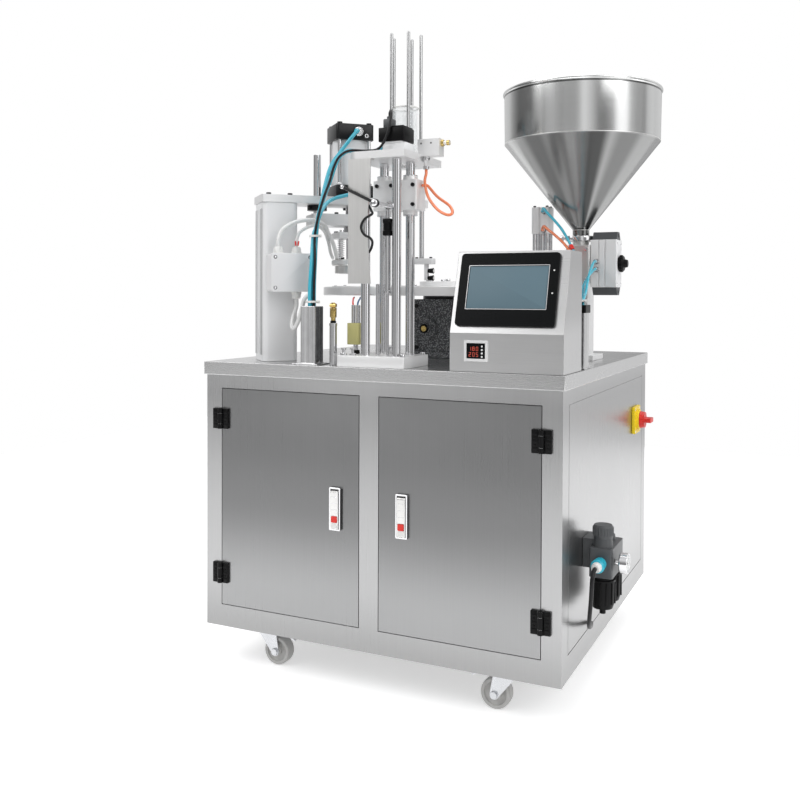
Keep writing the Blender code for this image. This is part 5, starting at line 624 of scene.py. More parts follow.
def prism(outline: Sequence[tuple[float, float]], low: float, high: float, axis: str = "z") -> Shell:
    """Extrude an anticlockwise outline along an axis."""
    flat = np.array(outline, float)
    return loft(stacked([flat, flat], [low, high])[..., list(ORDER[axis])])


def bolt(base: Point, axis: Point, radius: float = 0.0045, height: float = 0.0045) -> Shell:
    """Make a socket head: circles up the outside, then hexagons down into the socket."""
    outer, inner = circle(24), hexagon(24)
    rings = [outer, outer, outer * 0.93, inner * 0.52, inner * 0.5]
    heights = [0, height * 0.86, height, height, height * 0.45]
    return loft(stacked(np.array(rings) * radius, heights)).moved(towards(base, axis, 0.3))


def nut(base: Point, axis: Point, flats: float, height: float) -> Shell:
    """Make a hexagon nut or bolt head, its top corners cut back to a circle."""
    six, one = hexagon(36) * flats, circle(36) * flats
    rings = [six, six, one * 1.02, one * 0.5]
    return loft(stacked(rings, [0, height * 0.82, height, height])).moved(towards(base, axis, 0.2))


def domed(base: Point, axis: Point, radius: float, height: float) -> Shell:
    """Make a pan head or button: a circle that shrinks with the cosine as it rises with the sine."""
    turn = np.linspace(0, math.pi / 2 * 0.96, 5)
    profile = [(radius, 0), *zip(radius * np.cos(turn), height * (0.3 + 0.7 * np.sin(turn)))]
    return turned(profile, 24, base=base, axis=axis)


def smooth(points: Sequence[Point], count: int) -> np.ndarray:
    """Draw a Catmull-Rom curve through points, then space it evenly along its length.

    Args:
        points: Where the line passes.
        count: Points of the finished line.

    Returns:
        Array of count by 3.
    """
    knots = np.array(points, float)
    ends = np.vstack([2 * knots[0] - knots[1], knots, 2 * knots[-1] - knots[-2]])
    share = np.linspace(0, 1, CURVE_STEPS, endpoint=False)[:, None, None]
    first, second, third, fourth = ends[:-3], ends[1:-2], ends[2:-1], ends[3:]
    line = 0.5 * (2 * second + (third - first) * share
                  + (2 * first - 5 * second + 4 * third - fourth) * share ** 2
                  + (3 * second - first - 3 * third + fourth) * share ** 3)
    line = np.vstack([line.transpose(1, 0, 2).reshape(-1, 3), knots[-1:]])
    run = np.concatenate([[0], np.cumsum(np.linalg.norm(np.diff(line, axis=0), axis=1))])
    even = np.linspace(0, run[-1], count)
    return np.stack([np.interp(even, run, line[:, index]) for index in range(3)], axis=-1)


def unit(rows: np.ndarray) -> np.ndarray:
    """Give each row the length 1."""
    return rows / np.linalg.norm(rows, axis=1, keepdims=True)


def piped(line: np.ndarray, first: np.ndarray, second: np.ndarray, radius: float, sides: int) -> Shell:
    """Set a circle on each point of a line, in the plane of that point's two normals."""
    spots = circle(sides)[None] * radius
    return loft(line[:, None] + spots[..., :1] * first[:, None] + spots[..., 1:] * second[:, None])


def swept(line: np.ndarray, radius: float) -> Shell:
    """Carry a circle along a line.

    At each point the tangent t is the unit gradient of the line, the first normal is a fixed axis
    less its part along t, and the second is t cross the first.
    """
    tangent = unit(np.gradient(line, axis=0))
    fixed = np.eye(3)[np.argmin(np.abs(tangent).max(axis=0))]
    first = unit(fixed - tangent * (tangent @ fixed)[:, None])
    return piped(line, first, np.cross(tangent, first), radius, HOSE_SIDES)


def coil(base: Point, radius: float, wire: float, height: float, turns: float) -> Shell:
    """Wind a spring: its line goes round by turns while it rises by height."""
    share = np.linspace(0, 1, int(turns * TURN_STEPS) + 1)
    angle = share * turns * math.tau
    out = np.stack([np.cos(angle), np.sin(angle), np.zeros_like(angle)], axis=-1)
    line = out * radius
    line[:, 2] = wire + share * (height - 2 * wire)
    side = np.cross(unit(np.gradient(line, axis=0)), out)
    return piped(line, out, side, wire, WIRE_SIDES).moved(towards(base))


def around(centre: Point, radius: float, count: int, lead: float = 0.0, first: int = 0,
           second: int = 1) -> list[tuple[float, Vector]]:
    """Step round a circle.

    Args:
        centre: Its middle.
        radius: Its radius.
        count: Steps in a whole turn.
        lead: The share of a step by which all are turned.
        first: The axis at angle 0.
        second: The axis at a right angle.

    Returns:
        The angle and the spot of each step.
    """
    steps = []
    for step in range(count):
        angle = math.tau * (step + lead) / count
        reach = Vector()
        reach[first], reach[second] = math.cos(angle) * radius, math.sin(angle) * radius
        steps.append((angle, Vector(centre) + reach))
    return steps


def four(x: float, y: float, across: float, along: float) -> list[tuple[float, float]]:
    """Give the corners of a rectangle from its middle and its half sides."""
    return [(x + a * across, y + b * along) for a in (-1, 1) for b in (-1, 1)]


# Pieces


class Corner:
    """The cabinet's frame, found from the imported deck."""

    low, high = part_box("deck_lid")
    shift = Vector((low.x + DECK_OVERHANG, low.y + DECK_OVERHANG, high.z - DECK_TOP))

    @classmethod
    def box(cls, node: str) -> tuple[Vector, Vector]:
        """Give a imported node's box in the cabinet's frame."""
        low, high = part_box(node)
        return low - cls.shift, high - cls.shift

    @classmethod
    def middle(cls, node: str) -> Vector:
        """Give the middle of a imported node."""
        low, high = cls.box(node)
        return (low + high) / 2


BODY_OF = {node: body for body, nodes in frame["record"]["behaviour"]["bodies"].items() for node in nodes}


def linked(name: str, data: bpy.types.ID) -> bpy.types.Object:
    """Put a new object into the scene."""
    thing = bpy.data.objects.new(name, data)
    bpy.context.scene.collection.objects.link(thing)
    return thing


@dataclass(frozen=True)
class Bend:
    """A hose's free length between the machine and a moving body: the body, and the points where it starts
    and ends.
    """

    body: str
    start: Point
    end: Point


@dataclass
class Assembly:
    """A sub-assembly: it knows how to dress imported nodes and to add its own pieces."""

    made: list[bpy.types.Object] = field(default_factory=list, init=False)

    def piece(self, name: str, shells: Shell | Iterable[Shell], look: Look, body: str = MACHINE,
              instead: Sequence[str] = (), bevel: float = 0.0, bend: Bend | None = None) -> None:
        """Join surfaces into one piece of the machine.

        Args:
            name: The piece's name.
            shells: Its surfaces, in the cabinet's frame.
            look: Its finish.
            body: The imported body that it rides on.
            instead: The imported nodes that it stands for.
            bevel: The width of the easing of its edges.
            bend: Where it bends between the machine and a moving body, if it does.
        """
        shells = [shells] if isinstance(shells, Shell) else list(shells)
        starts = np.cumsum([0] + [len(shell.points) for shell in shells])
        points = np.vstack([shell.points for shell in shells]) + np.array(Corner.shift)
        faces = [tuple(int(index + start) for index in face)
                 for shell, start in zip(shells, starts) for face in shell.faces]
        mesh = bpy.data.meshes.new(name)
        mesh.from_pydata(points.tolist(), [], faces)
        self._finish(linked(name, mesh), look, body, instead, bevel, bend)

    def dressed(self, node: str, look: Look, bevel: float) -> None:
        """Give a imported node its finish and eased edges, as a merged copy that stands for it."""
        mesh = frame["nodes"][node].data.copy()
        builder = bmesh.new()
        builder.from_mesh(mesh)
        bmesh.ops.remove_doubles(builder, verts=builder.verts, dist=WELD)
        bmesh.ops.dissolve_limit(builder, angle_limit=FLAT, verts=builder.verts, edges=builder.edges)
        vectors = builder.loops.layers.float_vector
        for attribute in list(vectors.keys()):
            vectors.remove(vectors[attribute])
        clean = bpy.data.meshes.new(f"{node}_shown")
        builder.to_mesh(clean)
        builder.free()
        bpy.data.meshes.remove(mesh)
        self._finish(linked(clean.name, clean), look, BODY_OF[node], (node,), bevel)

    def _finish(self, thing: bpy.types.Object, look: Look, body: str, instead: Sequence[str],
                bevel: float, bend: Bend | None = None) -> None:
        """Smooth, ease, paint and hang one piece on its body."""
        mesh = thing.data
        mesh.materials.clear()
        mesh.materials.append(look.value.material())
        mesh.shade_smooth()
        mesh.set_sharp_from_angle(angle=SHARP)
        if bevel:
            ease = thing.modifiers.new("ease", "BEVEL")
            ease.width, ease.segments = bevel, 2
            ease.limit_method, ease.angle_limit = "ANGLE", SHARP
            even = thing.modifiers.new("even", "WEIGHTED_NORMAL")
            even.mode, even.weight, even.keep_sharp = "FACE_AREA", 90, True
        if bend:
            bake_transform(thing)
        else:
            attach(thing, body)
        if instead:
            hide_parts(*instead)
        self.made.append(thing)
        LOG.info("%s: %s faces", thing.name, len(mesh.polygons))

    def make(self) -> None:
        """Build the sub-assembly's pieces."""
        raise NotImplementedError


@dataclass
class Cabinet(Assembly):
    """The brushed cabinet, its deck, the doors with their hinges and latches."""

    knuckle: float = 0.0059
    leaf_reach: float = 0.0195
    leaf_front: float = 0.0057
    hinge_height: float = 0.0444
    hinge_middles: tuple[float, float] = (0.118, 0.455)
    seam: float = 0.039
    axis_out: float = 0.006
    latch_wall: float = 0.0032
    latch_gap: float = 0.0006
    latch_height: float = 0.088

    def hinge(self, seam: float, way: int, middle: float, on_door: bool) -> list[Shell]:
        """Shape one black leaf with its knuckles, ribs and screws.

        Args:
            seam: The x of the pin.
            way: 1 where the door lies to the right of it.
            middle: The hinge's middle height.
            on_door: Whether the leaf is the door's.

        Returns:
            The surfaces.
        """
        side = way if on_door else -way
        half, front = self.hinge_height / 2, -self.leaf_front
        inner, outer = seam + side * (self.knuckle + 0.0001), seam + side * self.leaf_reach
        shells = [slab((inner, front, middle - half), (outer, 0.0003, middle + half), 0.0015, 0.0008, "y")]
        for low, high in [(-half / 2, half / 2)] if on_door else [(-half, -half / 2), (half / 2, half)]:
            bottom, top = middle + low, middle + high
            shells += [post(seam, -self.axis_out, bottom + 0.0002, top - 0.0002, self.knuckle),
                       slab((seam, front, bottom), (inner + side * 0.001, -0.0004, top), 0.0004, 0.0003)]
        for share in (-0.6, 0, 0.6):
            z = middle + half * share
            shells.append(slab((inner + side * 0.002, front - 0.0009, z - 0.0022),
                               (outer - side * 0.002, front + 0.001, z + 0.0022), 0.001, 0.0004, "y"))
            if share:
                shells.append(domed(((inner + outer) / 2, front, middle + half * share * 0.5), FORWARD,
                                    0.0026, 0.0013))
        return shells

    def latch(self, side: str) -> None:
        """Dress one latch: bright frame, ribbed lever, red button and its pale lower plate."""
        body = f"{side}_latch_lever"
        low, high = Corner.box(body)
        button_low, button_high = Corner.box(f"{side}_latch_button")
        reach = self.latch_gap + self.latch_wall
        x_low, x_high, z_low = low.x - reach, high.x + reach, low.z - reach
        rim = frame_of((x_low - 0.0003, -0.0063, z_low - 0.0003),
                       (x_high + 0.0003, -0.0005, z_low + self.latch_height + 0.0003), self.latch_wall)
        self.piece(f"{side}_latch_frame", rim, Look.CHROME, f"{side}_door", bevel=0.0006)
        self.dressed(body, Look.BRUSHED, 0.0005)
        self.dressed(f"{side}_latch_button", Look.RED, 0.0004)
        ribs = [slab((low.x + 0.002, low.y - 0.0006, z - 0.0006), (high.x - 0.002, low.y + 0.001, z + 0.0006),
                     0.0005, 0.0003, "y")
                for z in (button_high.z + (high.z - button_high.z) * share for share in (0.25, 0.5, 0.75))]
        self.piece(f"{side}_latch_ribs", ribs, Look.CHROME, body)
        pale = slab((low.x + 0.0015, low.y - 0.0005, low.z + 0.0015),
                    (high.x - 0.0015, low.y + 0.001, button_low.z - 0.0015), 0.001, 0.0003, "y")
        self.piece(f"{side}_latch_plate", pale, Look.TIE, body)

    def make(self) -> None:
        """Dress the cabinet, its deck and both doors."""
        self.dressed("cabinet_body", Look.CABINET, 0.0012)
        self.dressed("deck_lid", Look.DECK, 0.0015)
        fixed = []
        for side, way, seam in (("left", 1, self.seam), ("right", -1, CABINET_WIDTH - self.seam)):
            self.dressed(f"{side}_door", Look.DOOR, 0.0010)
            leaves = []
            for middle in self.hinge_middles:
                leaves += self.hinge(seam, way, middle, on_door=True)
                fixed += self.hinge(seam, way, middle, on_door=False)
            self.piece(f"{side}_door_hinge_leaves", leaves, Look.BLACK, f"{side}_door")
            self.latch(side)
        self.piece("frame_hinge_leaves", fixed, Look.BLACK)


@dataclass
class Castors(Assembly):
    """Four swivel castors in zinc and white nylon, with brake pedals at the front."""

    inset: float = 0.125
    plate: tuple[float, float] = (0.0745, 0.0625)
    plate_bottom: float = -0.0032
    bolt_inset: float = 0.009
    race_radius: float = 0.0228
    wheel_radius: float = 0.0309

    def wheel(self, name: str) -> None:
        """Turn a nylon wheel: crowned tread, raised rim, dished web and hub."""
        low, high = Corner.box(name)
        outer, half = self.wheel_radius, (high.y - low.y) / 2
        face = [(0.0044, half), (0.0098, half), (0.0112, half - 0.0015), (0.0118, 0.0075), (0.0140, 0.0068),
                (0.0200, 0.0074), (0.0222, 0.0090), (0.0232, 0.0125), (0.0245, 0.0132),
                (outer - 0.003, 0.0132), (outer - 0.0012, 0.0121), (outer - 0.0003, 0.0095), (outer, 0.004)]
        profile = [(radius, -height) for radius, height in face] + face[::-1]
        self.piece(name.replace("castor_wheel", "wheel_shown"),
                   turned(profile, 64, True, (low + high) / 2, (0, 1, 0)), Look.NYLON, name, (name,))

    def make(self) -> None:
        """Dress the castors and add their plates, races, nuts and bolts."""
        plates, fasteners = [], []
        wide, deep = self.plate[0] / 2, self.plate[1] / 2
        for name in ("front_left", "front_right", "rear_left", "rear_right"):
            fork = f"{name}_castor_fork"
            self.dressed(fork, Look.ZINC, 0.0008)
            self.wheel(f"{name}_castor_wheel")
            low, high = Corner.box(fork)
            axle = Corner.middle(f"{name}_castor_wheel")
            x, y = self.inset if "left" in name else CABINET_WIDTH - self.inset, axle.y
            plates.append(slab((x - wide, y - deep, self.plate_bottom), (x + wide, y + deep, -0.0002), 0.006))
            fasteners += [nut((*spot, self.plate_bottom), DOWN, 0.005, 0.004)
                          for spot in four(x, y, wide - self.bolt_inset, deep - self.bolt_inset)]
            race = [sleeve((x, y, high.z - 0.0095), UP, 0.010, self.race_radius, 0.0040),
                    sleeve((x, y, high.z - 0.0048), UP, 0.010, self.race_radius + 0.001, 0.0044),
                    nut((x, y, high.z - 0.0140), DOWN, 0.0075, 0.005)]
            for way, edge in ((-1, low.y), (1, high.y)):
                race += [nut((axle.x, edge - way * 0.0039, axle.z), (0, way, 0), 0.0068, 0.0048),
                         sleeve((axle.x, edge - way * 0.0058, axle.z), (0, way, 0), 0.003, 0.0088, 0.0012)]
            self.piece(f"{name}_castor_race", race, Look.ZINC, fork)
            if name.startswith("front"):
                self.dressed(f"{name}_brake_pedal", Look.ZINC, 0.0006)
        self.piece("castor_plates", plates, Look.ZINC)
        self.piece("castor_plate_bolts", fasteners, Look.ZINC)


@dataclass
class Console(Assembly):
    """The sloped operator console with its touch panel and its temperature controller."""

    centre: float = 0.684
    upright: float = 0.075
    slope_depth: float = 0.047
    height: float = 0.233
    screen: tuple[float, float] = (0.160, 0.087)
    screen_up: float = 0.090
    segment: float = 0.0036
    figures: tuple[tuple[float, tuple[int, ...]], ...] = ((0.0205, (1, 8, 0)), (0.0095, (2, 0, 5)))

    def slope(self) -> Matrix:
        """Give the frame of the sloped face: x right, y up the slope, z out of it."""
        up, right = Vector((0, self.slope_depth, self.height - self.upright)).normalized(), Vector(RIGHT)
        turn = Matrix((right, up, right.cross(up))).transposed().to_4x4()
        return Matrix.Translation((self.centre, 0, DECK_TOP + self.upright)) @ turn

    def digit(self, value: int, x: float, z: float, y: float) -> list[Shell]:
        """Draw one seven segment figure: a bar for each lit segment.

        Args:
            value: The figure.
            x: Its left side.
            z: Its foot.
            y: The face that it lies on.

        Returns:
            The bars.
        """
        bars = {"a": (0, 2, 1, 0), "d": (0, 0, 1, 0), "g": (0, 1, 1, 0), "f": (0, 1, 0, 1), "e": (0, 0, 0, 1),
                "b": (1, 1, 0, 1), "c": (1, 0, 0, 1)}
        size, wide, shells = self.segment, self.segment * 0.2, []
        for name in {0: "abcdef", 1: "bc", 2: "abged", 5: "afgcd", 8: "abcdefg"}[value]:
            column, row, flat, tall = bars[name]
            low = (x + column * size - wide / 2 * tall, y - 0.0002, z + row * size - wide / 2 * flat)
            high = (low[0] + (size if flat else wide), y, low[2] + (size if tall else wide))
            shells.append(slab(low, high, 0.0001, 0.00005, "y"))
        return shells

    def controller(self) -> None:
        """Dress the temperature controller: dark face, two rows of red figures and four keys."""
        self.dressed("temperature_controller", Look.ALLOY, 0.0005)
        low, high = Corner.box("temperature_controller")
        y, inset = low.y + 0.0008, 0.0053
        dark = slab((low.x + inset, y, low.z + inset), (high.x - inset, y + 0.0006, high.z - inset),
                    0.0015, 0.0001, "y")
        self.piece("controller_face", dark, Look.GLOSS_BLACK)
        bars = [bar for row, number in self.figures for place, value in enumerate(number)
                for bar in self.digit(value, low.x + 0.0105 + place * 0.0072, low.z + row, y)]
        self.piece("controller_figures", bars, Look.DIGITS)
        keys = [domed((high.x - 0.0115, y, low.z + 0.009 + 0.0066 * step), FORWARD, 0.0019, 0.0009)
                for step in range(4)]
        self.piece("controller_keys", keys, Look.ALLOY)

    def make(self) -> None:
        """Dress the console and add the screen, its bright line and its two lamps."""
        self.dressed("console_box", Look.CONSOLE, 0.0022)
        self.dressed("touch_panel", Look.GLOSS_BLACK, 0.0010)
        slope, middle = self.slope(), self.screen_up
        wide, tall = self.screen[0] / 2, self.screen[1] / 2
        glass = slab((0.0012 - wide, middle - tall + 0.0012, 0.0040),
                     (wide - 0.0012, middle + tall - 0.0012, 0.0049), 0.0006, 0.0002)
        self.piece("touch_screen", glass.moved(slope), Look.SCREEN)
        line = frame_of((-wide - 0.0008, middle - tall - 0.0008, 0.0045),
                        (wide + 0.0008, middle + tall + 0.0008, 0.0063), 0.0012, "z", 0.0012)
        self.piece("screen_rim", line.moved(slope), Look.CHROME)
        lamps = [domed((0.0895, middle + up, 0.0059), UP, 0.0016, 0.0006).moved(slope)
                 for up in (0.033, -0.012)]
        self.piece("panel_lamps", lamps, Look.TIE)
        self.controller()


@dataclass
class SideGear(Assembly):
    """The isolator and the air service set on the cabinet's right side."""

    bowl_pitch: float = 0.056
    body_height: float = 0.0743
    knob_ribs: int = 22
    sleeve_ribs: int = 20
    bowl_bars: int = 12
    ticks: int = 20

    def isolator(self) -> None:
        """Dress the isolator: yellow plate with its screws and stop ring, red handle."""
        self.dressed("isolator_plate", Look.YELLOW, 0.0012)
        self.dressed("isolator_handle", Look.RED, 0.0014)
        x = Corner.box("isolator_plate")[0].x
        centre = Corner.middle("isolator_plate")
        ring = sleeve((x + 0.0075, centre.y, centre.z), RIGHT, 0.0245, 0.0275, 0.0022)
        self.piece("isolator_ring", ring, Look.YELLOW)
        self.piece("isolator_screws", [domed((x + 0.0078, *spot), RIGHT, 0.0026, 0.0012)
                                       for spot in four(centre.y, centre.z, 0.0265, 0.0265)], Look.CHROME)

    def bowl(self, x: float, y: float, top: float) -> list[Shell]:
        """Mould one slotted bowl guard: a turned cup, with bars round it like a cage."""
        cup = turned([(0.006, -0.0745), (0.0062, -0.0665), (0.0195, -0.0625), (0.0237, -0.050),
                      (0.0241, -0.006), (0.0205, -0.0055), (0.0200, 0.0005)], 56, base=(x, y, top))
        bar = slab((-0.0018, -0.0255, top - 0.052), (0.0018, -0.023, top - 0.010), 0.001, 0.0006)
        spins = (angle for angle, _ in around((x, y, 0), 0, self.bowl_bars))
        return [cup, *(bar.moved(towards((x, y, 0), spin=spin)) for spin in spins)]

    def gauge(self) -> None:
        """Dress the gauge: bright case, pale face with ticks, and a black pointer."""
        self.dressed("pressure_gauge", Look.CHROME, 0.0006)
        y, z = Corner.middle("pressure_gauge").yz
        front = Corner.box("pressure_gauge")[1].x
        face = front - 0.0019
        self.piece("gauge_face", rod((face - 0.0006, y, z), (face, y, z), 0.0178, 0.0001), Look.DIAL_FACE)
        marks = []
        for step in range(self.ticks + 1):
            long = 0.0016 if step % 4 else 0.0030
            mark = slab((-0.00025, 0.0165 - long, 0), (0.00025, 0.0165, 0.0002), 0.0001, 0.00005)
            spin = math.radians(135 - 270 * step / self.ticks)
            marks.append(mark.moved(towards((face, y, z), RIGHT, spin)))
        needle = slab((-0.0005, -0.004, 0.0003), (0.0005, 0.0125, 0.0006), 0.0002, 0.0001)
        marks += [needle.moved(towards((face, y, z), RIGHT, 0.7)),
                  rod((face, y, z), (face + 0.001, y, z), 0.0020)]
        self.piece("gauge_marks", marks, Look.BLACK)
        glass = rod((front - 0.0009, y, z), (front - 0.0004, y, z), 0.0179, 0.0001)
        self.piece("gauge_glass", glass, Look.CLEAR)

    def coupler(self, x: float) -> None:
        """Turn the inlet's ribbed sleeve and its white nut."""
        low, high = Corner.box("inlet_coupler")
        port = Vector((x, high.y, (low.z + high.z) / 2))
        profile = [(0.0121, -0.0001), (0.0123, 0.004), (0.0118, 0.0122), (0.0105, 0.0125), (0.0105, 0.0145),
                   (0.0129, 0.0155), (0.0129, 0.0245), (0.0108, 0.0270)]
        collar = [turned(profile, base=port, axis=FORWARD)]
        collar += [rod(spot - Vector((0, 0.016, 0)), spot - Vector((0, 0.024, 0)), 0.0007, sides=8)
                   for _, spot in around(port, 0.0129, self.sleeve_ribs, first=0, second=2)]
        self.piece("coupler_sleeve", collar, Look.TEAL, instead=("inlet_coupler",))
        white = turned([(0.0098, 0.0268), (0.0098, 0.0330), (0.0082, 0.0350), (0.0076, 0.0420),
                        (0.0062, 0.0424)], 36, base=port, axis=FORWARD)
        self.piece("coupler_nut", white, Look.TIE)

    def make(self) -> None:
        """Dress the isolator and the air set."""
        self.isolator()
        self.dressed("air_regulator_body", Look.DARK_GREY, 0.0010)
        foot = Corner.middle("regulator_knob")
        foot.z = Corner.box("regulator_knob")[0].z
        guards = []
        for y in (foot.y, foot.y + self.bowl_pitch):
            guards += self.bowl(foot.x, y, foot.z - self.body_height)
        self.piece("bowl_guards", guards, Look.BLACK)
        knob = [turned([(0.0085, -0.0001), (0.0184, -0.0001), (0.0196, 0.006), (0.0196, 0.0225),
                        (0.0170, 0.0262), (0.0100, 0.0264)], 48, base=foot)]
        knob += [post(spot.x, spot.y, spot.z + 0.006, spot.z + 0.022, 0.0011, sides=8)
                 for _, spot in around(foot, 0.0195, self.knob_ribs)]
        self.piece("regulator_knob_shown", knob, Look.DARK_GREY, "regulator_knob", ("regulator_knob",))
        self.gauge()
        self.coupler(foot.x)


@dataclass
class DialTable(Assembly):
    """The dial with its cup seats and screws, and the hammered index drive under it."""

    pitch_radius: float = 0.240
    screw_radius: float = 0.0455
    hub_radius: float = 0.045
    stations: int = 8
    plate_height: float = 0.020
    drive_half: float = 0.059
    drive_front: float = 0.062

    def dial(self) -> None:
        """Dress the dial and set its seats, clips and screws."""
        self.dressed("dial", Look.DIAL, 0.0012)
        low, high = Corner.box("dial")
        x, y = Corner.middle("dial").xy
        seats, screws, clips = [], [], []
        clip = slab((-0.004, 0.040, 0), (0.004, 0.0475, 0.0016), 0.002, 0.0004)
        for angle, spot in around((x, y, low.z + self.plate_height), self.pitch_radius, self.stations):
            seats.append(sleeve(spot - Vector((0, 0, 0.0049)), UP, 0.0362, 0.0408, 0.0062))
            for turn in range(3):
                way = angle + math.tau * (turn + 0.5) / 3
                place = spot + Vector((math.cos(way), math.sin(way), 0)) * self.screw_radius
                screws.append(bolt(place, UP, 0.0032, 0.0034))
                clips.append(clip.moved(towards(spot, spin=way - math.pi / 2)))
        screws += [bolt(spot, UP, 0.0055, 0.006) for _, spot in around((x, y, high.z), self.hub_radius, 6)]
        self.piece("dial_seats", seats, Look.NYLON, "dial")
        self.piece("dial_screws", screws, Look.CHROME, "dial")
        self.piece("dial_clips", clips, Look.CHROME, "dial")

    def make(self) -> None:
        """Dress the dial and the drive."""
        self.dial()
        self.dressed("index_drive", Look.CASTING, 0.0018)
        under = Corner.box("dial")[0].z
        low, high = Corner.box("index_drive")
        x, y = Corner.middle("dial").xy
        front, half = y - self.drive_front, self.drive_half
        side = front + 0.012
        flange = sleeve((x, y, under - 0.0083), UP, 0.050, 0.0535, 0.0078, 64)
        self.piece("drive_flange", flange, Look.BLACK_ALLOY)
        spots = [(x + a * 0.047, front, z) for a in (-1, 1) for z in (low.z + 0.024, high.z - 0.024)]
        spots += [(x + half + 0.022, side, z) for z in (low.z + 0.024, high.z - 0.036)]
        self.piece("drive_bolts", [bolt(spot, FORWARD, 0.0048, 0.004) for spot in spots], Look.BLACK_ALLOY)
        plate = slab((x + half + 0.0006, side - 0.0010, low.z + 0.002),
                     (high.x - 0.001, side + 0.0003, high.z - 0.014), 0.002, 0.0005)
        self.piece("drive_side_plate", plate, Look.DRIVE_PLATE)
        plug = Vector((x - half * 0.35, front - 0.018, (low.z + under - 0.008) / 2))
        self.piece("drive_plug_ring", sleeve(plug + Vector((0, 0.0002, 0)), FORWARD, 0.0066, 0.0110, 0.0014),
                   Look.BLACK)
        self.piece("drive_plug_screw", nut(plug, FORWARD, 0.0062, 0.0028), Look.BRASS)
        self.dressed("drive_motor", Look.CASTING, 0.0018)


@dataclass
class Hopper(Assembly):
    """The spun hopper with its rolled rim, weld lines and clamped outlet."""

    wall: float = 0.0016
    bead: float = 0.0045
    shell: float = 0.115
    cone: float = 0.194
    outlet_radius: float = 0.0185
    ferrule: float = 0.0255

    def make(self) -> None:
        """Turn the shell and add the welds and the band clamp."""
        low, high = Corner.box("hopper")
        x, y = Corner.middle("hopper").xy
        radius, foot = (high.x - low.x) / 2 - self.bead, low.z
        top, wall, neck = high.z - self.bead, self.wall, self.outlet_radius
        shoulder = high.z - self.shell
        outlet = shoulder - self.cone
        roll = [(radius + self.bead * math.cos(a), top + self.bead * math.sin(a))
                for a in np.radians(np.linspace(-70, 230, 12))]
        bend = [(radius - 0.0016 * (1 - math.cos(a)) - 0.0001, shoulder + 0.002 * math.sin(a) - 0.0008)
                for a in np.radians((-80, -40, 0))]
        outline = [(neck - wall, foot), (self.ferrule, foot), (self.ferrule, foot + 0.0035),
                   (neck, foot + 0.008), (neck, outlet), *bend, *roll, (radius - wall, top - self.bead),
                   (radius - wall, shoulder + 0.001), (neck - wall, outlet + 0.001)]
        self.piece("hopper_shell", turned(outline, 160, True, (x, y, 0)), Look.HOPPER, instead=("hopper",))
        welds = [sleeve((x, y, shoulder - 0.0012), UP, radius - 0.0005, radius + 0.0003, 0.0012, 160),
                 sleeve((x, y, outlet - 0.0012), UP, neck - 0.0005, neck + 0.0005, 0.0014, 64)]
        self.piece("hopper_welds", welds, Look.BRUSHED)
        band = turned([(0.0262, -0.0062), (0.0292, -0.0050), (0.0300, 0), (0.0292, 0.0050), (0.0262, 0.0062),
                       (0.0257, 0.0040), (0.0257, -0.0040)], 64, True, (x, y, foot))
        lug, half = Vector((x - 0.0215, y - 0.0235, foot)), Vector((0.006, 0.006, 0.006))
        clamp = [band, slab(lug - half, lug + half, 0.002, 0.0008),
                 rod(lug - Vector((0.014, 0.003, 0)), lug + Vector((0.012, -0.003, 0)), 0.003),
                 nut(lug - Vector((0.012, 0.003, 0)), (-1, 0, 0), 0.0062, 0.006)]
        self.piece("outlet_clamp", clamp, Look.CHROME)


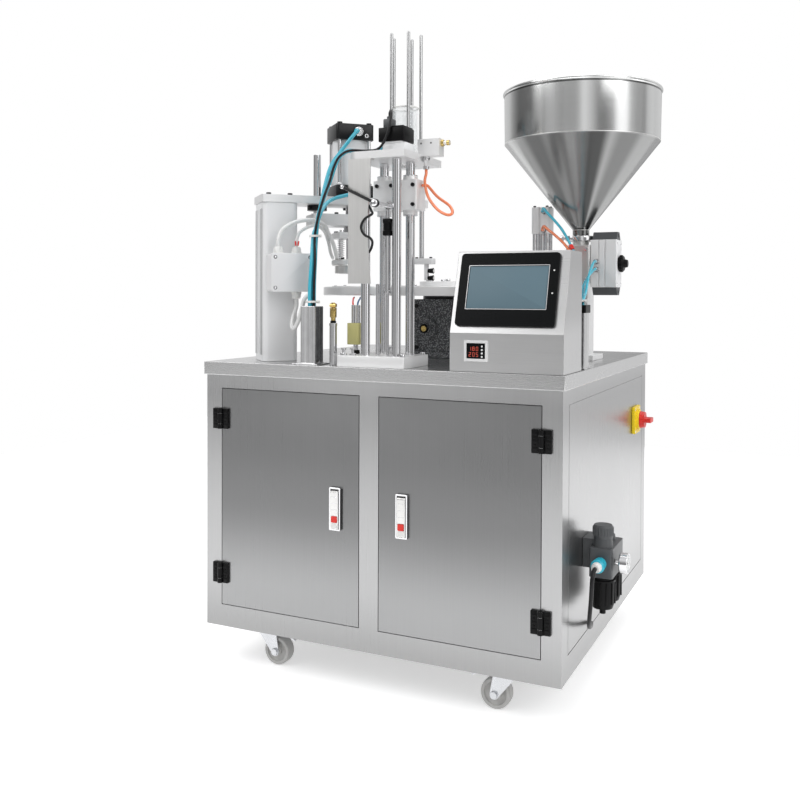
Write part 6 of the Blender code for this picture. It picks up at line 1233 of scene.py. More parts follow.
@dataclass
class Filler(Assembly):
    """The metering valve with its actuator, and the nozzle with its lift cylinder."""

    face_half: float = 0.0525
    valve_foot: float = 0.752
    head_height: float = 0.060

    def ports(self, name: str, spots: Sequence[Point], outer: float, look: Look, nuts: str = "ports") -> None:
        """Set air ports that face forward, each a bright nut and a collar."""
        self.piece(f"{name}_{nuts}", [nut((x, y + 0.0002, z), FORWARD, 0.0056, 0.0045) for x, y, z in spots],
                   Look.CHROME)
        self.piece(f"{name}_collars", [sleeve((x, y - 0.0085, z), FORWARD, 0.0046, outer, 0.0036)
                                       for x, y, z in spots], look)

    def actuator(self) -> None:
        """Dress the rotary actuator: ribbed body, white face, dark caps, ports and knob."""
        self.dressed("rotary_actuator", Look.ALLOY, 0.0008)
        low, high = Corner.box("rotary_actuator")
        y, z = Corner.middle("hopper").y, (low.z + high.z) / 2
        front, right, half = 2 * y - high.y, high.x - 0.0065, self.face_half
        face = slab((right - 0.001, front - 0.0006, z - half), (right + 0.0016, high.y + 0.0006, z + half),
                    0.003, 0.0008, "x")
        self.piece("actuator_face", face, Look.PAINT)
        self.piece("actuator_screws", [domed((right + 0.0016, *spot), RIGHT, 0.0028, 0.0012)
                                       for spot in four(y, z, 0.019, 0.044)], Look.CHROME)
        for name, way in (("lower", -1), ("upper", 1)):
            edge = z + way * (half + 0.0001)
            tip = edge + way * 0.0172
            outline = [(y - 0.0205, edge), (y + 0.0205, edge), (y + 0.0095, tip), (y - 0.0095, tip)][::way]
            cap = [prism(outline, low.x + 0.0026, right + 0.0004, "x"),
                   sleeve((right + 0.0003, y, edge + way * 0.0095), RIGHT, 0.0030, 0.0052, 0.0010)]
            self.piece(f"actuator_{name}_cap", cap, Look.DARK_GREY, bevel=0.0012)
        self.ports("actuator", [(low.x + 0.014, front, z + rise) for rise in (0.004, -0.013)], 0.0053,
                   Look.DARK_GREY)
        self.dressed("actuator_knob", Look.BLACK, 0.0010)
        x = Corner.box("actuator_knob")[0].x + 0.0035
        grips = [rod(spot, spot + Vector((0.0068, 0, 0)), 0.0013, sides=8)
                 for _, spot in around((x, y, z), 0.0176, 16, first=1, second=2)]
        self.piece("actuator_knob_grips", grips, Look.BLACK, "actuator_knob")

    def lift_cylinder(self) -> None:
        """Dress the lift cylinder: bright body, guide bars, dark bolts and the ports' nuts and collars."""
        self.dressed("filling_cylinder", Look.ALLOY, 0.0008)
        low, high = Corner.box("filling_cylinder")
        x, y, bottom = (low.x + high.x) / 2, Corner.middle("hopper").y, high.z - self.head_height
        corners = four(x, y, 0.0145, 0.0145)
        bars = [post(*spot, low.z + 0.0085, bottom - 0.0002, 0.0045) for spot in corners]
        self.piece("lift_cylinder_bars", bars, Look.CHROME)
        self.piece("lift_cylinder_bolts", [bolt((*spot, high.z), UP, 0.0032, 0.0036) for spot in corners],
                   Look.BLACK_ALLOY)
        ports = [(x + 0.011, y - 0.021, bottom + rise) for rise in (0.007, 0.049)]
        self.ports("lift_cylinder", ports, 0.0055, Look.BLACK, "nuts")

    def make(self) -> None:
        """Dress the valve, the actuator, the stand, the nozzle and its cylinder."""
        self.dressed("metering_valve", Look.BRUSHED, 0.0010)
        self.dressed("filling_stand", Look.ALLOY, 0.0010)
        self.dressed("filling_nozzle", Look.CHROME, 0.0004)
        x, y = Corner.middle("hopper").xy
        screws = [bolt((x + a * 0.020, y - 0.028, self.valve_foot + z), FORWARD)
                  for a in (-1, 1) for z in (0.010, 0.076)]
        self.piece("valve_screws", screws, Look.CHROME)
        self.actuator()
        self.lift_cylinder()


@dataclass
class AtPress(Assembly):
    """A sub-assembly that stands in the frame of the sealing station."""

    angle: float = math.radians(225)
    pitch_radius: float = 0.240

    def frame(self) -> Matrix:
        """Give the station's frame: x to the dial's middle, from the press's own axis."""
        dial = Corner.middle("dial")
        reach = Vector((math.cos(self.angle), math.sin(self.angle), 0)) * self.pitch_radius
        return towards(Vector((dial.x, dial.y, 0)) + reach, spin=self.angle - math.pi)

    def placed(self, name: str, shells: Iterable[Shell], look: Look, body: str = MACHINE,
               instead: Sequence[str] = ()) -> None:
        """Make a piece from surfaces in the station's frame."""
        matrix = self.frame()
        self.piece(name, [shell.moved(matrix) for shell in shells], look, body, instead)


@dataclass
class SealingPress(AtPress):
    """The sealing station: painted column, arm, tie rod cylinder, springs and heated shoe."""

    arm_bottom: float = 0.929
    arm_top: float = 0.946
    cylinder_top: float = 1.113
    cylinder_half: float = 0.044
    tie_reach: float = 0.0345
    guide: float = -0.078
    spring_out: float = 0.0214

    def cylinder(self) -> None:
        """Build the cylinder: black heads, pale barrel, tie rods, ports and bolts."""
        foot, top, half = self.arm_top + 0.0003, self.cylinder_top, self.cylinder_half
        foot_top, head_bottom = foot + 0.028, top - 0.036
        heads = [slab((-half, -half, low), (half, half, high), 0.006, 0.0012)
                 for low, high in ((foot, foot_top), (head_bottom, top))]
        self.placed("press_cylinder_heads", heads, Look.BLACK_ALLOY, instead=("press_cylinder",))
        barrel = post(0, 0, foot_top - 0.001, head_bottom + 0.001, 0.0405, sides=96)
        self.placed("press_cylinder_barrel", [barrel], Look.PAINT)
        corners = four(0, 0, self.tie_reach, self.tie_reach)
        ties, z = [], (head_bottom + top) / 2
        for spot in corners:
            ties += [post(*spot, foot_top - 0.002, head_bottom + 0.002, 0.0046),
                     nut((*spot, foot_top), UP, 0.0068, 0.005)]
        ties += [nut((0.006, -half, z), FORWARD, 0.0100, 0.0075),
                 nut((0.006, -half - 0.0075, z), FORWARD, 0.0060, 0.0035),
                 sleeve((0.026, 0.0002 - half, z - 0.008), FORWARD, 0.0026, 0.0045, 0.0016)]
        self.placed("press_tie_rods", ties, Look.CHROME)
        self.placed("press_cap_screws", [bolt((*spot, top), UP, 0.0060, 0.0040) for spot in corners],
                    Look.BLACK_ALLOY)

    def head(self) -> None:
        """Build what the piston moves: plates, rods, springs, heater and shoe."""
        body, out = "press_head", self.spring_out
        plates = [slab((-0.095, -0.040, 0.882), (0.0245, 0.040, 0.908), 0.005, 0.0010),
                  slab((-0.035, -0.035, 0.854), (0.035, 0.035, 0.868), 0.0035, 0.0010)]
        self.placed("press_plates", plates, Look.ALLOY, body, (body,))
        rods = [post(0, 0, 0.880, 0.974, 0.0099), post(self.guide, 0, 0.884, 1.044, 0.0084),
                post(0, 0, 0.8055, 0.884, 0.0085)]
        for x in (-1, 1):
            rods += [post(x * out, 0, 0.8055, 0.855, 0.0042),
                     *(nut((x * 0.026, y, 0.868), UP, 0.0052, 0.005) for y in (-0.024, 0.024))]
        self.placed("press_rods", rods, Look.CHROME, body)
        springs = [coil((x * out, 0, 0.8062), 0.0072, 0.0011, 0.047, 9) for x in (-1, 1)]
        springs.append(coil((0, 0, 0.8685), 0.0125, 0.0016, 0.013, 3.5))
        self.placed("press_springs", springs, Look.CHROME, body)
        heater = turned([(0.0338, 0.7742), (0.0343, 0.7748), (0.0343, 0.7915), (0.0400, 0.7922),
                         (0.0404, 0.7930), (0.0404, 0.8050), (0.0398, 0.8061)], 72)
        self.placed("press_heater", [heater], Look.BRUSHED, body)
        self.placed("heater_band", [sleeve((0, 0, 0.795), UP, 0.0403, 0.0420, 0.0085, 72)], Look.ALLOY, body)
        screws = [bolt((*spot, 0.8060), UP, 0.0040, 0.0040) for spot in four(0, 0, 0.024, 0.024)]
        screws += [bolt((*spot, 0.908), UP) for spot in four(-0.060, 0, 0.020, 0.028)]
        self.placed("press_screws", screws, Look.BLACK_ALLOY, body)

    def make(self) -> None:
        """Dress the column and the arm, and build the cylinder and the head."""
        self.dressed("sealing_column", Look.PAINT, 0.0010)
        self.dressed("sealing_arm", Look.ALLOY, 0.0012)
        bolts = [bolt((*spot, self.arm_top), UP, 0.0055, 0.0050)
                 for spot in four(-PRESS_BACK, 0, 0.024, 0.030)]
        bolts += [bolt((0, y, self.arm_bottom), DOWN, 0.005, 0.005) for y in (-0.040, 0.040)]
        self.placed("arm_bolts", bolts, Look.BLACK_ALLOY)
        bush = [sleeve((self.guide, 0, self.arm_bottom - 0.012), UP, 0.0090, 0.0225, 0.0118),
                sleeve((self.guide, 0, self.arm_top), UP, 0.0090, 0.0130, 0.0030)]
        self.placed("guide_bush", bush, Look.BLACK_ALLOY)
        # Painted shade: thin dark grey strips stand in for the shade inside the column's grooves.
        groove_shadows = [slab((-PRESS_BACK - 0.0404, y - 0.0012, 0.592), (-PRESS_BACK - 0.0397, y + 0.0012, 0.915),
                      0.0005, 0.0002) for y in (-0.034, -0.020, 0.020, 0.034)]
        self.placed("column_groove_shadows", groove_shadows, Look.DARK_GREY)
        self.cylinder()
        self.head()


@dataclass
class JunctionBox(AtPress):
    """The pale junction box on the press column, with its lid seam, screws and cable glands."""

    middle: float = 0.014 - PRESS_BACK
    face: float = -0.1013
    half: float = 0.046
    bottom: float = 0.732
    top: float = 0.814
    gland_back: float = -0.0738
    gland_pitch: float = 0.092

    def make(self) -> None:
        """Dress the box and add its lid, screws, gland nuts and the red cable mark."""
        self.dressed("junction_box", Look.GREY, 0.0010)
        middle, face, half, low, high = self.middle, self.face, self.half, self.bottom, self.top
        lid = slab((middle - half - 0.0006, face - 0.0008, low - 0.0006),
                   (middle + half + 0.0006, face + 0.017, high + 0.0006), 0.005, 0.0016, "y")
        self.placed("junction_lid", [lid], Look.GREY)
        corners = four(middle, (low + high) / 2, half - 0.008, (high - low) / 2 - 0.008)
        # Painted shade: dark grey rings stand in for the shade in the wells round the lid screws.
        self.placed("junction_lid_well_shadows", [sleeve((x, face - 0.0004, z), FORWARD, 0.0026, 0.0040, 0.0008)
                                           for x, z in corners], Look.DARK_GREY)
        self.placed("junction_lid_screws", [domed((x, face - 0.0008, z), FORWARD, 0.0024, 0.0008)
                                            for x, z in corners], Look.CHROME)
        y, nuts = self.gland_back, []
        for share, z, way in ((-0.28, high, UP), (0.16, high, UP), (0.16, low, DOWN)):
            spot = (middle + self.gland_pitch * share, y, z)
            nuts += [nut(spot, way, 0.0108, 0.005),
                     turned([(0.0098, 0.005), (0.0100, 0.010), (0.0082, 0.0152), (0.0056, 0.0158)], 32,
                            base=spot, axis=way)]
        self.placed("cable_glands", nuts, Look.TIE)
        x = middle + self.gland_pitch * 0.16
        marks = [rod((x + a, y - 0.006, high + 0.018), (x + a * 1.6, y - 0.008, high + 0.028), 0.0016)
                 for a in (-0.003, 0.002)]
        self.placed("cable_marks", marks, Look.RED)


@dataclass
class Ducts(Assembly):
    """The two square hose ducts, one with a black trim round its mouth."""

    left: tuple[float, float] = (0.245, 0.036)
    right: tuple[float, float] = (0.779, 0.186)
    trim_half: float = 0.0205

    def make(self) -> None:
        """Dress the ducts and add the trim and the foot screws."""
        for side in ("left", "right"):
            self.dressed(f"{side}_hose_duct", Look.POLISHED, 0.0006)
        (left, near), (x, y), screws = self.left, self.right, []
        for side, spots in (("left", [(left - 0.025, near + 0.012), (left + 0.025, near + 0.012)]),
                            ("right", [(x - 0.025, y - 0.012), (x - 0.025, y + 0.012)])):
            floor = Corner.box(f"{side}_hose_duct")[0].z
            screws += [domed((*spot, floor + 0.0025), UP, 0.0036, 0.0022) for spot in spots]
        self.piece("duct_screws", screws, Look.CHROME)
        mouth, half = Corner.box("right_hose_duct")[1].z, self.trim_half
        trim = frame_of((x - half, y - half, mouth - 0.0155), (x + half, y + half, mouth + 0.0006),
                        0.0042, "z", 0.003)
        self.piece("duct_trim", trim, Look.BLACK, bevel=0.001)


@dataclass
class LidStation(Assembly):
    """The lid station: columns, plates, slider, link, picker, cover and air gear on top."""

    columns: tuple[tuple[float, float], ...] = ((0.380, 0.022), (0.450, 0.022), (0.390, 0.0875),
                                                (0.450, 0.0875))
    floor: float = 0.5783
    plate: float = 0.6013
    top: float = 1.0150
    axle: tuple[float, float] = (0.419, 0.908)
    axle_front: float = -0.0170
    slider_front: float = 0.065
    front_axis: tuple[float, float] = (0.4290, 0.0240)
    picker_axis: tuple[float, float] = (0.462, 0.119)
    valve_y: float = 0.091
    valve_z: float = 1.0357
    slim: tuple[float, float] = (0.299, 0.032)

    def base(self) -> None:
        """Build the base plate and the four bright columns with their collars."""
        plate = slab((0.326, -0.002, self.floor), (0.478, 0.120, self.plate), 0.003, 0.0010)
        self.piece("lid_base_plate", plate, Look.ALLOY, instead=("lid_station_frame",))
        bars = [post(*spot, self.floor + 0.022, 0.9997, 0.0095, sides=48) for spot in self.columns]
        self.piece("lid_columns", bars, Look.CHROME)
        feet = [bolt((x, y, self.plate), UP, 0.0050, 0.0050)
                for x, y in ((0.334, 0.010), (0.470, 0.010), (0.334, 0.108), (0.470, 0.108))]
        feet += [bolt((*spot, self.top - 0.0002), UP, 0.0058, 0.0020) for spot in self.columns]
        self.piece("lid_station_screws", feet, Look.CHROME)

    def slider(self) -> None:
        """Dress the slider and add bushes, bolts, the axle's hub and the link that drives it."""
        body, front, end, (x, z) = "lid_slider", self.slider_front, self.axle_front, self.axle
        # Painted light: the slider wears the paler dial alloy instead of the light alloy, to lift a front
        # that stands in shade.
        self.dressed(body, Look.DIAL, 0.0010)
        low, high = Corner.box(body)
        rings = [sleeve((*spot, c), UP, 0.0100, 0.0152, 0.0022)
                 for spot in self.columns[2:] for c in (low.z - 0.0010, high.z - 0.0012)]
        self.piece("slider_bushes", rings, Look.CHROME, body)
        bolts = [bolt((a, front, b), FORWARD, 0.0040, 0.0040)
                 for a, b in ((0.466, 0.951), (0.466, 0.911), (0.384, 0.951), (0.417, 0.951))]
        self.piece("slider_bolts", bolts, Look.BLACK_ALLOY, body)
        hub = [sleeve((x, front + 0.0003, z), FORWARD, 0.0044, 0.0090, 0.016),
               rod((x, front - 0.015, z), (x, end + 0.0002, z), 0.0047),
               domed((x, end + 0.0002, z), FORWARD, 0.0075, 0.0045)]
        self.piece("axle_hub", hub, Look.CHROME, body)
        self.dressed("slider_link", Look.BLACK_ALLOY, 0.0005)
        self.piece("link_ball", domed((0.346, end + 0.0004, 0.943), FORWARD, 0.0042, 0.0022), Look.CHROME,
                   "slider_link")

    def front_gear(self) -> None:
        """Add the slim front cylinder, its shock absorber and the thin shaft beside it."""
        floor, (x, y) = self.plate + 0.0003, self.front_axis
        bright = [post(x, y, floor, 0.732, 0.0034), post(x, y, 0.731, 0.845, 0.0066),
                  sleeve((x, y, 0.7285), UP, 0.0030, 0.0078, 0.0060), post(x, y, 0.878, 0.8977, 0.0044)]
        self.piece("front_cylinder", bright, Look.CHROME, instead=("slider_cylinder",))
        self.piece("front_shaft", post(0.404, 0.030, floor, 0.7475, 0.0040), Look.CHROME)
        profile = [(0.0070, 0.8450), (0.0100, 0.8455), (0.0105, 0.8480), (0.0105, 0.8545), (0.0088, 0.8560),
                   (0.0088, 0.8695), (0.0105, 0.8710), (0.0105, 0.8770), (0.0095, 0.8790), (0.0060, 0.8798)]
        self.piece("shock_absorber", turned(profile, base=(x, y, 0)), Look.BLACK,
                   instead=("slider_cylinder",))

    def picker(self) -> None:
        """Build the picker in the slider's lug: post, collar, arm, stem and two side cups."""
        body, (x, y) = "lid_picker", self.picker_axis
        self.piece("picker_post", [post(x, y, 0.7905, 0.950, 0.0050), post(x, y, 0.9243, 0.9303, 0.0070)],
                   Look.CHROME, body, (body,))
        arm = [slab((x - 0.0155, y - 0.010, 0.790), (x + 0.0285, y + 0.010, 0.802), 0.003, 0.0010),
               slab((x + 0.008, y - 0.005, 0.756), (x + 0.015, y + 0.005, 0.7905), 0.001, 0.0006)]
        self.piece("picker_arm", arm, Look.PAINT, body)
        self.piece("picker_screws", [bolt((x + a, y, 0.802), UP, 0.0032, 0.0030) for a in (-0.011, 0.021)],
                   Look.BLACK_ALLOY, body)
        profile = [(0.0030, 0.0), (0.0040, 0.0008), (0.0048, 0.0030), (0.0040, 0.0048), (0.0056, 0.0070),
                   (0.0046, 0.0092), (0.0063, 0.0118), (0.0060, 0.0124)]
        heights = (0.776, 0.761)
        self.piece("picker_cups", [turned(profile, 32, base=(x + 0.0147, y, z), axis=RIGHT) for z in heights],
                   Look.BLACK, body)
        self.piece("picker_caps", [domed((x + 0.0278, y, z), RIGHT, 0.0034, 0.0008) for z in heights],
                   Look.TIE, body)

    def top_gear(self) -> None:
        """Build what stands on the top plate: air cylinder, coil block, connector and valve block."""
        top, node, y, z = self.top + 0.0003, ("lid_air_cylinder",), self.valve_y, self.valve_z
        white = [slab((0.408, 0.038, top), (0.462, 0.084, top + 0.0195), 0.005, 0.0012),
                 slab((0.415, 0.036, top + 0.0190), (0.454, 0.081, top + 0.0225), 0.004, 0.0008)]
        self.piece("top_cylinder", white, Look.PAINT, instead=node)
        black = [slab((0.402, 0.034, top + 0.022), (0.459, 0.086, top + 0.0505), 0.002, 0.0010),
                 slab((0.428, 0.036, top + 0.050), (0.457, 0.084, top + 0.0535), 0.002, 0.0010)]
        self.piece("top_coil", black, Look.BLACK, instead=node)
        plug = [slab((0.405, 0.048, top + 0.050), (0.426, 0.070, top + 0.0710), 0.004, 0.0020),
                post(0.4155, 0.059, top + 0.069, top + 0.077, 0.0055)]
        self.piece("coil_connector", plug, Look.DARK_GREY, instead=node)
        # Painted shade: black discs stand in for the shade inside the valve block's holes.
        hole_shadows = [rod((x, 0.0777, z), (x, 0.079, z), 0.0018, 0.0001) for x in (0.478, 0.500)]
        self.piece("vacuum_block_hole_shadows", hole_shadows, Look.BLACK)
        brass = [nut((0.5178, y, z), RIGHT, 0.0060, 0.006),
                 sleeve((0.530, y, z), RIGHT, 0.0036, 0.0054, 0.0062)]
        self.piece("vacuum_fitting", brass, Look.BRASS)
        under = [nut((0.484, y, 1.0097), DOWN, 0.0066, 0.007),
                 sleeve((0.484, y, 0.9905), DOWN, 0.0046, 0.0060, 0.0064)]
        self.piece("vacuum_elbow", under, Look.CHROME)

    def small_gear(self) -> None:
        """Build the small gear left of the columns: sensor block, slim cylinder and thumb screws."""
        plate, (x, y) = self.plate, self.slim
        sensor = slab((0.3210, 0.052, 0.621), (0.3490, 0.078, 0.666), 0.0015, 0.0006)
        self.piece("sensor_block", sensor, Look.OLIVE)
        bright = [post(0.335, 0.065, plate + 0.006, 0.6215, 0.0050),
                  post(0.3295, 0.065, 0.6658, 0.704, 0.0045), post(0.3405, 0.065, 0.6658, 0.704, 0.0045),
                  post(x, y, self.floor, 0.664, 0.0078),
                  sleeve((x, y, 0.660), UP, 0.0030, 0.0084, 0.0060)]
        self.piece("slim_cylinder", bright, Look.CHROME)
        knurl = [post(0.335, 0.065, plate, plate + 0.008, 0.0085, 0.001),
                 post(x, y, 0.664, 0.671, 0.0062, 0.001)]
        self.piece("sensor_foot", knurl, Look.BLACK)
        brass = [post(x, y, 0.671, 0.679, 0.0050), post(x, y, 0.678, 0.692, 0.0072),
                 nut((x, y, 0.692), UP, 0.0066, 0.006),
                 rod((x - 0.007, y, 0.703), (x + 0.007, y, 0.703), 0.0044), post(x, y, 0.698, 0.709, 0.0040)]
        self.piece("flow_fitting", brass, Look.BRASS)
        knobs = [post(*spot, plate + low, plate + high, radius)
                 for spot in ((0.335, 0.012), (0.352, 0.020), (0.396, 0.100))
                 for low, high, radius in ((0, 0.004, 0.0070), (0, 0.014, 0.0030), (0.011, 0.015, 0.0055))]
        self.piece("thumb_screws", knobs, Look.CHROME)

    def make(self) -> None:
        """Build the whole station."""
        self.base()
        self.dressed("lid_top_plate", Look.ALLOY, 0.0012)
        self.dressed("lid_cover_plate", Look.BRUSHED, 0.0004)
        self.slider()
        self.front_gear()
        self.picker()
        self.top_gear()
        self.small_gear()


@dataclass
class Magazine(Assembly):
    """The lid magazine: five bright rods, the ring that holds them and the clear tube."""

    rods: int = 5
    pitch: float = 0.0335
    top: float = 1.277

    def make(self) -> None:
        """Build the rods, the ring and the tube."""
        low, high = Corner.box("lid_tube")
        x, y = Corner.middle("lid_tube").xy
        shells = [sleeve((x, y, low.z), UP, 0.0273, 0.0390, 0.010, 64)]
        for _, spot in around((x, y, low.z + 0.008), self.pitch, self.rods, 0.25):
            tip = (spot.x, spot.y, self.top - 0.001)
            shells += [post(*spot, self.top, 0.0034), domed(tip, UP, 0.0033, 0.0040)]
        self.piece("magazine_rods", shells, Look.ROD, instead=("lid_magazine",))
        tube = sleeve((x, y, low.z), UP, 0.0250, 0.0270, high.z - low.z, 72)
        self.piece("clear_tube", tube, Look.CLEAR, instead=("lid_tube",))
        self.piece("tube_rim", sleeve((x, y, high.z - 0.0035), UP, 0.0268, 0.0290, 0.0035, 72), Look.TIE)


AIR, PRESS_AIR, CABLE, INLET, THIN_WIRE = 0.0030, 0.0042, 0.0026, 0.0042, 0.0018
WIDE_CONDUIT, THIN_CONDUIT = 0.0046, 0.0036
HEAD_BEND = Bend("press_head", (0.200, 0.112, 0.85), (0.2232, 0.1835, 0.85))


@dataclass(frozen=True)
class Route:
    """One hose: its piece's name, radius, look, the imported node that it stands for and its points."""

    name: str
    radius: float
    look: Look
    node: str
    points: tuple[tuple[float, float, float], ...]
    count: int = 90
    bend: Bend | None = None


ROUTES = (
    Route("upper_press_hose", PRESS_AIR, Look.BLUE_HOSE, "sealer_harness", (
        (0.2664, 0.1942, 1.095), (0.2714, 0.1892, 1.095), (0.264, 0.178, 1.080), (0.243, 0.163, 1.046),
        (0.229, 0.143, 1.011), (0.228, 0.115, 0.956), (0.2315, 0.087, 0.899), (0.2395, 0.056, 0.850),
        (0.240, 0.046, 0.797), (0.241, 0.0375, 0.740), (0.241, 0.0375, 0.690))),
    Route("lower_press_hose", PRESS_AIR, Look.BLUE_HOSE, "sealer_harness", (
        (0.2664, 0.1942, 0.9603), (0.2714, 0.1892, 0.9603), (0.268, 0.176, 0.953), (0.256, 0.156, 0.946),
        (0.246, 0.130, 0.938), (0.241, 0.106, 0.926), (0.242, 0.078, 0.903), (0.2425, 0.056, 0.868),
        (0.2405, 0.0485, 0.850), (0.2445, 0.035, 0.797), (0.244, 0.029, 0.740), (0.244, 0.029, 0.690))),
    Route("lid_hose", PRESS_AIR, Look.BLUE_HOSE, "sealer_harness", (
        (0.4077, 0.0445, 1.026), (0.4007, 0.0445, 1.026), (0.388, 0.0445, 1.0200), (0.374, 0.037, 1.0195),
        (0.357, 0.026, 1.0195), (0.344, 0.012, 1.0195), (0.330, 0.000, 1.006), (0.318, 0.002, 0.985),
        (0.300, 0.014, 0.958), (0.276, 0.034, 0.932), (0.254, 0.048, 0.897), (0.247, 0.050, 0.850),
        (0.2495, 0.041, 0.797), (0.250, 0.036, 0.740), (0.250, 0.036, 0.690)), 120),
    Route("sensor_cable", CABLE, Look.BLACK_HOSE, "sealer_harness", (
        (0.4155, 0.059, 1.0926), (0.4155, 0.059, 1.0996), (0.418, 0.0555, 1.101), (0.424, 0.048, 1.103),
        (0.430, 0.036, 1.090), (0.428, 0.028, 1.060), (0.418, 0.026, 1.034), (0.404, 0.024, 1.0205),
        (0.380, 0.018, 1.0185), (0.350, 0.006, 1.019), (0.335, -0.008, 1.006), (0.322, -0.008, 0.985),
        (0.305, 0.004, 0.957), (0.282, 0.022, 0.930), (0.260, 0.038, 0.895), (0.2475, 0.043, 0.850),
        (0.2535, 0.034, 0.797), (0.254, 0.029, 0.740), (0.254, 0.029, 0.690)), 160),
    Route("supply_conduit", WIDE_CONDUIT, Look.CONDUIT, "sealer_harness", (
        (0.1811, 0.0768, 0.7177), (0.1811, 0.0768, 0.700), (0.178, 0.068, 0.675), (0.182, 0.058, 0.657),
        (0.192, 0.050, 0.652), (0.206, 0.044, 0.668), (0.2165, 0.042, 0.696), (0.2210, 0.0435, 0.714),
        (0.2300, 0.0455, 0.7240), (0.2370, 0.0460, 0.7120), (0.2375, 0.046, 0.690))),
    Route("heater_conduit", WIDE_CONDUIT, Look.CONDUIT, "heater_conduits", (
        (0.1525, 0.0482, 0.8285), (0.1525, 0.0482, 0.8425), (0.158, 0.056, 0.866), (0.176, 0.080, 0.884),
        (0.200, 0.112, 0.8905), (0.214, 0.137, 0.882), (0.2185, 0.153, 0.862), (0.2225, 0.168, 0.838),
        (0.2232, 0.1835, 0.8085)), bend=HEAD_BEND),
    Route("sensor_conduit", THIN_CONDUIT, Look.CONDUIT, "heater_conduits", (
        (0.1811, 0.0768, 0.8285), (0.1811, 0.0768, 0.8425), (0.186, 0.086, 0.864), (0.202, 0.115, 0.8785),
        (0.212, 0.140, 0.870), (0.213, 0.160, 0.846), (0.2105, 0.175, 0.822), (0.210, 0.187, 0.8085)),
          bend=HEAD_BEND),
    Route("lift_hose_up", AIR, Look.BLUE_HOSE, "filler_harness", (
        (0.651, 0.3667, 0.915), (0.651, 0.3597, 0.915), (0.657, 0.349, 0.920), (0.667, 0.345, 0.909),
        (0.684, 0.341, 0.892), (0.705, 0.334, 0.868), (0.728, 0.322, 0.832), (0.752, 0.290, 0.792),
        (0.770, 0.240, 0.748), (0.7775, 0.200, 0.716), (0.7785, 0.1845, 0.690))),
    Route("lift_hose_down", AIR, Look.ORANGE_HOSE, "filler_harness", (
        (0.651, 0.3667, 0.873), (0.651, 0.3597, 0.873), (0.658, 0.349, 0.880), (0.669, 0.343, 0.872),
        (0.688, 0.336, 0.858), (0.713, 0.326, 0.836), (0.738, 0.306, 0.806), (0.756, 0.268, 0.772),
        (0.767, 0.222, 0.734), (0.7705, 0.196, 0.714), (0.771, 0.1885, 0.690))),
    Route("valve_hose_up", AIR, Look.BLUE_HOSE, "filler_harness", (
        (0.7713, 0.3617, 0.8005), (0.7713, 0.3547, 0.8005), (0.7715, 0.342, 0.7965), (0.772, 0.326, 0.788),
        (0.775, 0.285, 0.764), (0.782, 0.235, 0.732), (0.7865, 0.1985, 0.716), (0.7868, 0.1925, 0.690))),
    Route("valve_hose_down", AIR, Look.BLUE_HOSE, "filler_harness", (
        (0.7713, 0.3617, 0.7835), (0.7713, 0.3547, 0.7835), (0.770, 0.342, 0.779), (0.768, 0.322, 0.770),
        (0.767, 0.280, 0.750), (0.775, 0.236, 0.728), (0.779, 0.1985, 0.716), (0.779, 0.194, 0.690))),
    Route("inlet_tube", INLET, Look.BLACK_HOSE, "inlet_hose", (
        (0.841, 0.0844, 0.205), (0.841, 0.076, 0.204), (0.840, 0.066, 0.188), (0.838, 0.066, 0.150),
        (0.832, 0.080, 0.112), (0.824, 0.110, 0.085), (0.815, 0.160, 0.068), (0.8056, 0.205, 0.0585))),
    Route("red_wire", THIN_WIRE, Look.RED, "", (
        (0.329, 0.065, 0.700), (0.3275, 0.066, 0.7065), (0.321, 0.078, 0.7125), (0.310, 0.100, 0.7165),
        (0.296, 0.128, 0.7185), (0.280, 0.160, 0.7195)), 40),
    Route("blue_wire", THIN_WIRE, Look.DARK_BLUE, "", (
        (0.339, 0.065, 0.700), (0.338, 0.068, 0.7075), (0.333, 0.082, 0.7135), (0.324, 0.104, 0.7170),
        (0.310, 0.132, 0.7190), (0.294, 0.164, 0.7195)), 40),
    Route("cover_cable", CABLE, Look.BLACK_HOSE, "", (
        (0.3893, 0.0195, 0.906), (0.3990, 0.0100, 0.896), (0.4068, -0.0010, 0.8885),
        (0.4030, -0.0068, 0.8835), (0.3950, -0.0068, 0.8795), (0.3880, -0.0068, 0.8720),
        (0.3845, -0.0068, 0.8620), (0.3870, -0.0068, 0.8525), (0.3940, -0.0068, 0.8445),
        (0.4030, -0.0066, 0.8405), (0.4068, -0.0010, 0.8330), (0.4000, 0.0100, 0.8220),
        (0.3893, 0.0195, 0.8120))),
)
VACUUM_ROUTE = (
    (0.484, 0.091, 0.9837), (0.484, 0.091, 0.975), (0.486, 0.080, 0.957), (0.499, 0.066, 0.926),
    (0.522, 0.058, 0.899), (0.545, 0.054, 0.886), (0.556, 0.058, 0.889), (0.545, 0.070, 0.905),
    (0.512, 0.086, 0.926), (0.494, 0.090, 0.944), (0.4865, 0.090, 0.951), (0.4758, 0.090, 0.951))


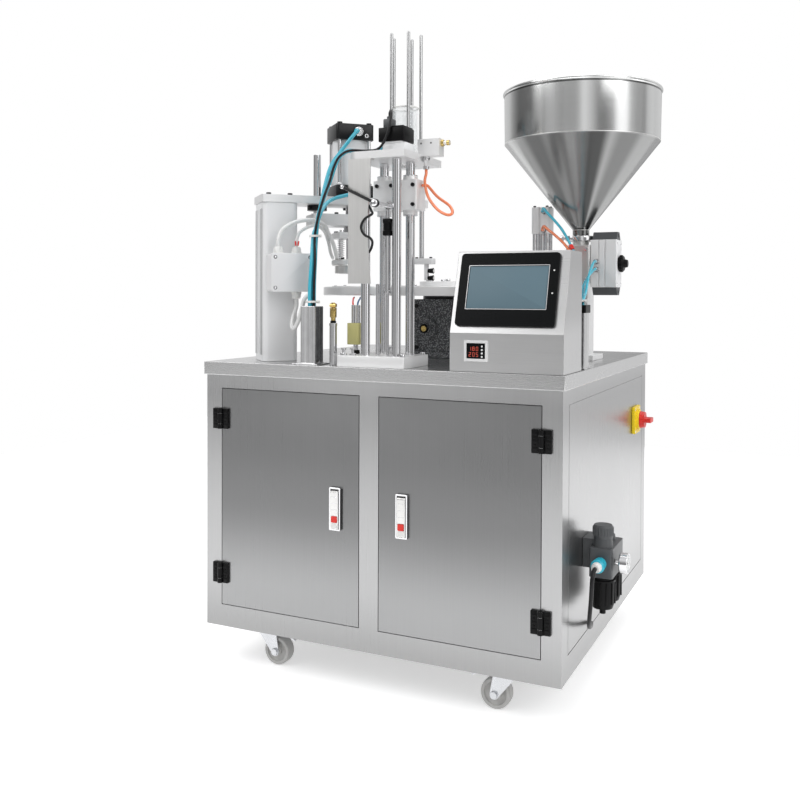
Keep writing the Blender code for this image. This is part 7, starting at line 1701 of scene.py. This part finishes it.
@dataclass
class Hoses(Assembly):
    """Air hoses, cables and conduits, each laid from one fitting to the next."""

    slider_bend: Bend = Bend("lid_slider", (0.548, 0.068, 0.9), (0.488, 0.090, 0.9))

    def tie(self, name: str, centre: Point, radius: float, node: str) -> None:
        """Bind a bundle with a strap: a band with a cut tail and its little head."""
        x, y, z = centre
        out = x + radius
        band = [post(x, y, z, z + 0.0045, radius),
                slab((out - 0.002, y - 0.003, z - 0.0008), (out + 0.0035, y + 0.002, z + 0.0050), 0.001),
                slab((out + 0.0005, y - 0.010, z + 0.0012), (out + 0.0017, y - 0.002, z + 0.0034), 0.0005)]
        self.piece(name, band, Look.TIE, instead=(node,))

    def vacuum(self) -> None:
        """Lay the orange vacuum loop from the valve to the slider, in two pieces split at its outermost
        point; the second carries the slider's bend.
        """
        line, node = smooth(VACUUM_ROUTE, 90), ("vacuum_hose",)
        turn = int(np.argmax(line[:, 0]))
        self.piece("vacuum_loop", swept(line[:turn + 1], AIR), Look.ORANGE_HOSE, instead=node)
        self.piece("vacuum_loop_end", swept(line[turn:], AIR), Look.ORANGE_HOSE, instead=node,
                   bend=self.slider_bend)

    def lay(self, node: str) -> None:
        """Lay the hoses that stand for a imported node, or those that stand for none."""
        for route in ROUTES:
            if route.node == node:
                self.piece(route.name, swept(smooth(route.points, route.count), route.radius), route.look,
                           instead=(node,) if node else (), bend=route.bend)

    def fittings(self) -> None:
        """Set the push-in fittings of the two press hoses."""
        way = Vector((1, -1, 0)).normalized()
        rings = [sleeve(Vector((0.2664, 0.1942, z)) - way * 0.0002, way, 0.0031, 0.0058, 0.006)
                 for z in (1.095, 0.9603)]
        self.piece("press_hose_fittings", rings, Look.TEAL)

    def make(self) -> None:
        """Lay every hose, cable and conduit, with its ties and fittings."""
        self.lay("sealer_harness")
        self.tie("upper_tie", (0.2436, 0.0494, 0.848), 0.0124, "sealer_harness")
        self.tie("lower_tie", (0.2455, 0.0365, 0.708), 0.0145, "sealer_harness")
        self.fittings()
        self.lay("heater_conduits")
        self.piece("conduit_tie", rod((0.200, 0.112, 0.8905), (0.202, 0.115, 0.8785), 0.0030), Look.TIE,
                   instead=("heater_conduits",))
        self.vacuum()
        self.lay("filler_harness")
        self.tie("filler_tie", (0.7785, 0.1925, 0.7125), 0.0125, "filler_harness")
        self.piece("hose_joint", rod((0.7265, 0.3228, 0.8345), (0.7325, 0.3162, 0.8250), 0.0048), Look.RED)
        self.lay("inlet_hose")
        self.lay("")


# Studio


@dataclass
class Studio:
    """The pale floor, the soft lights, the white surround and the camera.

    A light panel is the azimuth of its middle, its half width and its strength, in degrees.
    """

    focal_px: float = 925.59
    middle_px: tuple[float, float] = (401.18, 309.97)
    yaw: float = 0.4411
    pitch: float = 0.0155
    roll: float = 0.0037
    stand: tuple[float, float, float] = (1.254, -1.658, 0.724)
    sensor: float = 36.0
    clip_end: float = 60.0
    floor_half: float = 3.0
    floor_lift: float = 0.46
    room_strength: float = 0.80
    room_mirrored: float = 0.2
    panels: tuple[tuple[float, float, float], ...] = ((-30, 13, 0.40), (24, 12, 0.85), (74, 13, 1.90),
                                                      (128, 12, 0.75), (158, 24, 0.75), (-136, 30, 0.70))

    def camera(self) -> None:
        """Set the camera where the photograph was taken from."""
        level = Vector((math.cos(self.yaw), math.sin(self.yaw), 0))
        ahead = Vector((-level.y, level.x, 0)) * math.cos(self.pitch)
        forward = ahead - Vector((0, 0, math.sin(self.pitch)))
        above = level.cross(forward)
        right = level * math.cos(self.roll) + above * math.sin(self.roll)
        up = above * math.cos(self.roll) - level * math.sin(self.roll)
        data = bpy.data.cameras.new("camera")
        data.sensor_width = self.sensor
        data.lens = self.focal_px * self.sensor / IMAGE_SIDE
        data.shift_x = (IMAGE_SIDE / 2 - self.middle_px[0]) / IMAGE_SIDE
        data.shift_y = (self.middle_px[1] - IMAGE_SIDE / 2) / IMAGE_SIDE
        data.clip_end = self.clip_end
        camera = linked("camera", data)
        turn = Matrix((right, up, -forward)).transposed().to_4x4()
        camera.matrix_world = Matrix.Translation(Vector(self.stand) + Corner.shift) @ turn
        bpy.context.scene.camera = camera

    def seen(self, graph: Graph, mirrored: float = 1.0) -> Wire:
        """Say whether a ray comes from the camera or glass, or with a share of its own from metal."""
        path = graph.add("ShaderNodeLightPath").socket.node
        names = ("Is Camera Ray", "Is Transmission Ray", "Is Glossy Ray")
        camera, glass, metal = (Wire(graph, path.outputs[name]) for name in names)
        return camera.most(glass).most(metal * mirrored)

    def floor(self) -> None:
        """Lay the floor: pale, and lifted to white where the camera sees it unshaded."""
        half = self.floor_half
        mesh = bpy.data.meshes.new("floor")
        corners = [(-half, -half, 0), (half, -half, 0), (half, half, 0), (-half, half, 0)]
        mesh.from_pydata(corners, [], [(0, 1, 2, 3)])
        floor = linked("floor", mesh)
        material = bpy.data.materials.new("look_floor")
        graph = Graph(material)
        cloud = graph.noise(2.0, 2)
        pale = graph.add("ShaderNodeBsdfPrincipled", {}, {
            "Base Color": graph.shaded((0.84, 0.84, 0.84), 1 + (cloud - 0.5) * 0.01), "Roughness": 0.7,
            "Emission Color": (1, 1, 1, 1), "Emission Strength": self.seen(graph) * self.floor_lift})
        graph.add("ShaderNodeOutputMaterial", {}, {"Surface": pale})
        mesh.materials.append(material)

    def surround(self) -> None:
        """Paint the world: white to the camera, and a soft room of light panels to everything else.

        The room is grey at the horizon and white overhead. A panel is 1 less the smooth step of the
        distance in azimuth from its middle.
        """
        world = bpy.data.worlds.new("studio")
        bpy.context.scene.world = world
        graph = Graph(world)
        x, y, z = graph.split(graph.spot("Generated"))
        azimuth = graph.angle(x, y * -1)
        level = 0.12 + z.between(0.15, 0.75) * 0.90
        for middle, half, strength in self.panels:
            gap = azimuth.apart(middle).between(half * 0.5, half * 1.2)
            level = level + (1 - gap) * strength * (1 - z.between(0.5, 0.9))
        shade = graph.add("ShaderNodeCombineColor", {}, {0: level, 1: level, 2: level * 1.01})
        room = graph.add("ShaderNodeBackground", {}, {"Color": shade, "Strength": self.room_strength})
        plain = graph.add("ShaderNodeBackground", {}, {"Color": (1, 1, 1, 1), "Strength": 1.0})
        share = self.seen(graph, self.room_mirrored)
        mixed = graph.add("ShaderNodeMixShader", {}, {0: share, 1: room, 2: plain})
        graph.add("ShaderNodeOutputWorld", {}, {"Surface": mixed})

    def lamp(self, name: str, place: Point, height: float, size: float, power: float) -> None:
        """Hang one soft square lamp that faces the machine's axis.

        Args:
            name: Its name.
            place: Where it hangs.
            height: The height that it faces.
            size: The length of its side.
            power: Its power in watts.
        """
        data = bpy.data.lights.new(name, "AREA")
        data.size, data.energy = size, power
        lamp = linked(name, data)
        lamp.location = place
        lamp.rotation_euler = (Vector((0, 0, height)) - Vector(place)).to_track_quat("-Z", "Y").to_euler()

    def make(self) -> None:
        """Set up the whole studio."""
        bpy.context.scene.view_settings.view_transform = "Standard"
        self.camera()
        self.floor()
        self.surround()
        self.lamp("key_lamp", (-2.2, -2.6, 3.2), 0.6, 2.2, 52)
        self.lamp("fill_lamp", (2.8, -1.6, 2.6), 0.7, 2.0, 30)
        self.lamp("top_lamp", (0.2, 0.6, 3.6), 0.5, 2.4, 26)


ASSEMBLIES = (Cabinet, Castors, Console, SideGear, DialTable, Hopper, Filler, SealingPress, JunctionBox,
              Ducts, LidStation, Magazine, Hoses)


def main() -> None:
    logging.basicConfig(level=logging.INFO, format="%(name)s %(message)s")
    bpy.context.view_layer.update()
    Studio().make()
    for kind in ASSEMBLIES:
        assembly = kind()
        assembly.make()
        LOG.info("%s: %s pieces", kind.__name__, len(assembly.made))
    for name, node in frame["nodes"].items():
        if not node.hide_render:
            LOG.warning("%s is shown as packed", name)


if __name__ == "__main__":
    main()
